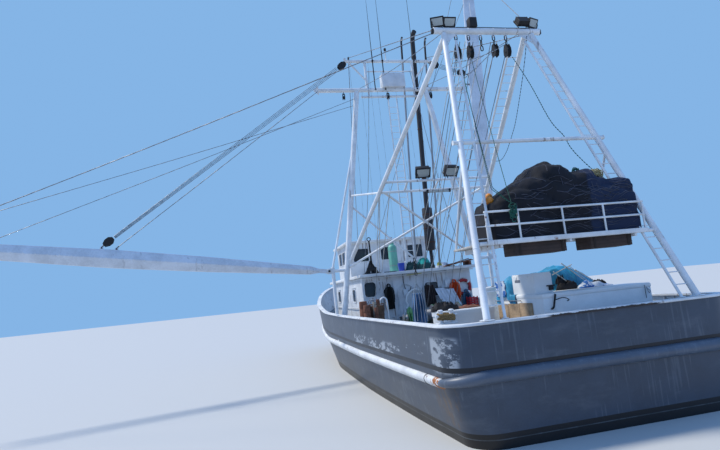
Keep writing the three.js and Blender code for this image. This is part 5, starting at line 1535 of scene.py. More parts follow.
def makeYards(data):
    bm = bmesh.new()
    z, r = data["yardZ"], data["yardRadius"]
    top = data["upperYardZ"]
    addPipe(bm, [(-3.45, 0, z), (3.45, 0, z)], r, 22)
    addPipe(bm, [(-1.48, 0, z - 0.33), (1.48, 0, z - 0.33)], 0.055, 16)
    addPipe(bm, [(-2.08, 0, top), (2.08, 0, top)], 0.07, 18)
    for x in (-1.15, 1.15):
        addPipe(bm, [(x, 0, z), (x, 0, top)], 0.06, 16)
        addWeld(bm, (x, 0, top - 0.075), (0, 0, 1), 0.06)
        addWeld(bm, (x, 0, z + 0.1), (0, 0, 1), 0.06)
        addPipe(bm, [(1.7 * x, 0, top), (x, 0, 12.9)], 0.04, 12)
    for x in (-1.1, 1.1):
        addPipe(bm, [(x, 0, z), (x, 0, z - 0.33)], 0.04, 12)
    for x in (-3.45, 3.45):
        addDisc(bm, (x - 0.006, 0, z), (1, 0, 0), r + 0.008, 0.012, 20)
        sign = math.copysign(1, x)
        addPlate(bm, [(x - sign * 0.02, 0, z + 0.2), (x - sign * 0.02, 0, z - 0.2),
                      (x + sign * 0.2, 0, z - 0.02),
                      (x + sign * 0.2, 0, z + 0.05)], 0.02)
    for x in (-2.08, 2.08):
        addDisc(bm, (x - 0.006, 0, top), (1, 0, 0), 0.078, 0.012, 18)
        addPlate(bm, [(x - 0.06, 0, top + 0.16), (x + 0.06, 0, top + 0.16), (x + 0.05, 0, top - 0.15),
                      (x - 0.05, 0, top - 0.15)], 0.02)
    addPipe(bm, [(-1.15, 0, 13.35), (1.15, 0, 13.35)], 0.03, 10)
    # lamp and radar box between the yards, on a small stand
    addBlock(bm, (-0.45, -0.25, z + 0.06), (0.65, 0.25, 13.2), 1, bevel=0.04)
    for x in (-2.3, -0.2, 1.9):
        addTowBlock(bm, Vector((x, -0.02, z - r - 0.22)), 2, 0.8)
        addPipe(bm, [(x, 0, z), (x, -0.02, z - r - 0.08)], 0.014, 8, 2)
    # whip aerials in their clamps
    for x, tip in ((-0.78, 16.9), (-0.30, 17.3), (1.25, 18.2)):
        addPipe(bm, [(x, -0.06, z), (x, -0.06, z + 1.9)], 0.024, 10, 2)
        addPipe(bm, [(x, -0.06, z + 1.9), (x, -0.06, tip)], [0.016, 0.006], 8, 2)
        for height in (z, top):
            addBlock(bm, (x - 0.04, -0.11, height - 0.035), (x + 0.04, -0.01, height + 0.035), 2, bevel=0.008)
    addPipe(bm, [(-0.1, 0, top), (-0.1, 0, top + 0.5)], 0.022, 10, 0)
    addTurned(bm, (-0.1, 0, top + 0.5), (0, 0, 1), [(0, 0.03), (0.02, 0.055), (0.12, 0.06), (0.15, 0.04),
                                                    (0.16, 0.01)], 16, 2)
    finishPiece("mainFrameYards", bm, ["railWhite", "houseWhite", "ironBlack"], ["main_frame_yards"])
    bm = bmesh.new()
    addLadder(bm, ((-0.2, 0, 3.975), (-0.2, 0, z - 0.39)), ((0.2, 0, 3.975), (0.2, 0, z - 0.39)), 0.305,
              0.025)
    for x in (-0.2, 0.2):
        addBlock(bm, (x - 0.06, -0.06, 3.972), (x + 0.06, 0.06, 3.99), bevel=0.004)
    finishPiece("mastLadder", bm, ["rigWhite"], ["mast_ladder"])


def sparSection(along, depth, width):
    corners = ((-0.2, 0.5), (-0.5, 0), (-0.2, -0.5), (0.2, -0.5), (0.5, 0), (0.2, 0.5))
    ring = [Vector((along, y * width, z * depth)) for y, z in corners]
    # each corner is eased by two points, so its edge catches the light
    eased = []
    for k, p in enumerate(ring):
        before, after = ring[k - 1], ring[(k + 1) % 6]
        eased += [p.lerp(before, 0.05), p.lerp(p.lerp(before, 0.5).lerp(p.lerp(after, 0.5), 0.5), 0.04),
                  p.lerp(after, 0.05)]
    return eased


pegItem = makeItem("pegItem", lambda bm: addPipe(bm, [(0, 0, 0), (1, 0, 0)], 0.011, 6))


def makeSpar(data, side):
    bm = bmesh.new()
    place = sparPlace(side)
    spot = lambda x, y, z: place @ Vector((x, y, z))
    aside = place.to_3x3() @ Vector((0, 1, 0))
    # straight lengths between the measured stations, cut into shorter ones
    stations, curve = [Vector(row) for row in data["table"]], []
    for a, b in zip(stations, stations[1:]):
        count = max(int((b.x - a.x) / 0.6), 1)
        curve += [a.lerp(b, k / count) for k in range(count)]
    loft(bm, [addPoints(bm, [place @ p for p in sparSection(*row)]) for row in (*curve, stations[-1])], 0,
         False)
    # welded joints along the spar
    for along in (2.7, 6.6, 10.3, 13.0):
        size = next(a.lerp(b, (along - a.x) / (b.x - a.x)) for a,
                    b in zip(stations, stations[1:]) if a.x <= along <= b.x)
        outer = [addPoints(bm, [place @ p for p in sparSection(along + shift, size.y * wider,
                                                               size.z * wider)])
                 for shift, wider in ((-0.02, 1.0), (-0.006, 1.02), (0.006, 1.02), (0.02, 1.0))]
        for a, b in zip(outer, outer[1:]):
            bridge(bm, a, b)
    # neck and eye of the heel, bored for the hinge pin
    faces = [[addPoints(bm, [spot(x, y, z) for x, z in circle(radius, 32)])
              for radius in (data["pinRadius"] + 0.0004,
            0.095)]
             for y in (-0.048, 0.048)]
    for inner, outer in faces:
        bridge(bm, inner, outer, 0, False)
    for one, other in zip(*faces):
        bridge(bm, one, other)
    addBlock(bm, (0.088, -0.046, -0.075), (0.40, 0.046, 0.075), 0, place, 0.008)
    for along in data["lugs"]:
        corners = ((-0.06, 0.28), (0.06, 0.28), (0.055, 0.40), (0.03, 0.42), (-0.03, 0.42), (-0.055, 0.40))
        addPlate(bm, [spot(along + x, 0, z) for x, z in corners], 0.04)
        addDisc(bm, spot(along, -0.028, 0.375), aside, 0.03, 0.056, 14, 2)
    # climbing pegs along both sides
    for across in (-1, 1):
        for a, b in zip(stations[1:], stations[2:]):
            length = b.x - a.x
            count = int(length / data["pegPitch"])
            last = (count - 1) * data["pegPitch"]
            start = spot(a.x + 0.1, across * a.z * 0.5, 0)
            end = spot(a.x + 0.1 + last, across * (a.z + (b.z - a.z) * last / length) * 0.5, 0)
            size = (data["pegLength"], 1, 1)
            addMesh(bm, grow(rowTree, item=pegItem, start=tuple(start), end=tuple(end), count=count,
                             firstScale=size,
                             lastScale=size, turn=turnTo(place.to_3x3() @ Vector((0, across, 0.25))),
                             finish=finishes["rigWhite"]), 1)
    # tip: sheave plates
    for y in (-0.05, 0.05):
        addPlate(bm, [spot(x, y, z) for x, z in ((14.50, 0.12), (14.60, 0.10), (14.60, -0.10),
                                                 (14.50, -0.12))],
                 0.016)
    finishPiece("outrigger" + side.capitalize(), bm, ["sparMetal", "rigWhite", "ironBlack"],
                ["outrigger_" + side],
                body="outrigger_" + side + "_spar")


def makeExhausts():
    bm = bmesh.new()
    y = 0.33
    addPipe(bm, [(1.12, y, 3.975), (1.12, y, 4.88)], 0.08, 24)
    addTurned(bm, (1.12, y, 3.972), (0, 0, 1), [(0, 0.17), (0.02, 0.17), (0.03, 0.12), (0.20, 0.10)], 24)
    lean = Vector((0.045, 0, 2.0))
    addTurned(bm, (1.12, y, 4.83), lean, [(0, 0.09), (0.03, 0.215), (0.06, 0.235), (1.94, 0.235),
                                          (1.98, 0.215),
                                          (2.01, 0.1)], 30)
    for along in (0.35, 1.0, 1.65):
        addTurned(bm, Vector((1.12, y, 4.83)) + lean * (along / 2), lean,
                  [(0, 0.237), (0.015, 0.242), (0.045, 0.242), (0.06, 0.237)], 30, 1)
    addPipe(bm, [(1.165, y, 6.8), (1.45, y, 15.05), (1.455, y - 0.06, 15.24), (1.475, y - 0.18, 15.36),
                 (1.495, y - 0.28, 15.40)], 0.11, 22)
    for z in (8.2, 10.6, 12.45, 14.2):
        x = 1.165 + 0.285 * (z - 6.8) / 8.4
        addTurned(bm, (x, y, z - 0.03), (0.034, 0, 1),
                  [(0, 0.112), (0.006, 0.119), (0.054, 0.119), (0.06, 0.112)],
                  22, 1)
    finishPiece("exhaustStack", bm, ["stackBlack", "stackRust"], ["exhaust_stack"])
    for side, low, high, shift in (("Inboard", 0.33, 0.88, 0), ("Outboard", 1.48, 2.10, 0.06)):
        bm = bmesh.new()
        at = lambda z: Vector((low + (high - low) * (z - 3.94) / 11.25, y + shift, z))
        addPipe(bm, [at(3.975), at(14.95), at(15.08) + Vector((0.01, -0.03, 0)),
                     at(15.17) + Vector((0.015, -0.12, 0))], 0.045, 16)
        addPipe(bm, [at(14.1), at(14.96), at(15.09) + Vector((0.01, -0.03, 0)),
                     at(15.18) + Vector((0.015, -0.13, 0))], 0.0475, 16, 1)
        addTurned(bm, at(3.973), (0, 0, 1), [(0, 0.09), (0.012, 0.09), (0.02, 0.06), (0.06, 0.05)], 18)
        finishPiece("exhaustPipe" + side, bm, ["bareSteel", "stackBlack"], ["exhaust_pipe_" + side.lower()])


makeFinish("sparMetal", (0.68, 0.72, 0.76), 0.30, 0.12, rust=0.03, tone=0.14, grain=14, depth=0.3, bump=0.003,
           streaks=0.3,
                                   streakColour=(0.42, 0.44, 0.46))
makeFinish("stackBlack", (0.022, 0.022, 0.026), 0.62, rust=0.16, rustScale=3, streaks=0.4,
           streakColour=(0.10, 0.05, 0.03))
makeFinish("stackRust", (0.07, 0.032, 0.02), 0.85, tone=0.4)
makeMainFrame(mainFrame)
makeYards(mainFrame)
for side in outrigger["raise"]:
    makeSpar(outrigger, side)
makeExhausts()
print("main frame and outriggers")

# Standing and running rigging: wires from the frame to the outriggers run between the two bodies
rigging = {
    "wireRadius": 0.016,
    "tackleSpread": 0.075,
    "wireTurns": 5.0,
    "stayFoot": (0, 11.4, 2.81),
    "stayJoin": (1.90, 0, 14.02),
    "stayAft": (1.655, -9.45, 10.26),
    # x at the bar between the struts and at the roof's after edge, then x and height of its end on the wall
    "falls": (
        (-2.20, -1.877, -1.95, 3.03), (-2.17, -1.746, None, None), (-1.784, -1.650, None, None),
        (0.252, 0.909, None, None),
        (1.128, 1.557, None, None), (1.486, 1.873, None, None),
    ),
    "eaveLines": ((0.46, 0.47, 3.06), (0.98, 1.02, 3.09)),  # x at the eave, x and height on the wall
    "roofEdge": (-1.019, 3.975),
    "wallY": -0.672,
    "purchase": ((-1.27, 9.21), (-0.59, 9.35), (0.0, 9.56), (0.37, 9.75)),
    # white line between the beam's blocks
    "slackWire": ((1.17, -9.55, 10.06), (1.17, -9.3, 9.52), (1.27, -8.8, 8.99), (1.61, -7.6, 8.23),
                  (1.74, -7.0, 7.9),
                  (1.87, -6.3, 7.57),
                  (2.01, -5.6, 7.45), (2.12, -4.95, 7.56)),
    "greenFall": ((0.59, -9.6, 9.39), (0.79, -9.95, 8.43), (0.92, -10.4, 7.25), (1.11, -10.6, 6.75),
                  (1.18, -10.75, 6.34), (1.48, -10.9, 5.83), (1.80, -11.0, 5.47)),
    "bundle": (  # x and y at the beam, x at the roof's edge
        (-0.98, -9.42, -0.25), (-0.85, -9.40, 0.25), (-0.70, -9.42, 0.20), (-0.45, -9.40, 0.95),
        (-0.20, -9.42, 0.60),
        (0.10, -9.40, 1.25), (0.28, -9.42, 0.55),
    ),
}


def wirePiece(name, lines, radius, finish="wireGrey", bodies=("vessel",), ends=None, extras=None,
              materials=("ironBlack",), strands=3, step=0.35):
    bm = bmesh.new()
    addRope(bm, lines, radius, 0, strands=strands, turns=rigging["wireTurns"], step=step, sides=4)
    if extras:
        extras(bm)
    made = finishPiece(name, bm, [finish, *materials], (), sharp=0, recalc=False,
                       body=bodies[0] if len(bodies) == 1 else None)
    if len(bodies) > 1:
        tuple(ends[0])
        tuple(ends[1])
        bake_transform(made)
    return made


def addWireBlock(bm, at, toward, size, slot):
    along = (Vector(toward) - Vector(at)).normalized()
    turn = along.to_track_quat("Z", "Y").to_matrix().to_4x4()
    place = Matrix.Translation(at) @ turn
    for side in (-1, 1):
        corners = [(0.05, -0.05), (0.10, 0.05), (0.10, 0.16), (0.04, 0.24), (-0.04, 0.24), (-0.10, 0.16),
                   (-0.10, 0.05), (-0.05, -0.05)]
        addPlate(bm, [place @ (Vector((side * 0.045, y, z)) * size) for y, z in corners], 0.012 * size, slot)
    addTurned(bm, place @ (Vector((-0.038, 0, 0.10)) * size), place.to_3x3() @ Vector((1, 0, 0)),
              [(0, 0.10 * size), (0.02 * size, 0.075 * size), (0.056 * size, 0.075 * size),
               (0.076 * size, 0.10 * size)], 18, slot)
    addPipe(bm, [place @ (Vector((0, 0, -0.12)) * size), place @ (Vector((0, 0, 0.06)) * size)], 0.016 * size,
            8,
            slot)


def makeRigging(data):
    radius = data["wireRadius"]
    for side, sign in bothSides:
        body = "outrigger_" + side + "_spar"

        def swung(name, lines, size, *ends):
            wirePiece(name, lines, size, bodies=("vessel", body), ends=ends)

        lug, second = onSpar(side, outrigger["lugs"][0], 0.41), onSpar(side, outrigger["lugs"][1], 0.41)
        upper = Vector((sign * 2.14, 0, 13.72))
        # topping lift: four parts between the block at the spar and the one at the upper yard
        along = (upper - second).normalized()
        across = along.cross(Vector((0, 1, 0))).normalized()
        lines = []
        for k in range(4):
            shift = across * ((k - 1.5) * data["tackleSpread"] * (0.5 if side == "port" else 0.6))
            lines.append([second + along * 0.55 + shift * 0.8, second.lerp(upper, 0.5) + shift * 1.3,
                          upper - along * 0.45 + shift * 1.6])
        swung("toppingLift" + side.capitalize(), [smoothLine(line, 12) for line in lines], 0.013,
              upper - along * 0.4, second + along * 0.5)
        for name, at, toward, size, pins, rides in (
                ("liftBlockYard", upper, second, 1.5, [(Vector((sign * 2.08, 0, 13.72)),
                                                        upper - along * 0.1)],
                 "vessel"),
                ("liftBlockSpar", second + along * 0.16, upper, 1.4,
                 [(point - along * 0.04, point + along * reach) for point,
                  reach in ((second, 0.12), (lug, 0.1))],
                 body)):
            bm = bmesh.new()
            addWireBlock(bm, at, toward, size, 0)
            for pin in pins:
                addPipe(bm, pin, 0.02, 8)
            finishPiece(name + side.capitalize(), bm, ["ironBlack"], (), sharp=30, body=rides)
        # the wire that holds the spar from the lower yard
        yardEnd = Vector((sign * 3.5, 0, 12.40))
        middle = lug.lerp(yardEnd, 0.5) - Vector((0, 0, 0.02))
        swung("spanWire" + side.capitalize(), [smoothLine([lug + along * 0.1, middle, yardEnd], 14)], radius,
              yardEnd, lug + along * 0.1)
        # guys from the spar's tip to the stern gantry and to the bow
        tip = onSpar(side, 14.52, 0.1)
        gantryEnd = Vector((sign * 1.58, -9.45, 10.20))
        swung("tipStay" + side.capitalize(), [sagged(tip, gantryEnd, 0.05, 20)], radius, gantryEnd, tip)
        for n, (y, z) in enumerate(((-0.05, 12.05), (0.05, 11.75))):
            high = legAt(z, sign) + Vector((0, y, 0))
            low = onSpar(side, 14.5 if n else 12.4, 0.26 if n else 0.2)
            swung("yardStay" + side.capitalize() + str(n + 1), [sagged(low, high, 0.04, 18)], radius * 0.8,
                  high, low)
    # main stays: from the foredeck up to the upper yard and down to the ends of the gantry's beam
    bm = bmesh.new()
    foot, lines = Vector(data["stayFoot"]), []
    for sign in (-1, 1):
        join, aft = mirrored(Vector(data["stayJoin"]), sign), mirrored(Vector(data["stayAft"]), sign)
        lines += [[foot + Vector((sign * 0.03, 0, 0)), join], [join, aft]]
        for at, half in ((join, 0.05), (aft, 0.055)):
            addBlock(bm, at + Vector((-0.03, -half, -0.10)), at + Vector((0.03, half, 0.035)), 1, bevel=0.01)
        # a turnbuckle at the foot of each wire
        along = (join - foot).normalized()
        addTurned(bm, foot + along * 0.35 + Vector((sign * 0.03, 0, 0)), along,
                  [(0, 0.016), (0.02, 0.034), (0.12, 0.03), (0.32, 0.03), (0.42, 0.034), (0.44, 0.016)], 12,
                  1)
    addRope(bm, lines, radius, 0, turns=data["wireTurns"], step=0.25, sides=4)
    addPipe(bm, [foot - Vector((0, 0, 0.24)), foot], [0.045, 0.03], 16, 1)
    addPlate(bm, [foot + Vector((0, y, z)) for y, z in ((-0.17, 0.18), (0.03, 0.18), (0.05, -0.03),
                                                        (-0.05, -0.05))],
             0.05, 1)
    finishPiece("mainStays", bm, ["wireGrey", "ironBlack"], ["main_stays"], sharp=30, recalc=False)
    lines = []
    for sign in (-1, 1):
        lines.append(smoothLine([(sign * 1.2, -9.42, 10.30), Vector((sign * 1.35, -4.7, 11.3)),
                                 (sign * 1.5, -0.04, 12.52)], 16))
        lines.append(smoothLine([(sign * 1.0, -0.04, 13.35), Vector((sign * 1.6, -0.3, 8.4)),
                                 (sign * 2.3, -0.55, 4.0)], 16))
    wirePiece("stays", lines, radius * 0.8)
    # running wires from the winch up to the gantry's blocks
    lines = []
    for x, z, drum, side in ((-0.98, 9.55, -0.7, -1), (-0.60, 9.6, -0.45, -1), (0.17, 9.65, 0.45, 1),
                             (0.55, 9.65, 0.7, 1)):
        lines.append(smoothLine([(x, -9.35, z), Vector((x * 0.9 + drum * 0.1, -5.9, (z + 2.45) / 2)),
                                 (drum, -2.68, 2.26)], 20))
    wirePiece("towWires", lines, radius * 0.8)
    # thin halyards that hang from the yards to the house top
    rng = random.Random(12)
    lines = []
    for k in range(9):
        x = -1.9 + 0.42 * k + rng.uniform(-0.1, 0.1)
        lines.append(smoothLine([(x, -0.12, 12.35 if k % 2 else 13.78),
                                 Vector((x * 1.05, -0.35 - 0.03 * k, 8)),
                                 (x * 1.2 + 0.1, -0.55, 3.976)], 12))
    wirePiece("halyards", lines, 0.006, step=0.5)
    # ropes that fall in front of the after wall, and the bundle between the gantry's beam and the house
    edgeY, edgeZ = data["roofEdge"]
    bar, falls = strutAt(gantry["midShares"][1]), []
    for x0, x1, x2, z2 in data["falls"]:
        line = [Vector((x0, bar.y, bar.z - 0.04)), Vector((x1, edgeY, edgeZ))]
        if x2 is None:
            line.append(Vector((x1, edgeY + 0.12, edgeZ + 0.012)))
        else:
            line += [Vector((x1, edgeY, edgeZ - 0.15)), Vector((x2, data["wallY"], z2))]
        falls.append(line)
    falls += [[Vector((x0, -0.9, 3.846)), Vector((x1, data["wallY"], z1))] for x0, x1,
              z1 in data["eaveLines"]]
    wirePiece("falls", falls, 0.017, "fallRope", step=0.2)
    lines = [smoothLine([(x0, y0, 9.95), Vector((x0 * 0.5 + x1 * 0.5, (y0 + edgeY) / 2,
                                                 (9.95 + edgeZ) / 2 - 0.22)),
                         (x1, edgeY + 0.06, edgeZ + 0.01)], 10)
             for x0, y0, x1 in data["bundle"]]
    wirePiece("bundlePale", lines[::2], 0.012, "fallRope", step=0.25)
    wirePiece("bundleDark", lines[1::2], 0.012, step=0.25)
    strap = [Vector((x, -9.6, z)) for x, z in data["purchase"]]
    wirePiece("purchaseLine", [smoothLine(strap, 8), [strap[2], Vector((-0.5, -9.6, 9.13)),
                                                      Vector((-0.9, -9.55, 8.82)),
                                                      Vector((-1.45, -9.45, 8.39))]],
                                                      0.017, "chestWhite", step=0.1)
    wirePiece("slackWire", [smoothLine(data["slackWire"], 6)], 0.014, "ironBlack", step=0.12)
    # the green rope from a towing block to the pile, slack in its middle
    bm = bmesh.new()
    addRope(bm, [smoothLine(data["greenFall"], 8)], 0.016, 0, step=0.08)
    finishPiece("greenFall", bm, ["greenRope"], (), sharp=0, recalc=False)


makeFinish("fallRope", (0.66, 0.67, 0.64), 0.8, tone=0.3)
makeFinish("wireGrey", (0.23, 0.24, 0.26), 0.5, 0.5, rust=0.15, rustScale=6, tone=0.2)
makeRigging(rigging)
print("rigging")


# Flat panels with openings: outline and holes are given in the panel's own plane
def roundedOutline(u0, v0, u1, v1, radius, steps=5):
    ring = []
    for cu, cv, start in ((u1 - radius, v1 - radius, 0), (u0 + radius, v1 - radius, 1),
                          (u0 + radius, v0 + radius, 2),
                          (u1 - radius, v0 + radius, 3)):
        for k in range(steps + 1):
            angle = math.pi / 2 * (start + k / steps)
            ring.append((cu + radius * math.cos(angle), cv + radius * math.sin(angle)))
    return ring


def facePlace(origin, along, up, outward):
    return Matrix((*zip(along, up, outward, origin), (0, 0, 0, 1)))


def flatAt(z):
    return facePlace((0, 0, z), (1, 0, 0), (0, 1, 0), (0, 0, 1))


def aftFace(y):
    return facePlace((0, y, 0), (1, 0, 0), (0, 0, 1), (0, -1, 0))


def addPanel(bm, place, outline, holes, back, front=0.0, slot=0):
    rings = [[bm.verts.new((u, v, front)) for u, v in ring] for ring in [outline] + list(holes)]
    edges = [bm.edges.new((ring[k - 1], ring[k])) for ring in rings for k in range(len(ring))]
    filled = bmesh.ops.triangle_fill(bm, use_beauty=True, use_dissolve=False, edges=edges)
    faces = [g for g in filled["geom"] if isinstance(g, bmesh.types.BMFace)]
    behind = {v: bm.verts.new((v.co.x, v.co.y, back)) for ring in rings for v in ring}
    faces += [bm.faces.new([behind[v] for v in reversed(face.verts)]) for face in list(faces)]
    for ring in rings:
        for k in range(len(ring)):
            faces.append(bm.faces.new((ring[k - 1], ring[k], behind[ring[k]], behind[ring[k - 1]])))
    for face in faces:
        face.material_index = slot
    for v in [v for ring in rings for v in ring] + list(behind.values()):
        v.co = place @ v.co


# A raised frame round an opening, and its pane set in behind
def addFrame(bm, place, u0, v0, u1, v1, radius, width=0.045, proud=0.022, slot=0, paneSlot=None,
             paneBack=0.03):
    outer = roundedOutline(u0 - width, v0 - width, u1 + width, v1 + width, radius + width)
    inner = roundedOutline(u0 + 0.004, v0 + 0.004, u1 - 0.004, v1 - 0.004, radius)
    addPanel(bm, place, outer, [inner], -0.012, proud, slot)
    if paneSlot is not None:
        addPanel(bm, place, roundedOutline(u0 - 0.01, v0 - 0.01, u1 + 0.01, v1 + 0.01, radius), [],
                 -paneBack - 0.006,
                 -paneBack, paneSlot)


# Upright welded seams on a wall that lies across the boat
def addSeams(bm, xs, y0, y1, low, high):
    for x in xs:
        addBlock(bm, (x - 0.012, y0, low), (x + 0.012, y1, high), bevel=0.003)


deckhouse = {
    "half": 2.45,
    "aftY": -0.65,
    "foreY": 7.3,
    "topZ": 3.85,
    "roofTopZ": 3.97,
    "wall": 0.06,
    "aftWindows": ((-2.38, 3.02, -1.88, 3.64, 0.14), (0.30, 2.80, 0.90, 3.40, 0.10)),
    "door": (-1.75, 1.63, -1.13, 3.60, 0.13),
    "sideWindows": (0.9, 2.9, 4.9),
    "sideWindow": (0.7, 2.85, 3.40, 0.10),
    "roofOver": {"side": 0.15, "aft": 0.35, "fore": 0.06},
}


def makeDeckhouse(data):
    half, aft, fore, top, wall = (data[k] for k in ("half", "aftY", "foreY", "topZ", "wall"))
    # after wall with its door way and two windows
    bm = bmesh.new()
    place = aftFace(aft)
    base = heightNear(deckLine, aft) + gap
    holes = [roundedOutline(*hole) for hole in (*data["aftWindows"], data["door"])]
    addPanel(bm, place, [(-half, base), (half, base), (half, top), (-half, top)], holes, -wall)
    for window in data["aftWindows"]:
        addFrame(bm, place, *window, paneSlot=1)
    # the door's frame stands back from the hinges, to let the leaf swing past it
    u0, v0, u1, v1 = data["door"][:4]
    addPanel(bm, place, roundedOutline(u0 - 0.07, v0 - 0.065, u1 + 0.05, v1 + 0.065, 0.10),
             [roundedOutline(u0 - 0.028, v0 - 0.02, u1 + 0.002, v1 + 0.02, 0.05)], -0.012, 0.03)
    # welded seams and stiffeners
    addSeams(bm, (-0.55, 1.55), aft - 0.006, aft, base, top)
    addBlock(bm, (-half, aft - 0.02, base), (half, aft, base + 0.09), bevel=0.008)
    # grab rails beside the door, conduits and two junction boxes
    for x in (-1.92, -0.98):
        addBent(bm, [(x, aft, 2.2), (x, aft - 0.075, 2.26), (x, aft - 0.075, 3.0), (x, aft, 3.06)], 5, 0.014,
                8)
    addPipe(bm, smoothLine([(-0.92, aft - 0.03, 1.9), (-0.92, aft - 0.03, 3.0), (-0.86, aft - 0.035, 3.28),
                            (-0.6, aft - 0.04, 3.42), (-0.3, aft - 0.035, 3.28),
                            (-0.24, aft - 0.03, 2.9), (-0.24, aft - 0.03, 1.8)], 7), 0.022, 10)
    for x, z, w, h in ((-0.72, 2.9, 0.22, 0.3), (1.2, 3.1, 0.26, 0.34), (1.22, 2.35, 0.3, 0.42)):
        addBlock(bm, (x, aft - 0.11, z), (x + w, aft, z + h), bevel=0.012)
    for x in (-0.61, 1.33):
        addPipe(bm, [(x, aft - 0.03, 3.2 if x < 0 else 3.44), (x, aft - 0.03, 3.82)], 0.013, 8)
    finishPiece("deckhouseAftWall", bm, ["houseWhite", "darkGlass"], ["deckhouse_aft_wall"])
    # side walls
    for side, sign in bothSides:
        bm = bmesh.new()
        place = facePlace((sign * half, 0, 0), (0, 1, 0), (0, 0, 1), (sign, 0, 0))
        y0, y1 = aft + wall + gap, fore - wall - gap
        foot = [(y0 + (y1 - y0) * k / 14, heightNear(deckLine, y0 + (y1 - y0) * k / 14) + gap)
                for k in range(15)]
        width, low, high, radius = data["sideWindow"]
        holes = [roundedOutline(y, low, y + width, high, radius) for y in data["sideWindows"]]
        addPanel(bm, place, foot + [(y1, top), (y0, top)], holes, -wall)
        for y in data["sideWindows"]:
            addFrame(bm, place, y, low, y + width, high, radius, paneSlot=1)
            # a small brow over each window
            addBlock(bm, (sign * half, y - 0.06, high + 0.07),
                     (sign * (half + 0.05), y + width + 0.06, high + 0.085),
                     bevel=0.004)
        for y in (2.25, 4.25, 6.25):
            addBlock(bm, (sign * half, y - 0.012, heightNear(deckLine, y)),
                     (sign * (half + 0.006), y + 0.012, top),
                     bevel=0.003)
        # handrail along the side
        rail = [(sign * half, -0.3, 2.55), (sign * (half + 0.07), -0.26, 2.58),
                (sign * (half + 0.07), 6.6, 2.62),
                (sign * half, 6.64, 2.59)]
        addPipe(bm, rail, 0.016, 8)
        for y in (1.1, 2.6, 4.1, 5.6):
            addPipe(bm, [(sign * half, y, 2.575), (sign * (half + 0.07), y, 2.6)], 0.009, 6)
        addPipe(bm, [(sign * (half + 0.012), -0.2, 3.74), (sign * (half + 0.012), 7.0, 3.74)], 0.012, 6)
        finishPiece("deckhouseWall" + side.capitalize(), bm, ["houseWhite", "darkGlass"],
                    ["deckhouse_" + side + "_wall"])
    bm = bmesh.new()
    place = facePlace((0, fore, 0), (1, 0, 0), (0, 0, 1), (0, 1, 0))
    base = heightNear(deckLine, fore) + gap
    addPanel(bm, place, [(-half, base), (half, base), (half, top), (-half, top)], [], -wall)
    addSeams(bm, (-1.6, -0.8, 0, 0.8, 1.6), fore, fore + 0.006, base, top)
    addPipe(bm, [(-2.2, fore + 0.055, 3.1), (2.2, fore + 0.055, 3.1)], 0.016, 8)
    for x in (-2.1, -0.7, 0.7, 2.1):
        addPipe(bm, [(x, fore, 3.08), (x, fore + 0.055, 3.1)], 0.009, 6)
    finishPiece("deckhouseFrontWall", bm, ["houseWhite"], ["deckhouse_front_wall"])
    # roof with a rounded edge and a low lip that sheds water
    over = data["roofOver"]
    bm = bmesh.new()
    low = Vector((-half - over["side"], aft - over["aft"], top + gap))
    high = Vector((half + over["side"], fore + over["fore"], data["roofTopZ"]))
    addBlock(bm, low, high, bevel=0.028)
    edge = 0.02
    for x in (low.x, high.x):
        addPipe(bm, [(x - math.copysign(edge, x), low.y + edge, high.z - 0.004),
                     (x - math.copysign(edge, x), high.y - edge, high.z - 0.004)], 0.016, 8)
    addPipe(bm, [(low.x + edge, low.y + edge, high.z - 0.004), (high.x - edge, low.y + edge, high.z - 0.004)],
            0.016,
            8)
    # carlings under the overhang aft
    for x in (-2.2, -1.5, -0.8, -0.1, 0.6, 1.3, 2.0):
        addBlock(bm, (x - 0.02, low.y + 0.05, low.z - 0.05), (x + 0.02, aft - 0.002, low.z + 0.01),
                 bevel=0.006)
    addPipe(bm, [(-2.5, low.y + 0.10, low.z - 0.055), (2.5, low.y + 0.10, low.z - 0.055)], 0.018, 8)
    finishPiece("deckhouseRoof", bm, ["roofWhite"], ["deckhouse_roof"])


def makeDoors(data):
    # after door: a steel leaf with pressed edges, a round light and two levers
    u0, v0, u1, v1, radius = data["door"]
    bm = bmesh.new()
    place = aftFace(data["aftY"])
    light, ring = (circle(size, 24, -1.44, 3.18) for size in (0.13, 0.16))
    addPanel(bm, place, roundedOutline(u0 + 0.006, v0 + 0.008, u1 - 0.008, v1 - 0.008, radius - 0.01),
             [light], -0.04,
             -0.002)
    addPanel(bm, place, ring, [light], -0.004, 0.012)
    addPanel(bm, place, light, [], -0.026, -0.02, 1)
    for z in (2.05, 2.95):
        addPipe(bm, [place @ Vector((-1.20, z, 0.0)), place @ Vector((-1.20, z, 0.045)),
                     place @ Vector((-1.33, z + 0.05, 0.05))], 0.011, 8, 2)
    for z in (1.9, 2.6, 3.3):
        addDisc(bm, place @ Vector((-1.737, z - 0.05, 0.004)), (0, 0, 1), 0.011, 0.1, 10, 2)
    addPanel(bm, place, roundedOutline(-1.66, 1.75, -1.22, 2.85, 0.08),
             [roundedOutline(-1.63, 1.78, -1.25, 2.82, 0.06)], -0.004, 0.004)
    finishPiece("deckhouseAftDoor", bm, ["houseWhite", "darkGlass", "bareSteel"], ["deckhouse_aft_door"],
                body="deckhouse_door_leaf")


def addWindow(bm, place, *opening):
    addFrame(bm, place, *opening, width=0.035, proud=0.016, paneSlot=1)


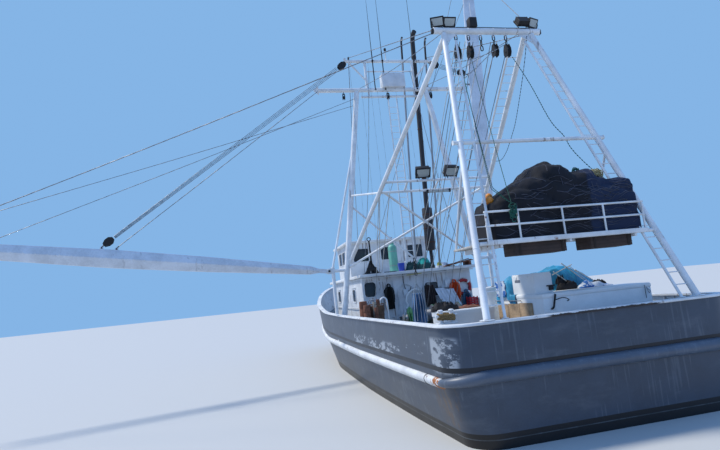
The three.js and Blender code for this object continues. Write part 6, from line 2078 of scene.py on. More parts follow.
pilothouse = {
    "half": 2.05,
    "aftY": 3.6,
    "foreY": 6.9,
    "rake": 0.2,
    "topZ": 5.73,
    "roofTopZ": 5.85,
    "wall": 0.06,
    "windowLow": 4.80,
    "windowHigh": 5.45,
    "aftWindows": ((-1.85, -1.05), (-0.4, 0.4), (1.05, 1.85)),
    "frontPitch": 0.78,
    "frontHalf": 0.31,
    "sideWindows": ((4.75, 5.55), (5.75, 6.55)),
    "door": (3.85, 4.08, 4.5, 5.62),
}


def makePilothouse(data):
    half, aft, fore, top, wall = (data[k] for k in ("half", "aftY", "foreY", "topZ", "wall"))
    low, high = data["windowLow"], data["windowHigh"]
    floor = deckhouse["roofTopZ"] + gap
    bm = bmesh.new()
    place = aftFace(aft)
    holes = [roundedOutline(a, low, b, high, 0.07) for a, b in data["aftWindows"]]
    addPanel(bm, place, [(-half, floor), (half, floor), (half, top), (-half, top)], holes, -wall)
    for a, b in data["aftWindows"]:
        addWindow(bm, place, a, low, b, high, 0.07)
    addSeams(bm, (-0.72, 0.72), aft - 0.006, aft, floor, top)
    addPipe(bm, [(1.95, aft - 0.03, floor), (1.95, aft - 0.03, top - 0.02)], 0.02, 8)
    finishPiece("pilothouseAftWall", bm, ["houseWhite", "darkGlass"], ["pilothouse_aft_wall"])
    # front wall leans forward at its top
    lean = Vector((0, data["rake"], top - floor)).normalized()
    normal = Vector((0, lean.z, -lean.y))
    bm = bmesh.new()
    place = facePlace((0, fore, floor), (1, 0, 0), lean, normal)
    height = (top - floor) / lean.z
    v0, v1 = (low - floor) / lean.z, (high - floor) / lean.z
    spans = [(i * data["frontPitch"] - data["frontHalf"], i * data["frontPitch"] + data["frontHalf"])
             for i in range(-2, 3)]
    holes = [roundedOutline(a, v0, b, v1, 0.06) for a, b in spans]
    addPanel(bm, place, [(-half, 0), (half, 0), (half, height), (-half, height)], holes, -wall)
    for a, b in spans:
        addWindow(bm, place, a, v0, b, v1, 0.06)
    # wipers on three of the panes
    for a, b in (spans[1], spans[2], spans[3]):
        middle = (a + b) / 2
        addPipe(bm, [place @ Vector((middle, v1 + 0.05, 0.02)),
                     place @ Vector((middle - 0.08, v0 + 0.2, 0.025))],
                0.007, 6, 2)
        addPipe(bm, [place @ Vector((middle - 0.16, v0 + 0.42, 0.022)),
                     place @ Vector((middle - 0.02, v0 + 0.08, 0.022))], 0.008, 6, 2)
    finishPiece("pilothouseFrontWall", bm, ["houseWhite", "darkGlass", "ironBlack"],
                ["pilothouse_front_wall"])
    for side, sign in bothSides:
        bm = bmesh.new()
        place = facePlace((sign * half, 0, 0), (0, 1, 0), (0, 0, 1), (sign, 0, 0))
        y0, y1 = aft + wall + gap, fore - wall - gap
        d0, e0, d1, e1 = data["door"]
        holes = [roundedOutline(a, low, b, high, 0.07) for a,
                 b in data["sideWindows"]] + [roundedOutline(d0, e0, d1, e1, 0.05)]
        addPanel(bm, place, [(y0, floor), (y1, floor), (y1 + data["rake"], top), (y0, top)], holes, -wall)
        for a, b in data["sideWindows"]:
            addWindow(bm, place, a, low, b, high, 0.07)
        addPipe(bm, [(sign * (half + 0.05), 4.6, 4.66), (sign * (half + 0.05), 6.7, 4.66)], 0.014, 8)
        for y in (4.7, 5.65, 6.6):
            addPipe(bm, [(sign * half, y, 4.65), (sign * (half + 0.05), y, 4.66)], 0.008, 6)
        finishPiece("pilothouseWall" + side.capitalize(), bm, ["houseWhite", "darkGlass"],
                    ["pilothouse_" + side + "_wall"])
        # door leaf with its window
        bm = bmesh.new()
        pane = (d0 + 0.118, 4.9, d1 - 0.11, 5.45)
        addPanel(bm, place, [(d0 + 0.0085, e0 + 0.0085), (d1 - 0.0006, e0 + 0.0085),
                             (d1 - 0.0006, e1 - 0.0085),
                             (d0 + 0.0085, e1 - 0.0085)],
                 [roundedOutline(*pane, 0.04)], -0.04, -0.001)
        addFrame(bm, place, *pane, 0.04, width=0.03, proud=0.008, paneSlot=1, paneBack=0.02)
        addPanel(bm, place, roundedOutline(d0 + 0.1, 4.2, d1 - 0.1, 4.76, 0.03),
                 [roundedOutline(d0 + 0.12, 4.22, d1 - 0.12, 4.74, 0.02)], -0.004, 0.004)
        addPipe(bm, [place @ Vector((d0 + 0.06, 4.82, 0)), place @ Vector((d0 + 0.06, 4.82, 0.04)),
                     place @ Vector((d0 + 0.17, 4.82, 0.045))], 0.009, 8, 2)
        finishPiece("pilothouseDoor" + side.capitalize(), bm, ["houseWhite", "darkGlass", "bareSteel"],
                    ["pilothouse_" + side + "_door"], body="pilothouse_" + side + "_leaf")
    # roof with a thin rim
    bm = bmesh.new()
    low = Vector((-half - 0.18, aft - 0.18, top + gap))
    high = Vector((half + 0.18, fore + data["rake"] + 0.25, data["roofTopZ"]))
    addBlock(bm, low, high, bevel=0.03)
    addBlock(bm, (low.x + 0.1, low.y + 0.1, high.z - 0.01), (high.x - 0.1, high.y - 0.1, high.z), bevel=0.004)
    finishPiece("pilothouseRoof", bm, ["roofWhite"], ["pilothouse_roof"])


makeFinish("darkGlass", (0.018, 0.026, 0.032), 0.12, tone=0.2, grain=8, depth=0.05, bump=0.0005)
makeDeckhouse(deckhouse)
makeDoors(deckhouse)
makePilothouse(pilothouse)
print("deckhouse and pilothouse")


# A shape turned about an axis from a closed loop of [distance along, radius] pairs, so that it keeps its bore
def addRevolved(bm, origin, axis, loop, sides=48, slots=None):
    axis = Vector(axis).normalized()
    side = axis.orthogonal().normalized()
    other = axis.cross(side)
    rings = [addRing(bm, Vector(origin) + axis * along, side, other, radius, sides) for along, radius in loop]
    for k in range(len(rings)):
        bridge(bm, rings[k - 1], rings[k], slots[k] if slots else 0)


# Plastics, cloth, net and rope of the gear on deck
plainFinishes = (
    ("tanBoard", (0.42, 0.29, 0.17), 0.75, 0.45, 24),
    ("binGrey", (0.30, 0.32, 0.34), 0.6, 0.25, 40),
    ("binDark", (0.09, 0.095, 0.10), 0.65, 0.3, 40),
    ("crateRed", (0.50, 0.012, 0.018), 0.45, 0.2, 40),
    ("bucketBlue", (0.008, 0.055, 0.42), 0.35, 0.15, 40),
    ("rollBrown", (0.26, 0.10, 0.055), 0.85, 0.45, 30),
    ("rollBuff", (0.38, 0.33, 0.26), 0.85, 0.4, 30),
    ("ropeTan", (0.42, 0.28, 0.11), 0.85, 0.45, 60),
    ("paleRope", (0.55, 0.56, 0.55), 0.8, 0.3, 60),
    ("polePale", (0.70, 0.66, 0.58), 0.5, 0.2, 30),
    ("poleYellow", (0.48, 0.46, 0.06), 0.6, 0.3, 30),
    ("hoseBlack", (0.02, 0.022, 0.024), 0.45, 0.2, 40),
    ("clothOrange", (0.80, 0.10, 0.015), 0.6, 0.25, 50),
    ("clothBlack", (0.012, 0.015, 0.014), 0.8, 0.3, 50),
    ("clothNavy", (0.03, 0.10, 0.17), 0.75, 0.3, 50),
    ("clothWhite", (0.66, 0.69, 0.74), 0.7, 0.22, 50),
    ("clothBrown", (0.055, 0.038, 0.034), 0.85, 0.4, 40),
    ("sackBlack", (0.018, 0.016, 0.017), 0.85, 0.5, 40),
    ("netBlue", (0.16, 0.32, 0.56), 0.85, 0.35, 80),
    ("netTeal", (0.01, 0.30, 0.27), 0.85, 0.4, 80),
    ("netDeepTeal", (0.008, 0.055, 0.06), 0.9, 0.5, 80),
)
for name, colour, rough, tone, grain in plainFinishes:
    makeFinish(name, colour, rough, tone=tone, grain=grain)


def printed(tree, surface):
    spread = noiseNode(tree, placedBy(tree, (1, 1, 1)), 7.0, 2.0, 0.5)
    return mixColour(tree, above(tree, spread, 0.52, 0.02), surface, (0.03, 0.14, 0.42))


makeFinish("clothPattern", (0.62, 0.70, 0.80), 0.7, tone=0.3, spots=printed)

winch = {
    "y": -2.3,
    "z": 2.08,
    "shaftRadius": 0.06,
    "drums": {"port": (-1.025, -0.055), "starboard": (0.055, 1.025)},
    "flangeRadius": 0.43,
    "coreRadius": 0.19,
    "wire": 0.016,
    "layers": 4,
}


def makeWinch(data):
    y, z, base = data["y"], data["z"], deckTop
    bm = bmesh.new()
    addBlock(bm, (-1.15, y - 0.5, base), (1.15, y - 0.42, 1.5), bevel=0.006)
    addBlock(bm, (-1.15, y + 0.42, base), (1.15, y + 0.5, 1.5), bevel=0.006)
    addBlock(bm, (-1.14, y - 0.42, base), (1.14, y + 0.42, 1.42), bevel=0.004)
    place = lambda x: facePlace((x, 0, 0), (0, 1, 0), (0, 0, 1), (1, 0, 0))
    cheek = [(y - 0.42, 1.48), (y + 0.42, 1.48), (y + 0.13, z + 0.2), (y - 0.13, z + 0.2)]
    for x in (-1.08, 0, 1.08):
        windows = [] if x == 0 else [roundedOutline(y - 0.18, 1.56, y + 0.18, 1.76, 0.05)]
        addPanel(bm, place(x), cheek, windows, -0.012, 0.012)
        # flange round the cheek's edge
        for a, b in zip(cheek, cheek[1:] + cheek[:1]):
            addPipe(bm, [(x, *a), (x, *b)], 0.02, 8)
        addTurned(bm, (x - 0.05, y, z), (1, 0, 0), [(0, 0.11), (0.01, 0.12), (0.09, 0.12), (0.10, 0.11)], 24)
        for turn in range(4):
            angle = math.pi / 4 + turn * math.pi / 2
            addDisc(bm, (x - 0.058, y + 0.09 * math.cos(angle), z + 0.09 * math.sin(angle)), (1, 0, 0), 0.012,
                    0.116,
                    6, 1)
    addPipe(bm, [(-1.3, y, z), (1.3, y, z)], data["shaftRadius"], 40, 1)
    # warping heads on the shaft's ends
    for sign in (-1, 1):
        addTurned(bm, (sign * 1.13, y, z), (sign, 0, 0),
                  [(0, 0.15), (0.015, 0.155), (0.03, 0.12), (0.08, 0.10),
                                                          (0.12, 0.12), (0.14, 0.16), (0.16, 0.165),
                                                          (0.168, 0.15)],
                                                          28, 1)
    # brake levers and the drive case at the port end
    for x in (-0.54, 0.54):
        addBent(bm, [(x, y + 0.44, 1.45), (x, y + 0.50, 2.1), (x, y + 0.46, 2.62)], 5, 0.016, 8)
        addTurned(bm, (x, y + 0.46, 2.60), (0, 0, 1), [(0, 0.02), (0.02, 0.034), (0.05, 0.034),
                                                       (0.07, 0.015)], 12, 1)
    addBlock(bm, (-0.22, y + 0.3, 1.5), (0.22, y + 0.62, 1.95), bevel=0.03)
    addTurned(bm, (0, y + 0.62, 1.72), (0, 1, 0), [(0, 0.13), (0.02, 0.15), (0.22, 0.15), (0.25, 0.10)], 24)
    finishPiece("winchFrame", bm, ["winchGreen", "bareSteel"], ["winch_frame"])
    for side, (x0, x1) in data["drums"].items():
        bm = bmesh.new()
        bore = data["shaftRadius"] + gap
        flange, core = data["flangeRadius"], data["coreRadius"]
        wound = core + data["layers"] * data["wire"] * 0.9
        loop = [(x0, bore), (x0, flange - 0.01), (x0 + 0.006, flange), (x0 + 0.024, flange),
                (x0 + 0.03, flange - 0.01)]
        slots = [0, 0, 0, 0, 0]
        wide = x1 - x0 - 0.06
        turns = int(wide / data["wire"])
        for k in range(turns):
            start = x0 + 0.03 + wide * k / turns
            width = wide / turns
            for share, up in ((0.0, 0.0), (0.25, 0.7), (0.5, 1.0), (0.75, 0.7)):
                loop.append((start + share * width, wound - data["wire"] * 0.5 + up * data["wire"] * 0.5))
                slots.append(1)
        loop += [(x1 - 0.03, flange - 0.01), (x1 - 0.024, flange), (x1 - 0.006, flange), (x1, flange - 0.01),
                 (x1, bore)]
        slots += [1, 0, 0, 0, 0]
        addRevolved(bm, (0, y, z), (1, 0, 0), loop, 56, slots)
        # ribs on the outer faces of the flanges
        for x in (x0 + 0.001, x1 - 0.001):
            for turn in range(8):
                angle = math.pi / 4 * turn + 0.2
                out = Vector((0, math.cos(angle), math.sin(angle)))
                addPipe(bm, [Vector((x, y, z)) + out * reach for reach in (0.14, flange - 0.03)], 0.013, 6)
        finishPiece("winchDrum" + side.capitalize(), bm, ["winchGreen", "wireGrey"], ["winch_drum_" + side],
                    body="winch_drum_" + side + "_reel")


hatch = {
    "half": 0.75,
    "aftY": -6.3,
    "foreY": -4.8,
    "topZ": 1.88,
    "wall": 0.06,
    "lidTopZ": 1.96,
    "over": 0.04,
}


def makeHatch(data):
    half, aft, fore, top = data["half"], data["aftY"], data["foreY"], data["topZ"]
    flat = flatAt(top)
    bm = bmesh.new()
    inside = data["wall"]
    addPanel(bm, flat, roundedOutline(-half, aft, half, fore, 0.05),
             [roundedOutline(-half + inside, aft + inside, half - inside, fore - inside, 0.03)],
             deckTop - top)
    # stiffening bar round the outside and brackets down to the deck
    corners = [(x, y, 1.72) for x, y in ((-half - 0.012, aft - 0.012), (half + 0.012, aft - 0.012),
                                         (half + 0.012, fore + 0.012), (-half - 0.012, fore + 0.012))]
    for a, b in zip(corners, corners[1:] + corners[:1]):
        addPipe(bm, [a, b], 0.018, 8)
    brackets = [(x, y, 0, out) for x in (-0.45, 0, 0.45) for y, out in ((aft, -1), (fore, 1))]
    brackets += [(sign * half, y, sign, 0) for y in (-6.0, -5.55, -5.1) for sign in (-1, 1)]
    for x, y, outX, outY in brackets:
        addPlate(bm, [(x + outX * far, y + outY * far, z) for far,
                      z in ((0, 1.70), (0.02, 1.70), (0.12, deckTop), (0, deckTop))],
                 0.012)
    finishPiece("hatchCoaming", bm, ["houseWhite"], ["hatch_coaming"])
    bm = bmesh.new()
    over = data["over"]
    hinge = fore + 0.04
    addPanel(bm, flat, roundedOutline(-half - over, aft - over, half + over, hinge, 0.04), [], 0.0005,
             data["lidTopZ"] - top)
    for x in (-0.4, 0.4):
        addBlock(bm, (x - 0.03, aft + 0.05, data["lidTopZ"] - 0.006),
                 (x + 0.03, fore - 0.05, data["lidTopZ"]), 0)
    for x in (-0.55, 0.55):
        addBent(bm, [(x - 0.09, aft - over, 1.92), (x - 0.08, aft - over - 0.045, 1.92),
                     (x + 0.08, aft - over - 0.045, 1.92), (x + 0.09, aft - over, 1.92)], 4, 0.010, 8, 1)
        addDisc(bm, (x - 0.07, hinge - 0.004, 1.92), (1, 0, 0), 0.016, 0.14, 12, 1)
    finishPiece("hatchLid", bm, ["houseWhite", "bareSteel"], ["hatch_lid"], body="hatch_cover")


deckBox = {
    "low": (-0.56, -11.25, deckTop),
    "high": (2.40, -9.0, 2.7997),
    "lipHeight": 0.11,
    "chestLow": (-0.52, -10.9, 2.8),
    "chestHigh": (-0.01, -9.85, 3.1997),
    "chestLidZ": 3.3,
    "chestWall": 0.05,
    "boardFrom": -10.78,
    "boardTop": 2.6,
}


def makeDeckBox(data):
    low, high = Vector(data["low"]), Vector(data["high"])
    bm = bmesh.new()
    lipZ = high.z - data["lipHeight"]
    addBlock(bm, (low.x + 0.012, low.y + 0.012, low.z), (high.x - 0.012, high.y - 0.012, lipZ + 0.01),
             bevel=0.02)
    addBlock(bm, (low.x, low.y, lipZ), (high.x, high.y, high.z), bevel=0.03)
    # a low rim round the top's far half
    for a, b in (((0.1, high.y - 0.05), (high.x - 0.05, high.y - 0.05)),
                 ((high.x - 0.05, high.y - 0.05), (high.x - 0.05, low.y + 0.05))):
        addPipe(bm, [(*a, high.z - 0.006), (*b, high.z - 0.006)], 0.006, 8)
    # brown boards leant on the port end, with a thin rail above them
    step = (high.y - 0.06 - data["boardFrom"]) / 3
    for k in range(3):
        y = data["boardFrom"] + step * k
        addBlock(bm, (low.x - 0.035, y + 0.006, low.z + 0.002),
                 (low.x + 0.01, y + step - 0.006, data["boardTop"] - 0.02 * k), 3, bevel=0.006)
    addBent(bm, [(low.x + 0.01, high.y - 0.03, 2.66), (low.x - 0.05, high.y - 0.05, 2.665),
                 (low.x - 0.05, -10.2, 2.66), (low.x + 0.01, -10.22, 2.66)], 4, 0.012, 8, 2)
    # dark curved bracket on the after face, and a hook at its starboard end
    addBent(bm, [(-0.22, low.y, 2.76), (-0.25, low.y - 0.05, 2.74), (-0.30, low.y - 0.06, 2.6),
                 (-0.33, low.y - 0.05, 2.48), (-0.36, low.y, 2.44)], 6, 0.022, 8, 1)
    addBent(bm, [(-0.27, low.y - 0.04, 2.64), (-0.1, low.y - 0.12, 2.68), (0.06, low.y - 0.09, 2.62),
                 (0.02, low.y - 0.07, 2.59)], 6, 0.011, 8, 1)
    addBent(bm, [(2.26, low.y, 2.70), (2.23, low.y - 0.05, 2.64), (2.26, low.y - 0.06, 2.56),
                 (2.30, low.y - 0.05, 2.60), (2.26, low.y, 2.68)], 5, 0.01, 6, 2)
    addPipe(bm, [(2.20, low.y - 0.008, 2.75), (2.20, low.y - 0.008, 2.44)], 0.006, 6, 1)
    finishPiece("deckBoxShell", bm, ["chestWhite", "ironBlack", "bareSteel", "tanBoard"], ["deck_box"])


def makeIceChest(data):
    low, high, wall = Vector(data["chestLow"]), Vector(data["chestHigh"]), data["chestWall"]
    bm = bmesh.new()
    flat = flatAt(high.z)
    outer = roundedOutline(low.x, low.y, high.x, high.y, 0.05, 7)
    addPanel(bm, flat, outer, [roundedOutline(low.x + wall, low.y + wall, high.x - wall, high.y - wall,
                                              0.03)],
             low.z + wall - high.z)
    addPanel(bm, flat, outer, [], low.z + gap - high.z, low.z + wall - gap - high.z)
    # black T latch on the after face and a faint label on the port face
    addBlock(bm, (-0.20, low.y - 0.035, 2.955), (0.02, low.y - 0.001, 2.985), 1, bevel=0.006)
    addBlock(bm, (-0.15, low.y - 0.045, 2.86), (-0.03, low.y - 0.001, 2.965), 1, bevel=0.012)
    addBlock(bm, (low.x - 0.002, -10.28, 3.10), (low.x + 0.002, -10.02, 3.17), 2)
    finishPiece("iceChest", bm, ["chestWhite", "ironBlack", "wireGrey"], ["ice_chest"])
    bm = bmesh.new()
    lid = flatAt(high.z + gap)
    addPanel(bm, lid, roundedOutline(low.x, low.y, high.x - 0.0002, high.y, 0.05, 7), [], 0.0, 0.07)
    addPanel(bm, lid, roundedOutline(low.x + 0.015, low.y + 0.015, high.x - 0.015, high.y - 0.015, 0.04, 7),
             [], 0.07,
             data["chestLidZ"] - high.z - 0.001)
    for y in (low.y + 0.25, high.y - 0.25):
        addBlock(bm, (low.x - 0.015, y - 0.035, 3.19), (low.x - 0.001, y + 0.035, 3.25), bevel=0.005)
    finishPiece("iceChestLid", bm, ["chestWhite"], ["ice_chest_lid"], body="chest_cover")


def makeTanks():
    # long tub with one round end, a rolled rim and a flat cover
    bm = bmesh.new()
    def tubOutline(grow):
        radius, end, far, middle = 0.45 + grow, -2.38 - grow, -0.8 + grow, -8.8
        arc = [(end + radius - radius * s, middle + radius * c) for c, s in halfCircle(24)]
        return [(far, middle + radius), *arc, (far, middle - radius)]
    flat = flatAt(0)
    addPanel(bm, flat, tubOutline(-0.02), [], deckTop, 2.48)
    addPanel(bm, flat, tubOutline(0.0), [], 2.42, 2.53)
    addPanel(bm, flat, tubOutline(-0.06), [], 2.5, tubTop)
    for z in (1.75, 2.1):
        addPanel(bm, flat, tubOutline(-0.008), [], z, z + 0.03)
    finishPiece("whiteTub", bm, ["chestWhite"], ["white_tub"])
    # upright white drum beside the deck box
    bm = bmesh.new()
    addTurned(bm, (-0.52, -8.5, deckTop), (0, 0, 1), [(0, 0.285), (0.02, 0.297), (0.5, 0.29), (0.52, 0.30),
                                                      (0.56, 0.30), (0.58, 0.29), (1.08, 0.29), (1.10, 0.30),
                                                      (1.14, 0.30),
                                                  (1.16, 0.29), (1.60, 0.29), (1.62, 0.30), (1.65, 0.30),
                                                  (1.67, 0.285), (1.671, 0.27), (1.66, 0.26)], 40)
    for x in (-0.64, -0.40):
        addTurned(bm, (x, -8.5, 3.04), (0, 0, 1), [(0, 0.035), (0.022, 0.035), (0.028, 0.028)], 14, 1)
    finishPiece("whiteDrum", bm, ["chestWhite", "ironBlack"])
    # nested baskets: rims over slatted sides
    bm = bmesh.new()
    centre = Vector((-2.5, -3.0, 0))
    addTurned(bm, centre + Vector((0, 0, deckTop)), (0, 0, 1),
              [(0, 0.222), (0.9, 0.262), (1.32, 0.268), (1.33, 0.20)], 32)
    for k in range(7):
        z = 1.68 + 0.18 * k
        radius = 0.245 + 0.045 * k / 6
        addRevolved(bm, centre + Vector((0, 0, z)), (0, 0, 1),
                    [(0, radius - 0.012), (-0.012, radius), (0.012, radius + 0.001), (0.02, radius - 0.006)],
                    32)
        for turn in range(26):
            angle = 2 * math.pi * turn / 26
            out = Vector((math.cos(angle), math.sin(angle), 0))
            addPipe(bm, [centre + out * (radius - 0.022) + Vector((0, 0, z - 0.15)),
                         centre + out * (radius - 0.006) + Vector((0, 0, z))], 0.006, 4)
    finishPiece("basketStack", bm, ["basketBrown"], ["basket_stack"])
    # green cylinder on the roof, with its valve guard
    bm = bmesh.new()
    addTurned(bm, (-0.6, 0.7, roofTop), (0, 0, 1), [(0, 0.17), (0.02, 0.185), (0.03, 0.2), (0.10, 0.2),
                                                    (1.12, 0.2),
                                                    (1.20, 0.19), (1.27, 0.15), (1.31, 0.09), (1.32, 0.05),
                                                    (1.34, 0.045), (1.35, 0.03)], 36)
    addRevolved(bm, (-0.6, 0.7, 5.24), (0, 0, 1), [(0, 0.09), (0, 0.098), (0.13, 0.098), (0.13, 0.09)], 24)
    addTurned(bm, (-0.6, 0.7, 5.30), (0, 0, 1), [(0, 0.03), (0.16, 0.024), (0.17, 0.05), (0.20, 0.055),
                                                 (0.22, 0.03),
                                                 (0.30, 0.03), (0.31, 0.06), (0.33, 0.06)], 14, 1)
    addPipe(bm, [(-0.6, 0.7, 5.50), (-0.48, 0.68, 5.51), (-0.47, 0.68, 5.42)], 0.018, 8, 1)
    for z in (4.3, 4.95):
        addRevolved(bm, (-0.6, 0.7, z), (0, 0, 1), [(0, 0.198), (0, 0.206), (0.03, 0.206), (0.03, 0.198)], 36,
                    [1] * 4)
    addBlock(bm, (-0.84, 0.46, 3.9702), (-0.36, 0.94, 4.03), 2, bevel=0.01)
    finishPiece("greenTank", bm, ["tankGreen", "bareSteel", "houseWhite"], ["green_tank"])


def makeLifeRing():
    bm = bmesh.new()
    centre, big, small, aft = Vector((2.05, -0.7203, 3.05)), 0.30, 0.068, Vector((0, 1, 0))
    outs = [Vector((c, 0, s)) for c, s in circle(1.0, 48)]
    rings = [addRing(bm, centre + out * big, out, aft, small, 16) for out in outs]
    for k in range(48):
        bridge(bm, rings[k], rings[(k + 1) % 48], 1 if k % 12 in (5, 6) else 0)
    # grab line round the outside, held at four bands
    for quarter in range(4):
        line = []
        for k in range(9):
            angle = math.pi / 2 * quarter + math.pi / 4 + math.pi / 2 * k / 8
            reach = big + small + 0.008 + 0.03 * math.sin(math.pi * k / 8)
            line.append(centre + Vector((reach * math.cos(angle), -0.01, reach * math.sin(angle))))
        addRope(bm, [line], 0.006, 2, step=0.02)
    addPipe(bm, [centre + Vector((0, -0.02, 0.36)), centre + Vector((0, 0.07, 0.39))], 0.012, 8, 3)
    finishPiece("lifeRing", bm, ["ringRed", "chestWhite", "creamLine", "bareSteel"], ["life_ring"])


underwater = {
    "keelHalf": 0.118,
    "rudderY": -10.15,
    "shaftZ": -1.85,
    "skegAftY": -8.95,
    "sections": ((0.10, 0.15, 0.050), (0.18, 0.28, 0.046), (0.26, 0.38, 0.042), (0.36, 0.47, 0.036),
                 (0.45, 0.52, 0.030), (0.55, 0.50, 0.025), (0.64, 0.44, 0.020), (0.71, 0.31, 0.015),
                 (0.75, 0.14, 0.010)),
    "pitch": 1.1,
    "hub": ((0, 0.15), (0.015, 0.155), (0.21, 0.148), (0.40, 0.132), (0.42, 0.12), (0.421, 0.08),
            (0.50, 0.06),
            (0.53, 0.03)),
}


def makeUnderwater(data):
    y, z = data["rudderY"], data["shaftZ"]
    # rudder: a faired blade with its stock and pintle
    bm = bmesh.new()
    section = []
    for k in range(17):
        share = k / 16
        half = 0.085 * (0.0 if k in (0, 16) else 1.0) * (1.9 * math.sqrt(share) * (1 - share)
                                                         + 0.16 * share * (1 - share)) / 0.76
        section.append((0.25 - 1.15 * share, half))
    outline = section + [(a, -b) for a, b in reversed(section[1:-1])]
    levels = ((-0.98, 0.94), (-1.0, 1), (-1.4, 1), (-1.8, 1), (-2.2, 1), (-2.6, 1), (-2.62, 0.94))
    loft(bm, [addPoints(bm, [(b * size, y + a * (1 if abs(height + 1.8) < 0.7 else 0.985), height) for a,
                             b in outline])
              for height, size in levels])
    addPipe(bm, [(0, y, -0.8505), (0, y, -1.0)], 0.06, 20, 1)
    addPipe(bm, [(0, y, -2.6), (0, y, -2.7295)], 0.05, 20, 1)
    for height in (-1.25, -1.8, -2.35):
        addBlock(bm, (-0.092, y - 0.36, height - 0.05), (0.092, y + 0.03, height + 0.05), bevel=0.01)
    finishPiece("rudderBlade", bm, ["bottomBlack", "bareSteel"], ["rudder"],
                body="rudder_blade")
    # propeller: four blades of lens sections on a hub
    bm = bmesh.new()
    middle = Vector((0, data["skegAftY"] - 0.49, z))
    addTurned(bm, middle + Vector((0, 0.21, 0)), (0, -1, 0), data["hub"], 36)
    for blade in range(4):
        turn = Matrix.Rotation(blade * math.pi / 2, 3, "Y")
        rings = []
        for radius, chord, thickness in data["sections"]:
            angle = math.atan(data["pitch"] / (2 * math.pi * radius))
            c, s = math.cos(angle), math.sin(angle)
            ring = []
            for cosine, sine in circle(1.0, 20):
                u, w = chord / 2 * cosine, thickness / 2 * sine * abs(sine) ** 0.4
                up = math.sqrt(max(radius ** 2 - (u * c) ** 2 * 0.5, 0.0004))
                ring.append(middle + turn @ Vector((u * c - w * s, u * s + w * c, up)))
            rings.append(addPoints(bm, ring))
        loft(bm, rings)
    finishPiece("propellerScrew", bm, ["castBronze"], ["propeller"], body="propeller_screw")


def makeAnchor():
    bm = bmesh.new()
    z = 4.08 + 0.06 + 0.0006 + 0.045  # the rail, its cap and half the shank
    crown = 13.38
    addPipe(bm, [(0, 12.32, z), (0, 12.9, z), (0, crown, z)], [0.034, 0.036, 0.044], 16)
    shackle = [(0, 0.05), (0, 0.075), (0.022, 0.08), (0.06, 0.075), (0.06, 0.05), (0.03, 0.045)]
    addRevolved(bm, (-0.03, 12.33, z), (1, 0, 0), shackle, 20)
    addPipe(bm, [(x, crown, z) for x in (-0.35, -0.2, 0.2, 0.35)], [0.03, 0.055, 0.055, 0.03], 16)
    fluke = ((0, 0.055, 0.05), (0.15, 0.06, 0.045), (0.4, 0.11, 0.03), (0.75, 0.085, 0.02),
             (1.0, 0.012, 0.01))
    for sign in (-1, 1):
        rings = []
        for share, wide, thick in fluke:
            centre = Vector((sign * (0.28 - 0.06 * share), crown - 0.10 * share, z - 0.62 * share))
            rings.append(addPoints(bm, [centre + Vector((wide * c, thick * s, 0)) for c,
                                        s in circle(1.0, 12)]))
        loft(bm, rings)
    finishPiece("anchorBow", bm, ["ironBlack"], ["anchor"])


makeWinch(winch)
makeHatch(hatch)
makeDeckBox(deckBox)
makeIceChest(deckBox)
makeTanks()
makeLifeRing()
makeUnderwater(underwater)
makeAnchor()
print("deck gear")


# Cloth: a grid of points made into a thin closed shell
def makeCloth(name, rows, finish, body="vessel", thickness=0.004, replaces=()):
    bm = bmesh.new()
    down, across = len(rows), len(rows[0])
    points = [[Vector(p) for p in row] for row in rows]
    layers = []
    for side in (1, -1):
        grid = []
        for i in range(down):
            line = []
            for k in range(across):
                a = points[min(i + 1, down - 1)][k] - points[max(i - 1, 0)][k]
                b = points[i][min(k + 1, across - 1)] - points[i][max(k - 1, 0)]
                line.append(bm.verts.new(points[i][k] + a.cross(b).normalized() * (side * thickness / 2)))
            grid.append(line)
        layers.append(grid)
    for grid in layers:
        for i in range(down - 1):
            for k in range(across - 1):
                bm.faces.new((grid[i][k], grid[i][k + 1], grid[i + 1][k + 1], grid[i + 1][k])).smooth = True
    front, back = layers
    edge = [(0, k) for k in range(across)] + [(i, across - 1) for i in range(1, down)]
    edge += [(down - 1, k) for k in range(across - 2, -1, -1)] + [(i, 0) for i in range(down - 2, 0, -1)]
    for (i, k), (j, m) in zip(edge, edge[1:] + edge[:1]):
        bm.faces.new((front[i][k], front[j][m], back[j][m], back[i][k])).smooth = True
    piece = finishPiece(name, bm, [finish], replaces, sharp=60, body=body)
    length = sum((points[i + 1][k] - points[i][k]).length for i in range(down - 1)
                 for k in range(across)) / across
    width = sum((points[i][k + 1] - points[i][k]).length for i in range(down)
                for k in range(across - 1)) / down
    print(name, "sheet", round(width, 2), "x", round(length, 2))


# Cloth hung from its top edge: each row keeps the cloth's full width by deeper folds where it is gathered
def hungRows(top, length, clothWidth, topWidth, lowWidth, folds, lean=(0, 0), rows=20, perFold=8, seed=0):
    made = []
    count = folds * perFold
    for i in range(rows + 1):
        t = i / rows
        width = topWidth + (lowWidth - topWidth) * (1 - (1 - t) ** 2)
        shift = 0.25 * noise.noise(Vector((t * 2.0, seed, 3)))

        def row(depth):
            line = []
            for k in range(count + 1):
                u = k / count
                wave = depth * math.sin(2 * math.pi * (folds * u + shift + 0.06 * math.sin(5 * u + seed)))
                swell = 0.02 * noise.noise(Vector((u * 2.5, t * 2.0, seed * 7)))
                line.append(Vector((top[0] + (u - 0.5) * width + lean[0] * t,
                                    top[1] + wave + swell + lean[1] * t,
                                    top[2] - length * t)))
            return line

        low, high = 0.0, 0.3
        for _ in range(18):
            middle = (low + high) / 2
            line = row(middle)
            if sum((b - a).length for a, b in zip(line, line[1:])) < clothWidth:
                low = middle
            else:
                high = middle
        made.append(row(low))
    return made


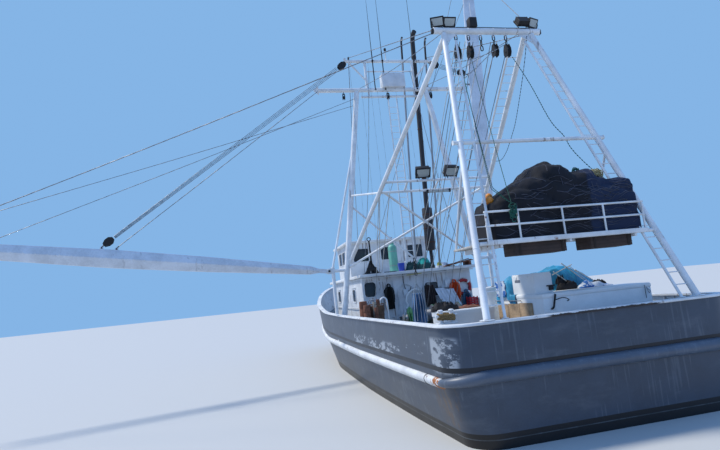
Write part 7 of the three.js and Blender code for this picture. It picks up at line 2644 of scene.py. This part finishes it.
# A lumpy heap on a flat place, closed below
def addHeap(bm, centre, size, height, slot=0, seed=0, rings=14, sides=36, rough=0.3, split=None):
    centre = Vector(centre)
    grid = []
    for r in range(rings + 1):
        slope = r / rings * math.pi / 2
        z = height * math.cos(slope) ** 0.8
        line = []
        for c, s in circle(1.0, sides):
            reach = (1 + 0.25 * noise.noise(Vector((c * 1.4, s * 1.4, seed)))) * math.sin(slope)
            x, y = size[0] * reach * c, size[1] * reach * s
            fold = noise.fractal(Vector((x * 5 / max(size), y * 5 / max(size), seed)), 0.8, 2.1, 4)
            line.append(centre + Vector((x, y, max(z * (1 + rough * fold), 0.0))))
        grid.append(addPoints(bm, line))
    for r in range(rings):
        for k in range(sides):
            after = (k + 1) % sides
            face = bm.faces.new((grid[r][k], grid[r + 1][k], grid[r + 1][after], grid[r][after]))
            face.material_index = slot if split is None or r < split * rings else slot + 1
            face.smooth = True
    bm.faces.new(grid[-1]).material_index = slot
    bmesh.ops.remove_doubles(bm, verts=bm.verts, dist=0.0005)


# Blue cover thrown over gear on the deck box, with poles across it and a bundle at its foot
cover = {
    "topZ": 2.8002,
    "left": -0.66,
    "right": 2.27,
    "aft": -10.04,
    "fore": -9.03,
    "middleY": -9.5,
    "line": ((-0.70, 0.24, 0.10), (-0.60, 0.26, 0.38), (-0.35, 0.29, 0.49), (0.15, 0.31, 0.50),
             (0.45, 0.40, 0.52),
             (0.90, 0.47, 0.66), (1.30, 0.45, 0.62), (1.70, 0.38, 0.42), (2.05, 0.26, 0.18),
             (2.27, 0.15, 0.03)),
    "columns": 120,
    "rows": 52,
}


def coverHeight(data, x, y):
    line = data["line"]
    for (x0, half0, high0), (x1, half1, high1) in zip(line, line[1:]):
        if x0 <= x <= x1:
            share = (x - x0) / (x1 - x0)
            share = share * share * (3 - 2 * share)
            half, high = half0 + share * (half1 - half0), high0 + share * (high1 - high0)
            break
    else:
        return 0.0
    away = abs(y - data["middleY"]) / half
    body = high * max(1 - away ** 2.4, 0) ** 0.75 if away < 1 else 0.0
    crease = abs(noise.noise(Vector((x * 2.2 + y * 1.7, y * 2.4 - x, 5)))) * 0.13
    crease += abs(noise.noise(Vector((x * 5.5, y * 6 + x * 2, 8)))) * 0.07
    return max(body - crease * min(body * 6, 1) + 0.012 * abs(noise.noise(Vector((x * 6, y * 6, 2)))), 0.0)


def makeCover(data):
    rows = []
    for i in range(data["rows"] + 1):
        y = data["aft"] + (data["fore"] - data["aft"]) * i / data["rows"]
        line = []
        for k in range(data["columns"] + 1):
            x = data["left"] + (data["right"] - data["left"]) * k / data["columns"]
            edge = y + 0.05 * noise.noise(Vector((x * 1.7, i / data["rows"] * 2, 11)))
            z = data["topZ"] + 0.006 + coverHeight(data, x, edge)
            if x < -0.575:  # hangs over the end of the box
                z -= (-0.575 - x) * 2.6
            line.append(Vector((max(x, -0.585 - 0.02 * abs(noise.noise(Vector((y * 9, z * 4, 1))))), edge,
                                z)))
        rows.append(line)
    makeCloth("blueCover", rows, "tarpBlue", replaces=["tarp_heap"])
    bm = bmesh.new()
    for a, b, radius in (((0.88, -9.99, 3.49), (1.47, -9.98, 3.01), 0.014),
                         ((1.27, -9.97, 3.29), (1.74, -9.99, 2.97), 0.016),
                         ((0.62, -9.99, 3.29), (1.12, -10.06, 2.85), 0.014),
                         ((0.58, -9.98, 3.21), (1.2, -9.97, 3.43), 0.012),
                         ((1.12, -9.97, 3.40), (1.62, -10.0, 2.92), 0.010)):
        addPipe(bm, [a, b], radius, 8, 0)
    finishPiece("coverPoles", bm, ["polePale"])
    bm = bmesh.new()
    for x, y, up, size, height, seed, rough in ((0.92, -10.05, 0, (0.34, 0.11), 0.20, 3, 0.7),
                                                (0.80, -9.99, 0.16, (0.16, 0.06), 0.18, 6, 0.6),
                                                (1.86, -10.02, 0, (0.24, 0.14), 0.15, 8, 0.6)):
        addHeap(bm, (x, y, data["topZ"] + up), size, height, 0, seed, rough=rough)
    finishPiece("darkSacking", bm, ["sackBlack"])
    rows = []
    for i in range(19):
        line = []
        for k in range(41):
            x, y = 1.12 + 0.95 * k / 40, -10.34 + 0.34 * i / 18
            rise = 0.20 * math.sin(math.pi * k / 40) ** 0.6 * math.sin(math.pi * i / 18) ** 0.6
            z = data["topZ"] + 0.006 + rise * (0.75 + 0.6 * noise.noise(Vector((x * 4, y * 5, 6)))) * (1.15
                    - 0.5 * k / 40)
            line.append((x, y, z))
        rows.append(line)
    makeCloth("paleBundle", rows, "clothPattern")
    rows = []
    for i in range(15):
        outs = [0.02 * abs(math.sin(k * 0.9)) + 0.02 * abs(noise.noise(Vector((k * 0.4, i * 0.3, 5))))
                for k in range(25)]
        rows.append([(-0.60 - out, -9.62 + 0.5 * k / 24 + 0.02 * math.sin(i), 3.18 - 0.40 * i / 14)
                     for k, out in enumerate(outs)])
    makeCloth("patternCloth", rows, "clothPattern")


# What hangs on the after wall
wallGear = {
    "y": -0.80,
    "hankAt": (-0.90, -3.15),
    "fallTop": 6.25,
    "jacketOrange": {"hook": (1.60, 3.30), "length": 0.88, "cloth": 1.0, "top": 0.26, "low": 0.40,
                     "folds": 4},
    "jacketBlack": {"hook": (-1.36, 3.38), "length": 0.95, "cloth": 1.05, "top": 0.20, "low": 0.38,
                    "folds": 5},
    "jacketNavy": {"hook": (2.10, 2.82), "length": 0.75, "cloth": 0.8, "top": 0.18, "low": 0.30, "folds": 4},
}


def makeJacket(name, data, wallY, finish, seed, body="vessel"):
    x, z = data["hook"]
    bm = bmesh.new()
    for sign in (-1, 1):
        half = data["top"] * 0.5
        arm = ((data["top"] * 0.42, 0, 0.05), (half + 0.05, 0.02, 0.16), (half + 0.08, 0.03, 0.42),
               (half + 0.06, 0.02, 0.66))
        line = smoothLine([(x + sign * out, wallY - off, z - down) for out, off, down in arm], 6)
        radii = [0.062 - 0.018 * k / len(line) + 0.006 * math.sin(k * 1.9 + seed) for k in range(len(line))]
        addPipe(bm, line, radii, 14)
    addBent(bm, [(x - 0.07, wallY, z - 0.03), (x - 0.06, wallY + 0.01, z + 0.07), (x, wallY + 0.02, z + 0.10),
                 (x + 0.06, wallY + 0.01, z + 0.07), (x + 0.07, wallY, z - 0.03)], 5, 0.034, 10)
    sleeves = finishPiece(name + "Sleeves", bm, [finish], body=body)
    rows = hungRows((x, wallY, z), data["length"], data["cloth"], data["top"], data["low"], data["folds"],
                    seed=seed)
    makeCloth(name, rows, finish, body)


# A bent hook on its small plate
def addHook(bm, x, z, y, wallY):
    addBent(bm, [(x, wallY, z), (x, y - 0.01, z - 0.01), (x, y - 0.03, z + 0.04)], 4, 0.010, 8)
    addBlock(bm, (x - 0.03, -0.662, z - 0.04), (x + 0.03, -0.649, z + 0.04))


def makeWallGear(data):
    y = data["y"]
    # hooks, a thin yellow pole under the eave, hose and bent white pipe
    bm = bmesh.new()
    hooks = [(data[k]["hook"][0], data[k]["hook"][1] + 0.06) for k in ("jacketOrange",
            "jacketNavy")] + [(0.92, 3.16),
            (1.38, 3.08), (0.42, 3.34)]
    for x, z in hooks:
        addHook(bm, x, z, y, deckhouse["aftY"])
    addPipe(bm, [(-0.55, -0.93, 3.79), (0.12, -0.93, 3.82)], 0.014, 8, 1)
    for x in (-0.45, 0.05):
        addPipe(bm, [(x, -0.93, 3.80), (x, -0.93, 3.851)], 0.006, 6, 0)
    addBent(bm, [(-0.66, -0.70, 3.849), (-0.66, -0.72, 3.5), (-0.60, -0.74, 3.2), (-0.44, -0.74, 3.12),
                 (-0.36, -0.76, 3.3)], 7, 0.016, 8, 2)
    addBent(bm, [(0.02, -0.78, 3.12), (-0.30, -0.82, 3.16), (-0.56, -0.84, 2.98), (-0.66, -0.84, 2.7),
                 (-0.60, -0.84, 2.5), (-0.74, -0.84, 2.3), (-0.86, -0.84, 1.9), (-0.86, -0.84, 1.39)], 7,
                 0.036, 12,
                 3)
    finishPiece("wallHooks", bm, ["bareSteel", "poleYellow", "hoseBlack", "chestWhite"])
    makeJacket("orangeJacket", data["jacketOrange"], y, "clothOrange", 2)
    bm = bmesh.new()
    x, z = data["jacketBlack"]["hook"]
    addHook(bm, x, z + 0.06, y, deckhouse["aftY"] + 0.004)
    finishPiece("doorHook", bm, ["bareSteel"], body="deckhouse_door_leaf")
    makeJacket("blackJacket", data["jacketBlack"], y, "clothBlack", 5, "deckhouse_door_leaf")
    makeJacket("navyJacket", data["jacketNavy"], y, "clothNavy", 8)
    # white sheets of cloth slung between hooks, dark ones behind them
    for name, x, z, off, cloth, length, low, gather, folds, lean, finish, seed in (
            ("sheetLeft", 0.86, 3.10, 0.10, 0.43, 0.66, 0.42, 0.97, 3, (0.24, -0.10), "clothWhite", 11),
            ("sheetRight", 1.28, 3.04, 0.10, 0.45, 0.72, 0.42, 0.97, 3, (0.26, -0.12), "clothWhite", 14),
            ("darkCloth", 0.42, 3.28, 0.02, 0.95, 0.92, 0.50, 0.86, 5, (0.04, 0.0), "clothBrown", 17)):
        rows = hungRows((x, y - off, z), length, cloth, low * gather, low, folds, lean, seed=seed)
        makeCloth(name, rows, finish)
    # hank of blue netting with its pale ropes, on a chain under the crossed braces
    x, y = data["hankAt"]
    bm = bmesh.new()
    for side, (dx, dz) in enumerate(((-0.22, 0.0), (0.22, 0.05), (-0.12, 0.1), (0.13, 0.02), (0.02, 0.06))):
        addRope(bm, [smoothLine([(x + 0.01 * side, y, 3.36), (x + dx * 0.75, y - 0.09, 3.08),
                                 (x + dx, y - 0.13, 2.75), (x + dx * 1.08, y - 0.14, 2.3),
                                 (x + dx * 1.15, y - 0.13, 1.88 + dz)], 8)], 0.017, 0, step=0.03)
    addRope(bm, [smoothLine([(x + 0.04, y, 3.72), (x + 0.01, y - 0.02, 3.55), (x, y, 3.36)], 6)], 0.02, 0,
            step=0.03)
    ropes = finishPiece("hankRopes", bm, ["paleRope"])
    makeCloth("blueHank", hungRows((x, y, 3.02), 1.15, 2.0, 0.36, 0.52, 6, seed=21, rows=24), "netBlue")
    bm = bmesh.new()
    addChain(bm, (x + 0.04, y, 4.35), (x + 0.04, y, 3.7), 0, 1.3)
    addPipe(bm, [(x + 0.04, y, 4.33), (x + 0.04, y, data["fallTop"])], 0.012, 8, 1)
    finishPiece("hangingChain", bm, ["ironBlack", "paleRope"])


# Gear that stands on the deck, on the tub and along the port rail
def makeDeckStores():
    bm = bmesh.new()
    for x0, x1, y0, y1, z0, z1, slot in ((-0.78, -0.30, -1.42, -1.0, deckTop, 1.9, 1),
                                         (-0.76, -0.32, -1.40, -1.02, 1.901, 2.4, 0),
                                         (-1.08, -0.82, -1.3, -0.98, deckTop, 2.1, 1)):
        addBlock(bm, (x0, y0, z0), (x1, y1, z1), slot, bevel=0.02)
        addBlock(bm, (x0 - 0.012, y0 - 0.012, z1 - 0.05), (x1 + 0.012, y1 + 0.012, z1 - 0.004), slot,
                 bevel=0.008)
    finishPiece("greyBins", bm, ["binGrey", "binDark"])
    # three slatted red crates, one on another
    bm = bmesh.new()
    for level in range(3):
        z = deckTop + 0.0008 + 0.413 * level
        x0, x1, y0, y1 = 2.02, 2.40, -1.28, -0.90
        for k in range(4):
            low = z + 0.095 * k + 0.02
            for a, b in (((x0, y0), (x1, y0 + 0.014)), ((x0, y1 - 0.014), (x1, y1)),
                         ((x0, y0), (x0 + 0.014, y1)),
                         ((x1 - 0.014, y0), (x1, y1))):
                addBlock(bm, (*a, low), (*b, low + 0.06), 0)
        for cx in (x0 + 0.02, x1 - 0.02):
            for cy in (y0 + 0.02, y1 - 0.02):
                addBlock(bm, (cx - 0.022, cy - 0.022, z), (cx + 0.022, cy + 0.022, z + 0.41), bevel=0.006)
        addBlock(bm, (x0, y0, z), (x1, y1, z + 0.02), 0)
    finishPiece("redCrates", bm, ["crateRed"])
    # rolls of matting, tub of grey, arched white pipe beside the baskets
    bm = bmesh.new()
    for x, y, radius, top, slot in ((-2.62, -3.2, 0.075, 2.86, 1), (-2.45, -3.05, 0.07, 2.94, 0),
                                    (-2.66, -3.55, 0.07, 2.66, 0), (-3.02, -3.05, 0.15, 2.92, 0),
                                    (-2.98, -3.42, 0.13, 2.78, 0), (-2.99, -2.70, 0.12, 2.6, 1)):
        addTurned(bm, (x, y, deckTop), (0, 0, 1), [(0, radius), (0.25, radius * 1.03), (0.27, radius * 0.94),
                                                   (0.29, radius * 1.03), (top - deckTop - 0.3, radius),
                                                   (top - deckTop - 0.28, radius * 0.92),
                                                   (top - deckTop - 0.26, radius),
                                               (top - deckTop - 0.02, radius * 0.97),
                                               (top - deckTop, radius * 0.86),
                                               (top - deckTop - 0.02, radius * 0.6),
                                               (top - deckTop - 0.05, radius * 0.5)], 24, slot)
    addBent(bm, [(-2.08, -3.0, deckTop), (-2.08, -3.0, 2.7), (-2.12, -3.0, 2.93), (-2.22, -3.0, 2.98),
                 (-2.33, -3.02, 2.9), (-2.36, -3.02, 2.76)], 6, 0.034, 12, 2)
    for k, x in enumerate((-2.80, -2.74)):
        addBent(bm, [(x, -2.86 - 0.1 * k, deckTop), (x - 0.02, -2.85 - 0.1 * k, 2.6),
                     (x + 0.06, -2.9 - 0.1 * k, 2.92), (x + 0.2, -2.95 - 0.1 * k, 2.93)], 6, 0.02, 10, 3)
    finishPiece("railsideGear", bm, ["rollBrown", "rollBuff", "chestWhite", "binGrey"])
    # net and rope heaped on the tub
    bm = bmesh.new()
    addHeap(bm, (-2.02, -8.72, tubTop), (0.42, 0.26), 0.20, 0, 5, rough=0.6)
    addHeap(bm, (-1.28, -8.66, tubTop), (0.34, 0.20), 0.07, 1, 7, rough=0.5)
    finishPiece("tubHeap", bm, ["sackBlack", "rollBrown"])
    # bitt on the rail at the quarter, with turns of yellow-brown rope
    bm = bmesh.new()
    x, y, z = -3.12, -11.72, 2.44
    for dx in (-0.03, 0.03):
        addTurned(bm, (x + dx * 4, y, z), (0, 0, 1), [(0, 0.045), (0.24, 0.045), (0.26, 0.06), (0.28, 0.055),
                                                      (0.29, 0.03)], 18, 0)
    addBlock(bm, (x - 0.22, y - 0.09, z - 0.012), (x + 0.22, y + 0.09, z + 0.02), bevel=0.006)
    addPipe(bm, [(x - 0.24, y, z + 0.16), (x + 0.24, y, z + 0.16)], 0.03, 12, 0)
    finishPiece("quarterBitt", bm, ["railWhite"])
    bm = bmesh.new()
    turns = []
    for k in range(200):
        angle = 2 * math.pi * k / 20
        wide, deep = 0.17 + 0.025 * math.sin(k * 0.37), 0.085 * (1 + 0.15 * math.sin(k * 0.71))
        high = 0.05 + 0.010 * k / 20 + 0.07 * abs(math.sin(angle * 0.5 + k * 0.02))
        turns.append(Vector((x + wide * math.cos(angle), y + deep * math.sin(angle), z + high)))
    addRope(bm, [turns], 0.019, 0, step=0.03)
    finishPiece("bittRope", bm, ["ropeTan"])


# On the roof of the deckhouse
def makeRoofGear():
    bm = bmesh.new()
    # bent post with an eye, in a black bracket
    addPipe(bm, [(-1.92, -0.45, roofTop), (-1.92, -0.45, 4.6), (-1.93, -0.45, 5.42)], [0.055, 0.042, 0.032],
            14)
    eye = circle(0.075, 20)
    ring = [(-1.93 + s, -0.45, 5.495 + c) for c, s in (*eye, eye[0])]
    addPipe(bm, ring, 0.018, 8)
    for x0, x1 in ((-2.26, -2.02), (-1.60, -1.82)):
        addPlate(bm, [(x0, -0.52, roofTop), (x1, -0.52, roofTop), (-1.95, -0.50, 4.56), (-2.0, -0.50, 4.56)],
                 0.03)
        addPlate(bm, [(x0, -0.30, roofTop), (x1, -0.30, roofTop), (-1.90, -0.38, 4.50), (-1.95, -0.38, 4.50)],
                 0.03)
    addBlock(bm, (-2.32, -0.60, roofTop), (-1.55, -0.22, roofTop + 0.05), bevel=0.008)
    addBlock(bm, (-2.12, -0.54, roofTop + 0.16), (-1.72, -0.30, roofTop + 0.30), bevel=0.02)
    addBlock(bm, (-1.52, -0.97, roofTop), (-0.98, -0.90, roofTop + 0.045), bevel=0.01)
    addBlock(bm, (-2.58, -0.985, 3.90), (-1.45, -0.955, roofTop + 0.012), bevel=0.006)
    finishPiece("roofBracket", bm, ["ironBlack"])
    bm = bmesh.new()
    addTurned(bm, (-0.63, -0.55, roofTop), (0, 0, 1), [(0, 0.115), (0.01, 0.12), (0.34, 0.15), (0.345, 0.158),
                                                       (0.365, 0.158), (0.37, 0.150), (0.36, 0.140),
                                                       (0.05, 0.108)],
                                                       28, 0)
    addBent(bm, [(-0.78, -0.55, 4.33), (-0.72, -0.62, 4.40), (-0.63, -0.64, 4.43), (-0.54, -0.62, 4.40),
                 (-0.48, -0.55, 4.33)], 5, 0.005, 6, 1)
    addTurned(bm, (-0.41, -0.48, roofTop), (0, 0, 1), [(0, 0.05), (0.42, 0.05), (0.43, 0.03)], 16, 2)
    finishPiece("roofBucket", bm, ["bucketBlue", "bareSteel", "chestWhite"])
    bm = bmesh.new()
    addHeap(bm, (-0.14, -0.42, roofTop), (0.34, 0.26), 0.34, 1, 2, rough=0.5)
    addHeap(bm, (0.45, -0.45, roofTop), (0.36, 0.30), 0.46, 0, 6, rough=0.35, split=0.62)
    finishPiece("roofNets", bm, ["netTeal", "netDeepTeal"])
    bm = bmesh.new()
    for x, y, z0, z1, dy, slot in ((1.30, -0.62, roofTop + 0.02, roofTop + 0.26, 0.14, 0),
                                   (1.26, -0.86, roofTop + 0.06, roofTop + 0.22, 0.10, 1),
                                   (1.40, -0.40, roofTop + 0.05, roofTop + 0.31, 0.12, 1),
                                   (1.35, -0.74, roofTop + 0.10, roofTop + 0.24, 0.08, 0)):
        addPlate(bm, [(x, y - dy, z0), (2.56, y - dy * 0.8, z1), (2.56, y + dy * 0.8, z1 + 0.004),
                      (x, y + dy, z0 + 0.004)], 0.028, slot)
    addBlock(bm, (2.35, -0.95, roofTop), (2.45, -0.25, roofTop + 0.18), 1, bevel=0.01)
    addBlock(bm, (1.62, -0.9, roofTop), (1.70, -0.3, roofTop + 0.05), 1, bevel=0.01)
    finishPiece("roofBoards", bm, ["darkBoard", "rollBrown"])
    bm = bmesh.new()
    for x, y, up, size, height, slot, seed, rough in ((1.16, -0.35, 0, (0.15, 0.14), 0.13, 1, 12, 0.5),
                                                      (1.20, -0.35, 0.11, (0.12, 0.08), 0.13, 0, 13, 0.8),
                                                      (1.50, 0.0, 0, (0.30, 0.2), 0.24, 1, 15, 0.4)):
        addHeap(bm, (x, y, roofTop + up), size, height, slot, seed, rough=rough)
    finishPiece("roofSacks", bm, ["poleYellow", "clothWhite"])


makeCover(cover)
makeWallGear(wallGear)
makeDeckStores()
makeRoofGear()
print("gear on deck, wall and roof")

for name, finish in (("keel_skeg", "bottomBlack"), ("propeller_shaft", "bareSteel")):
    nodes[name].data.materials.clear()
    nodes[name].data.materials.append(finishes[finish])
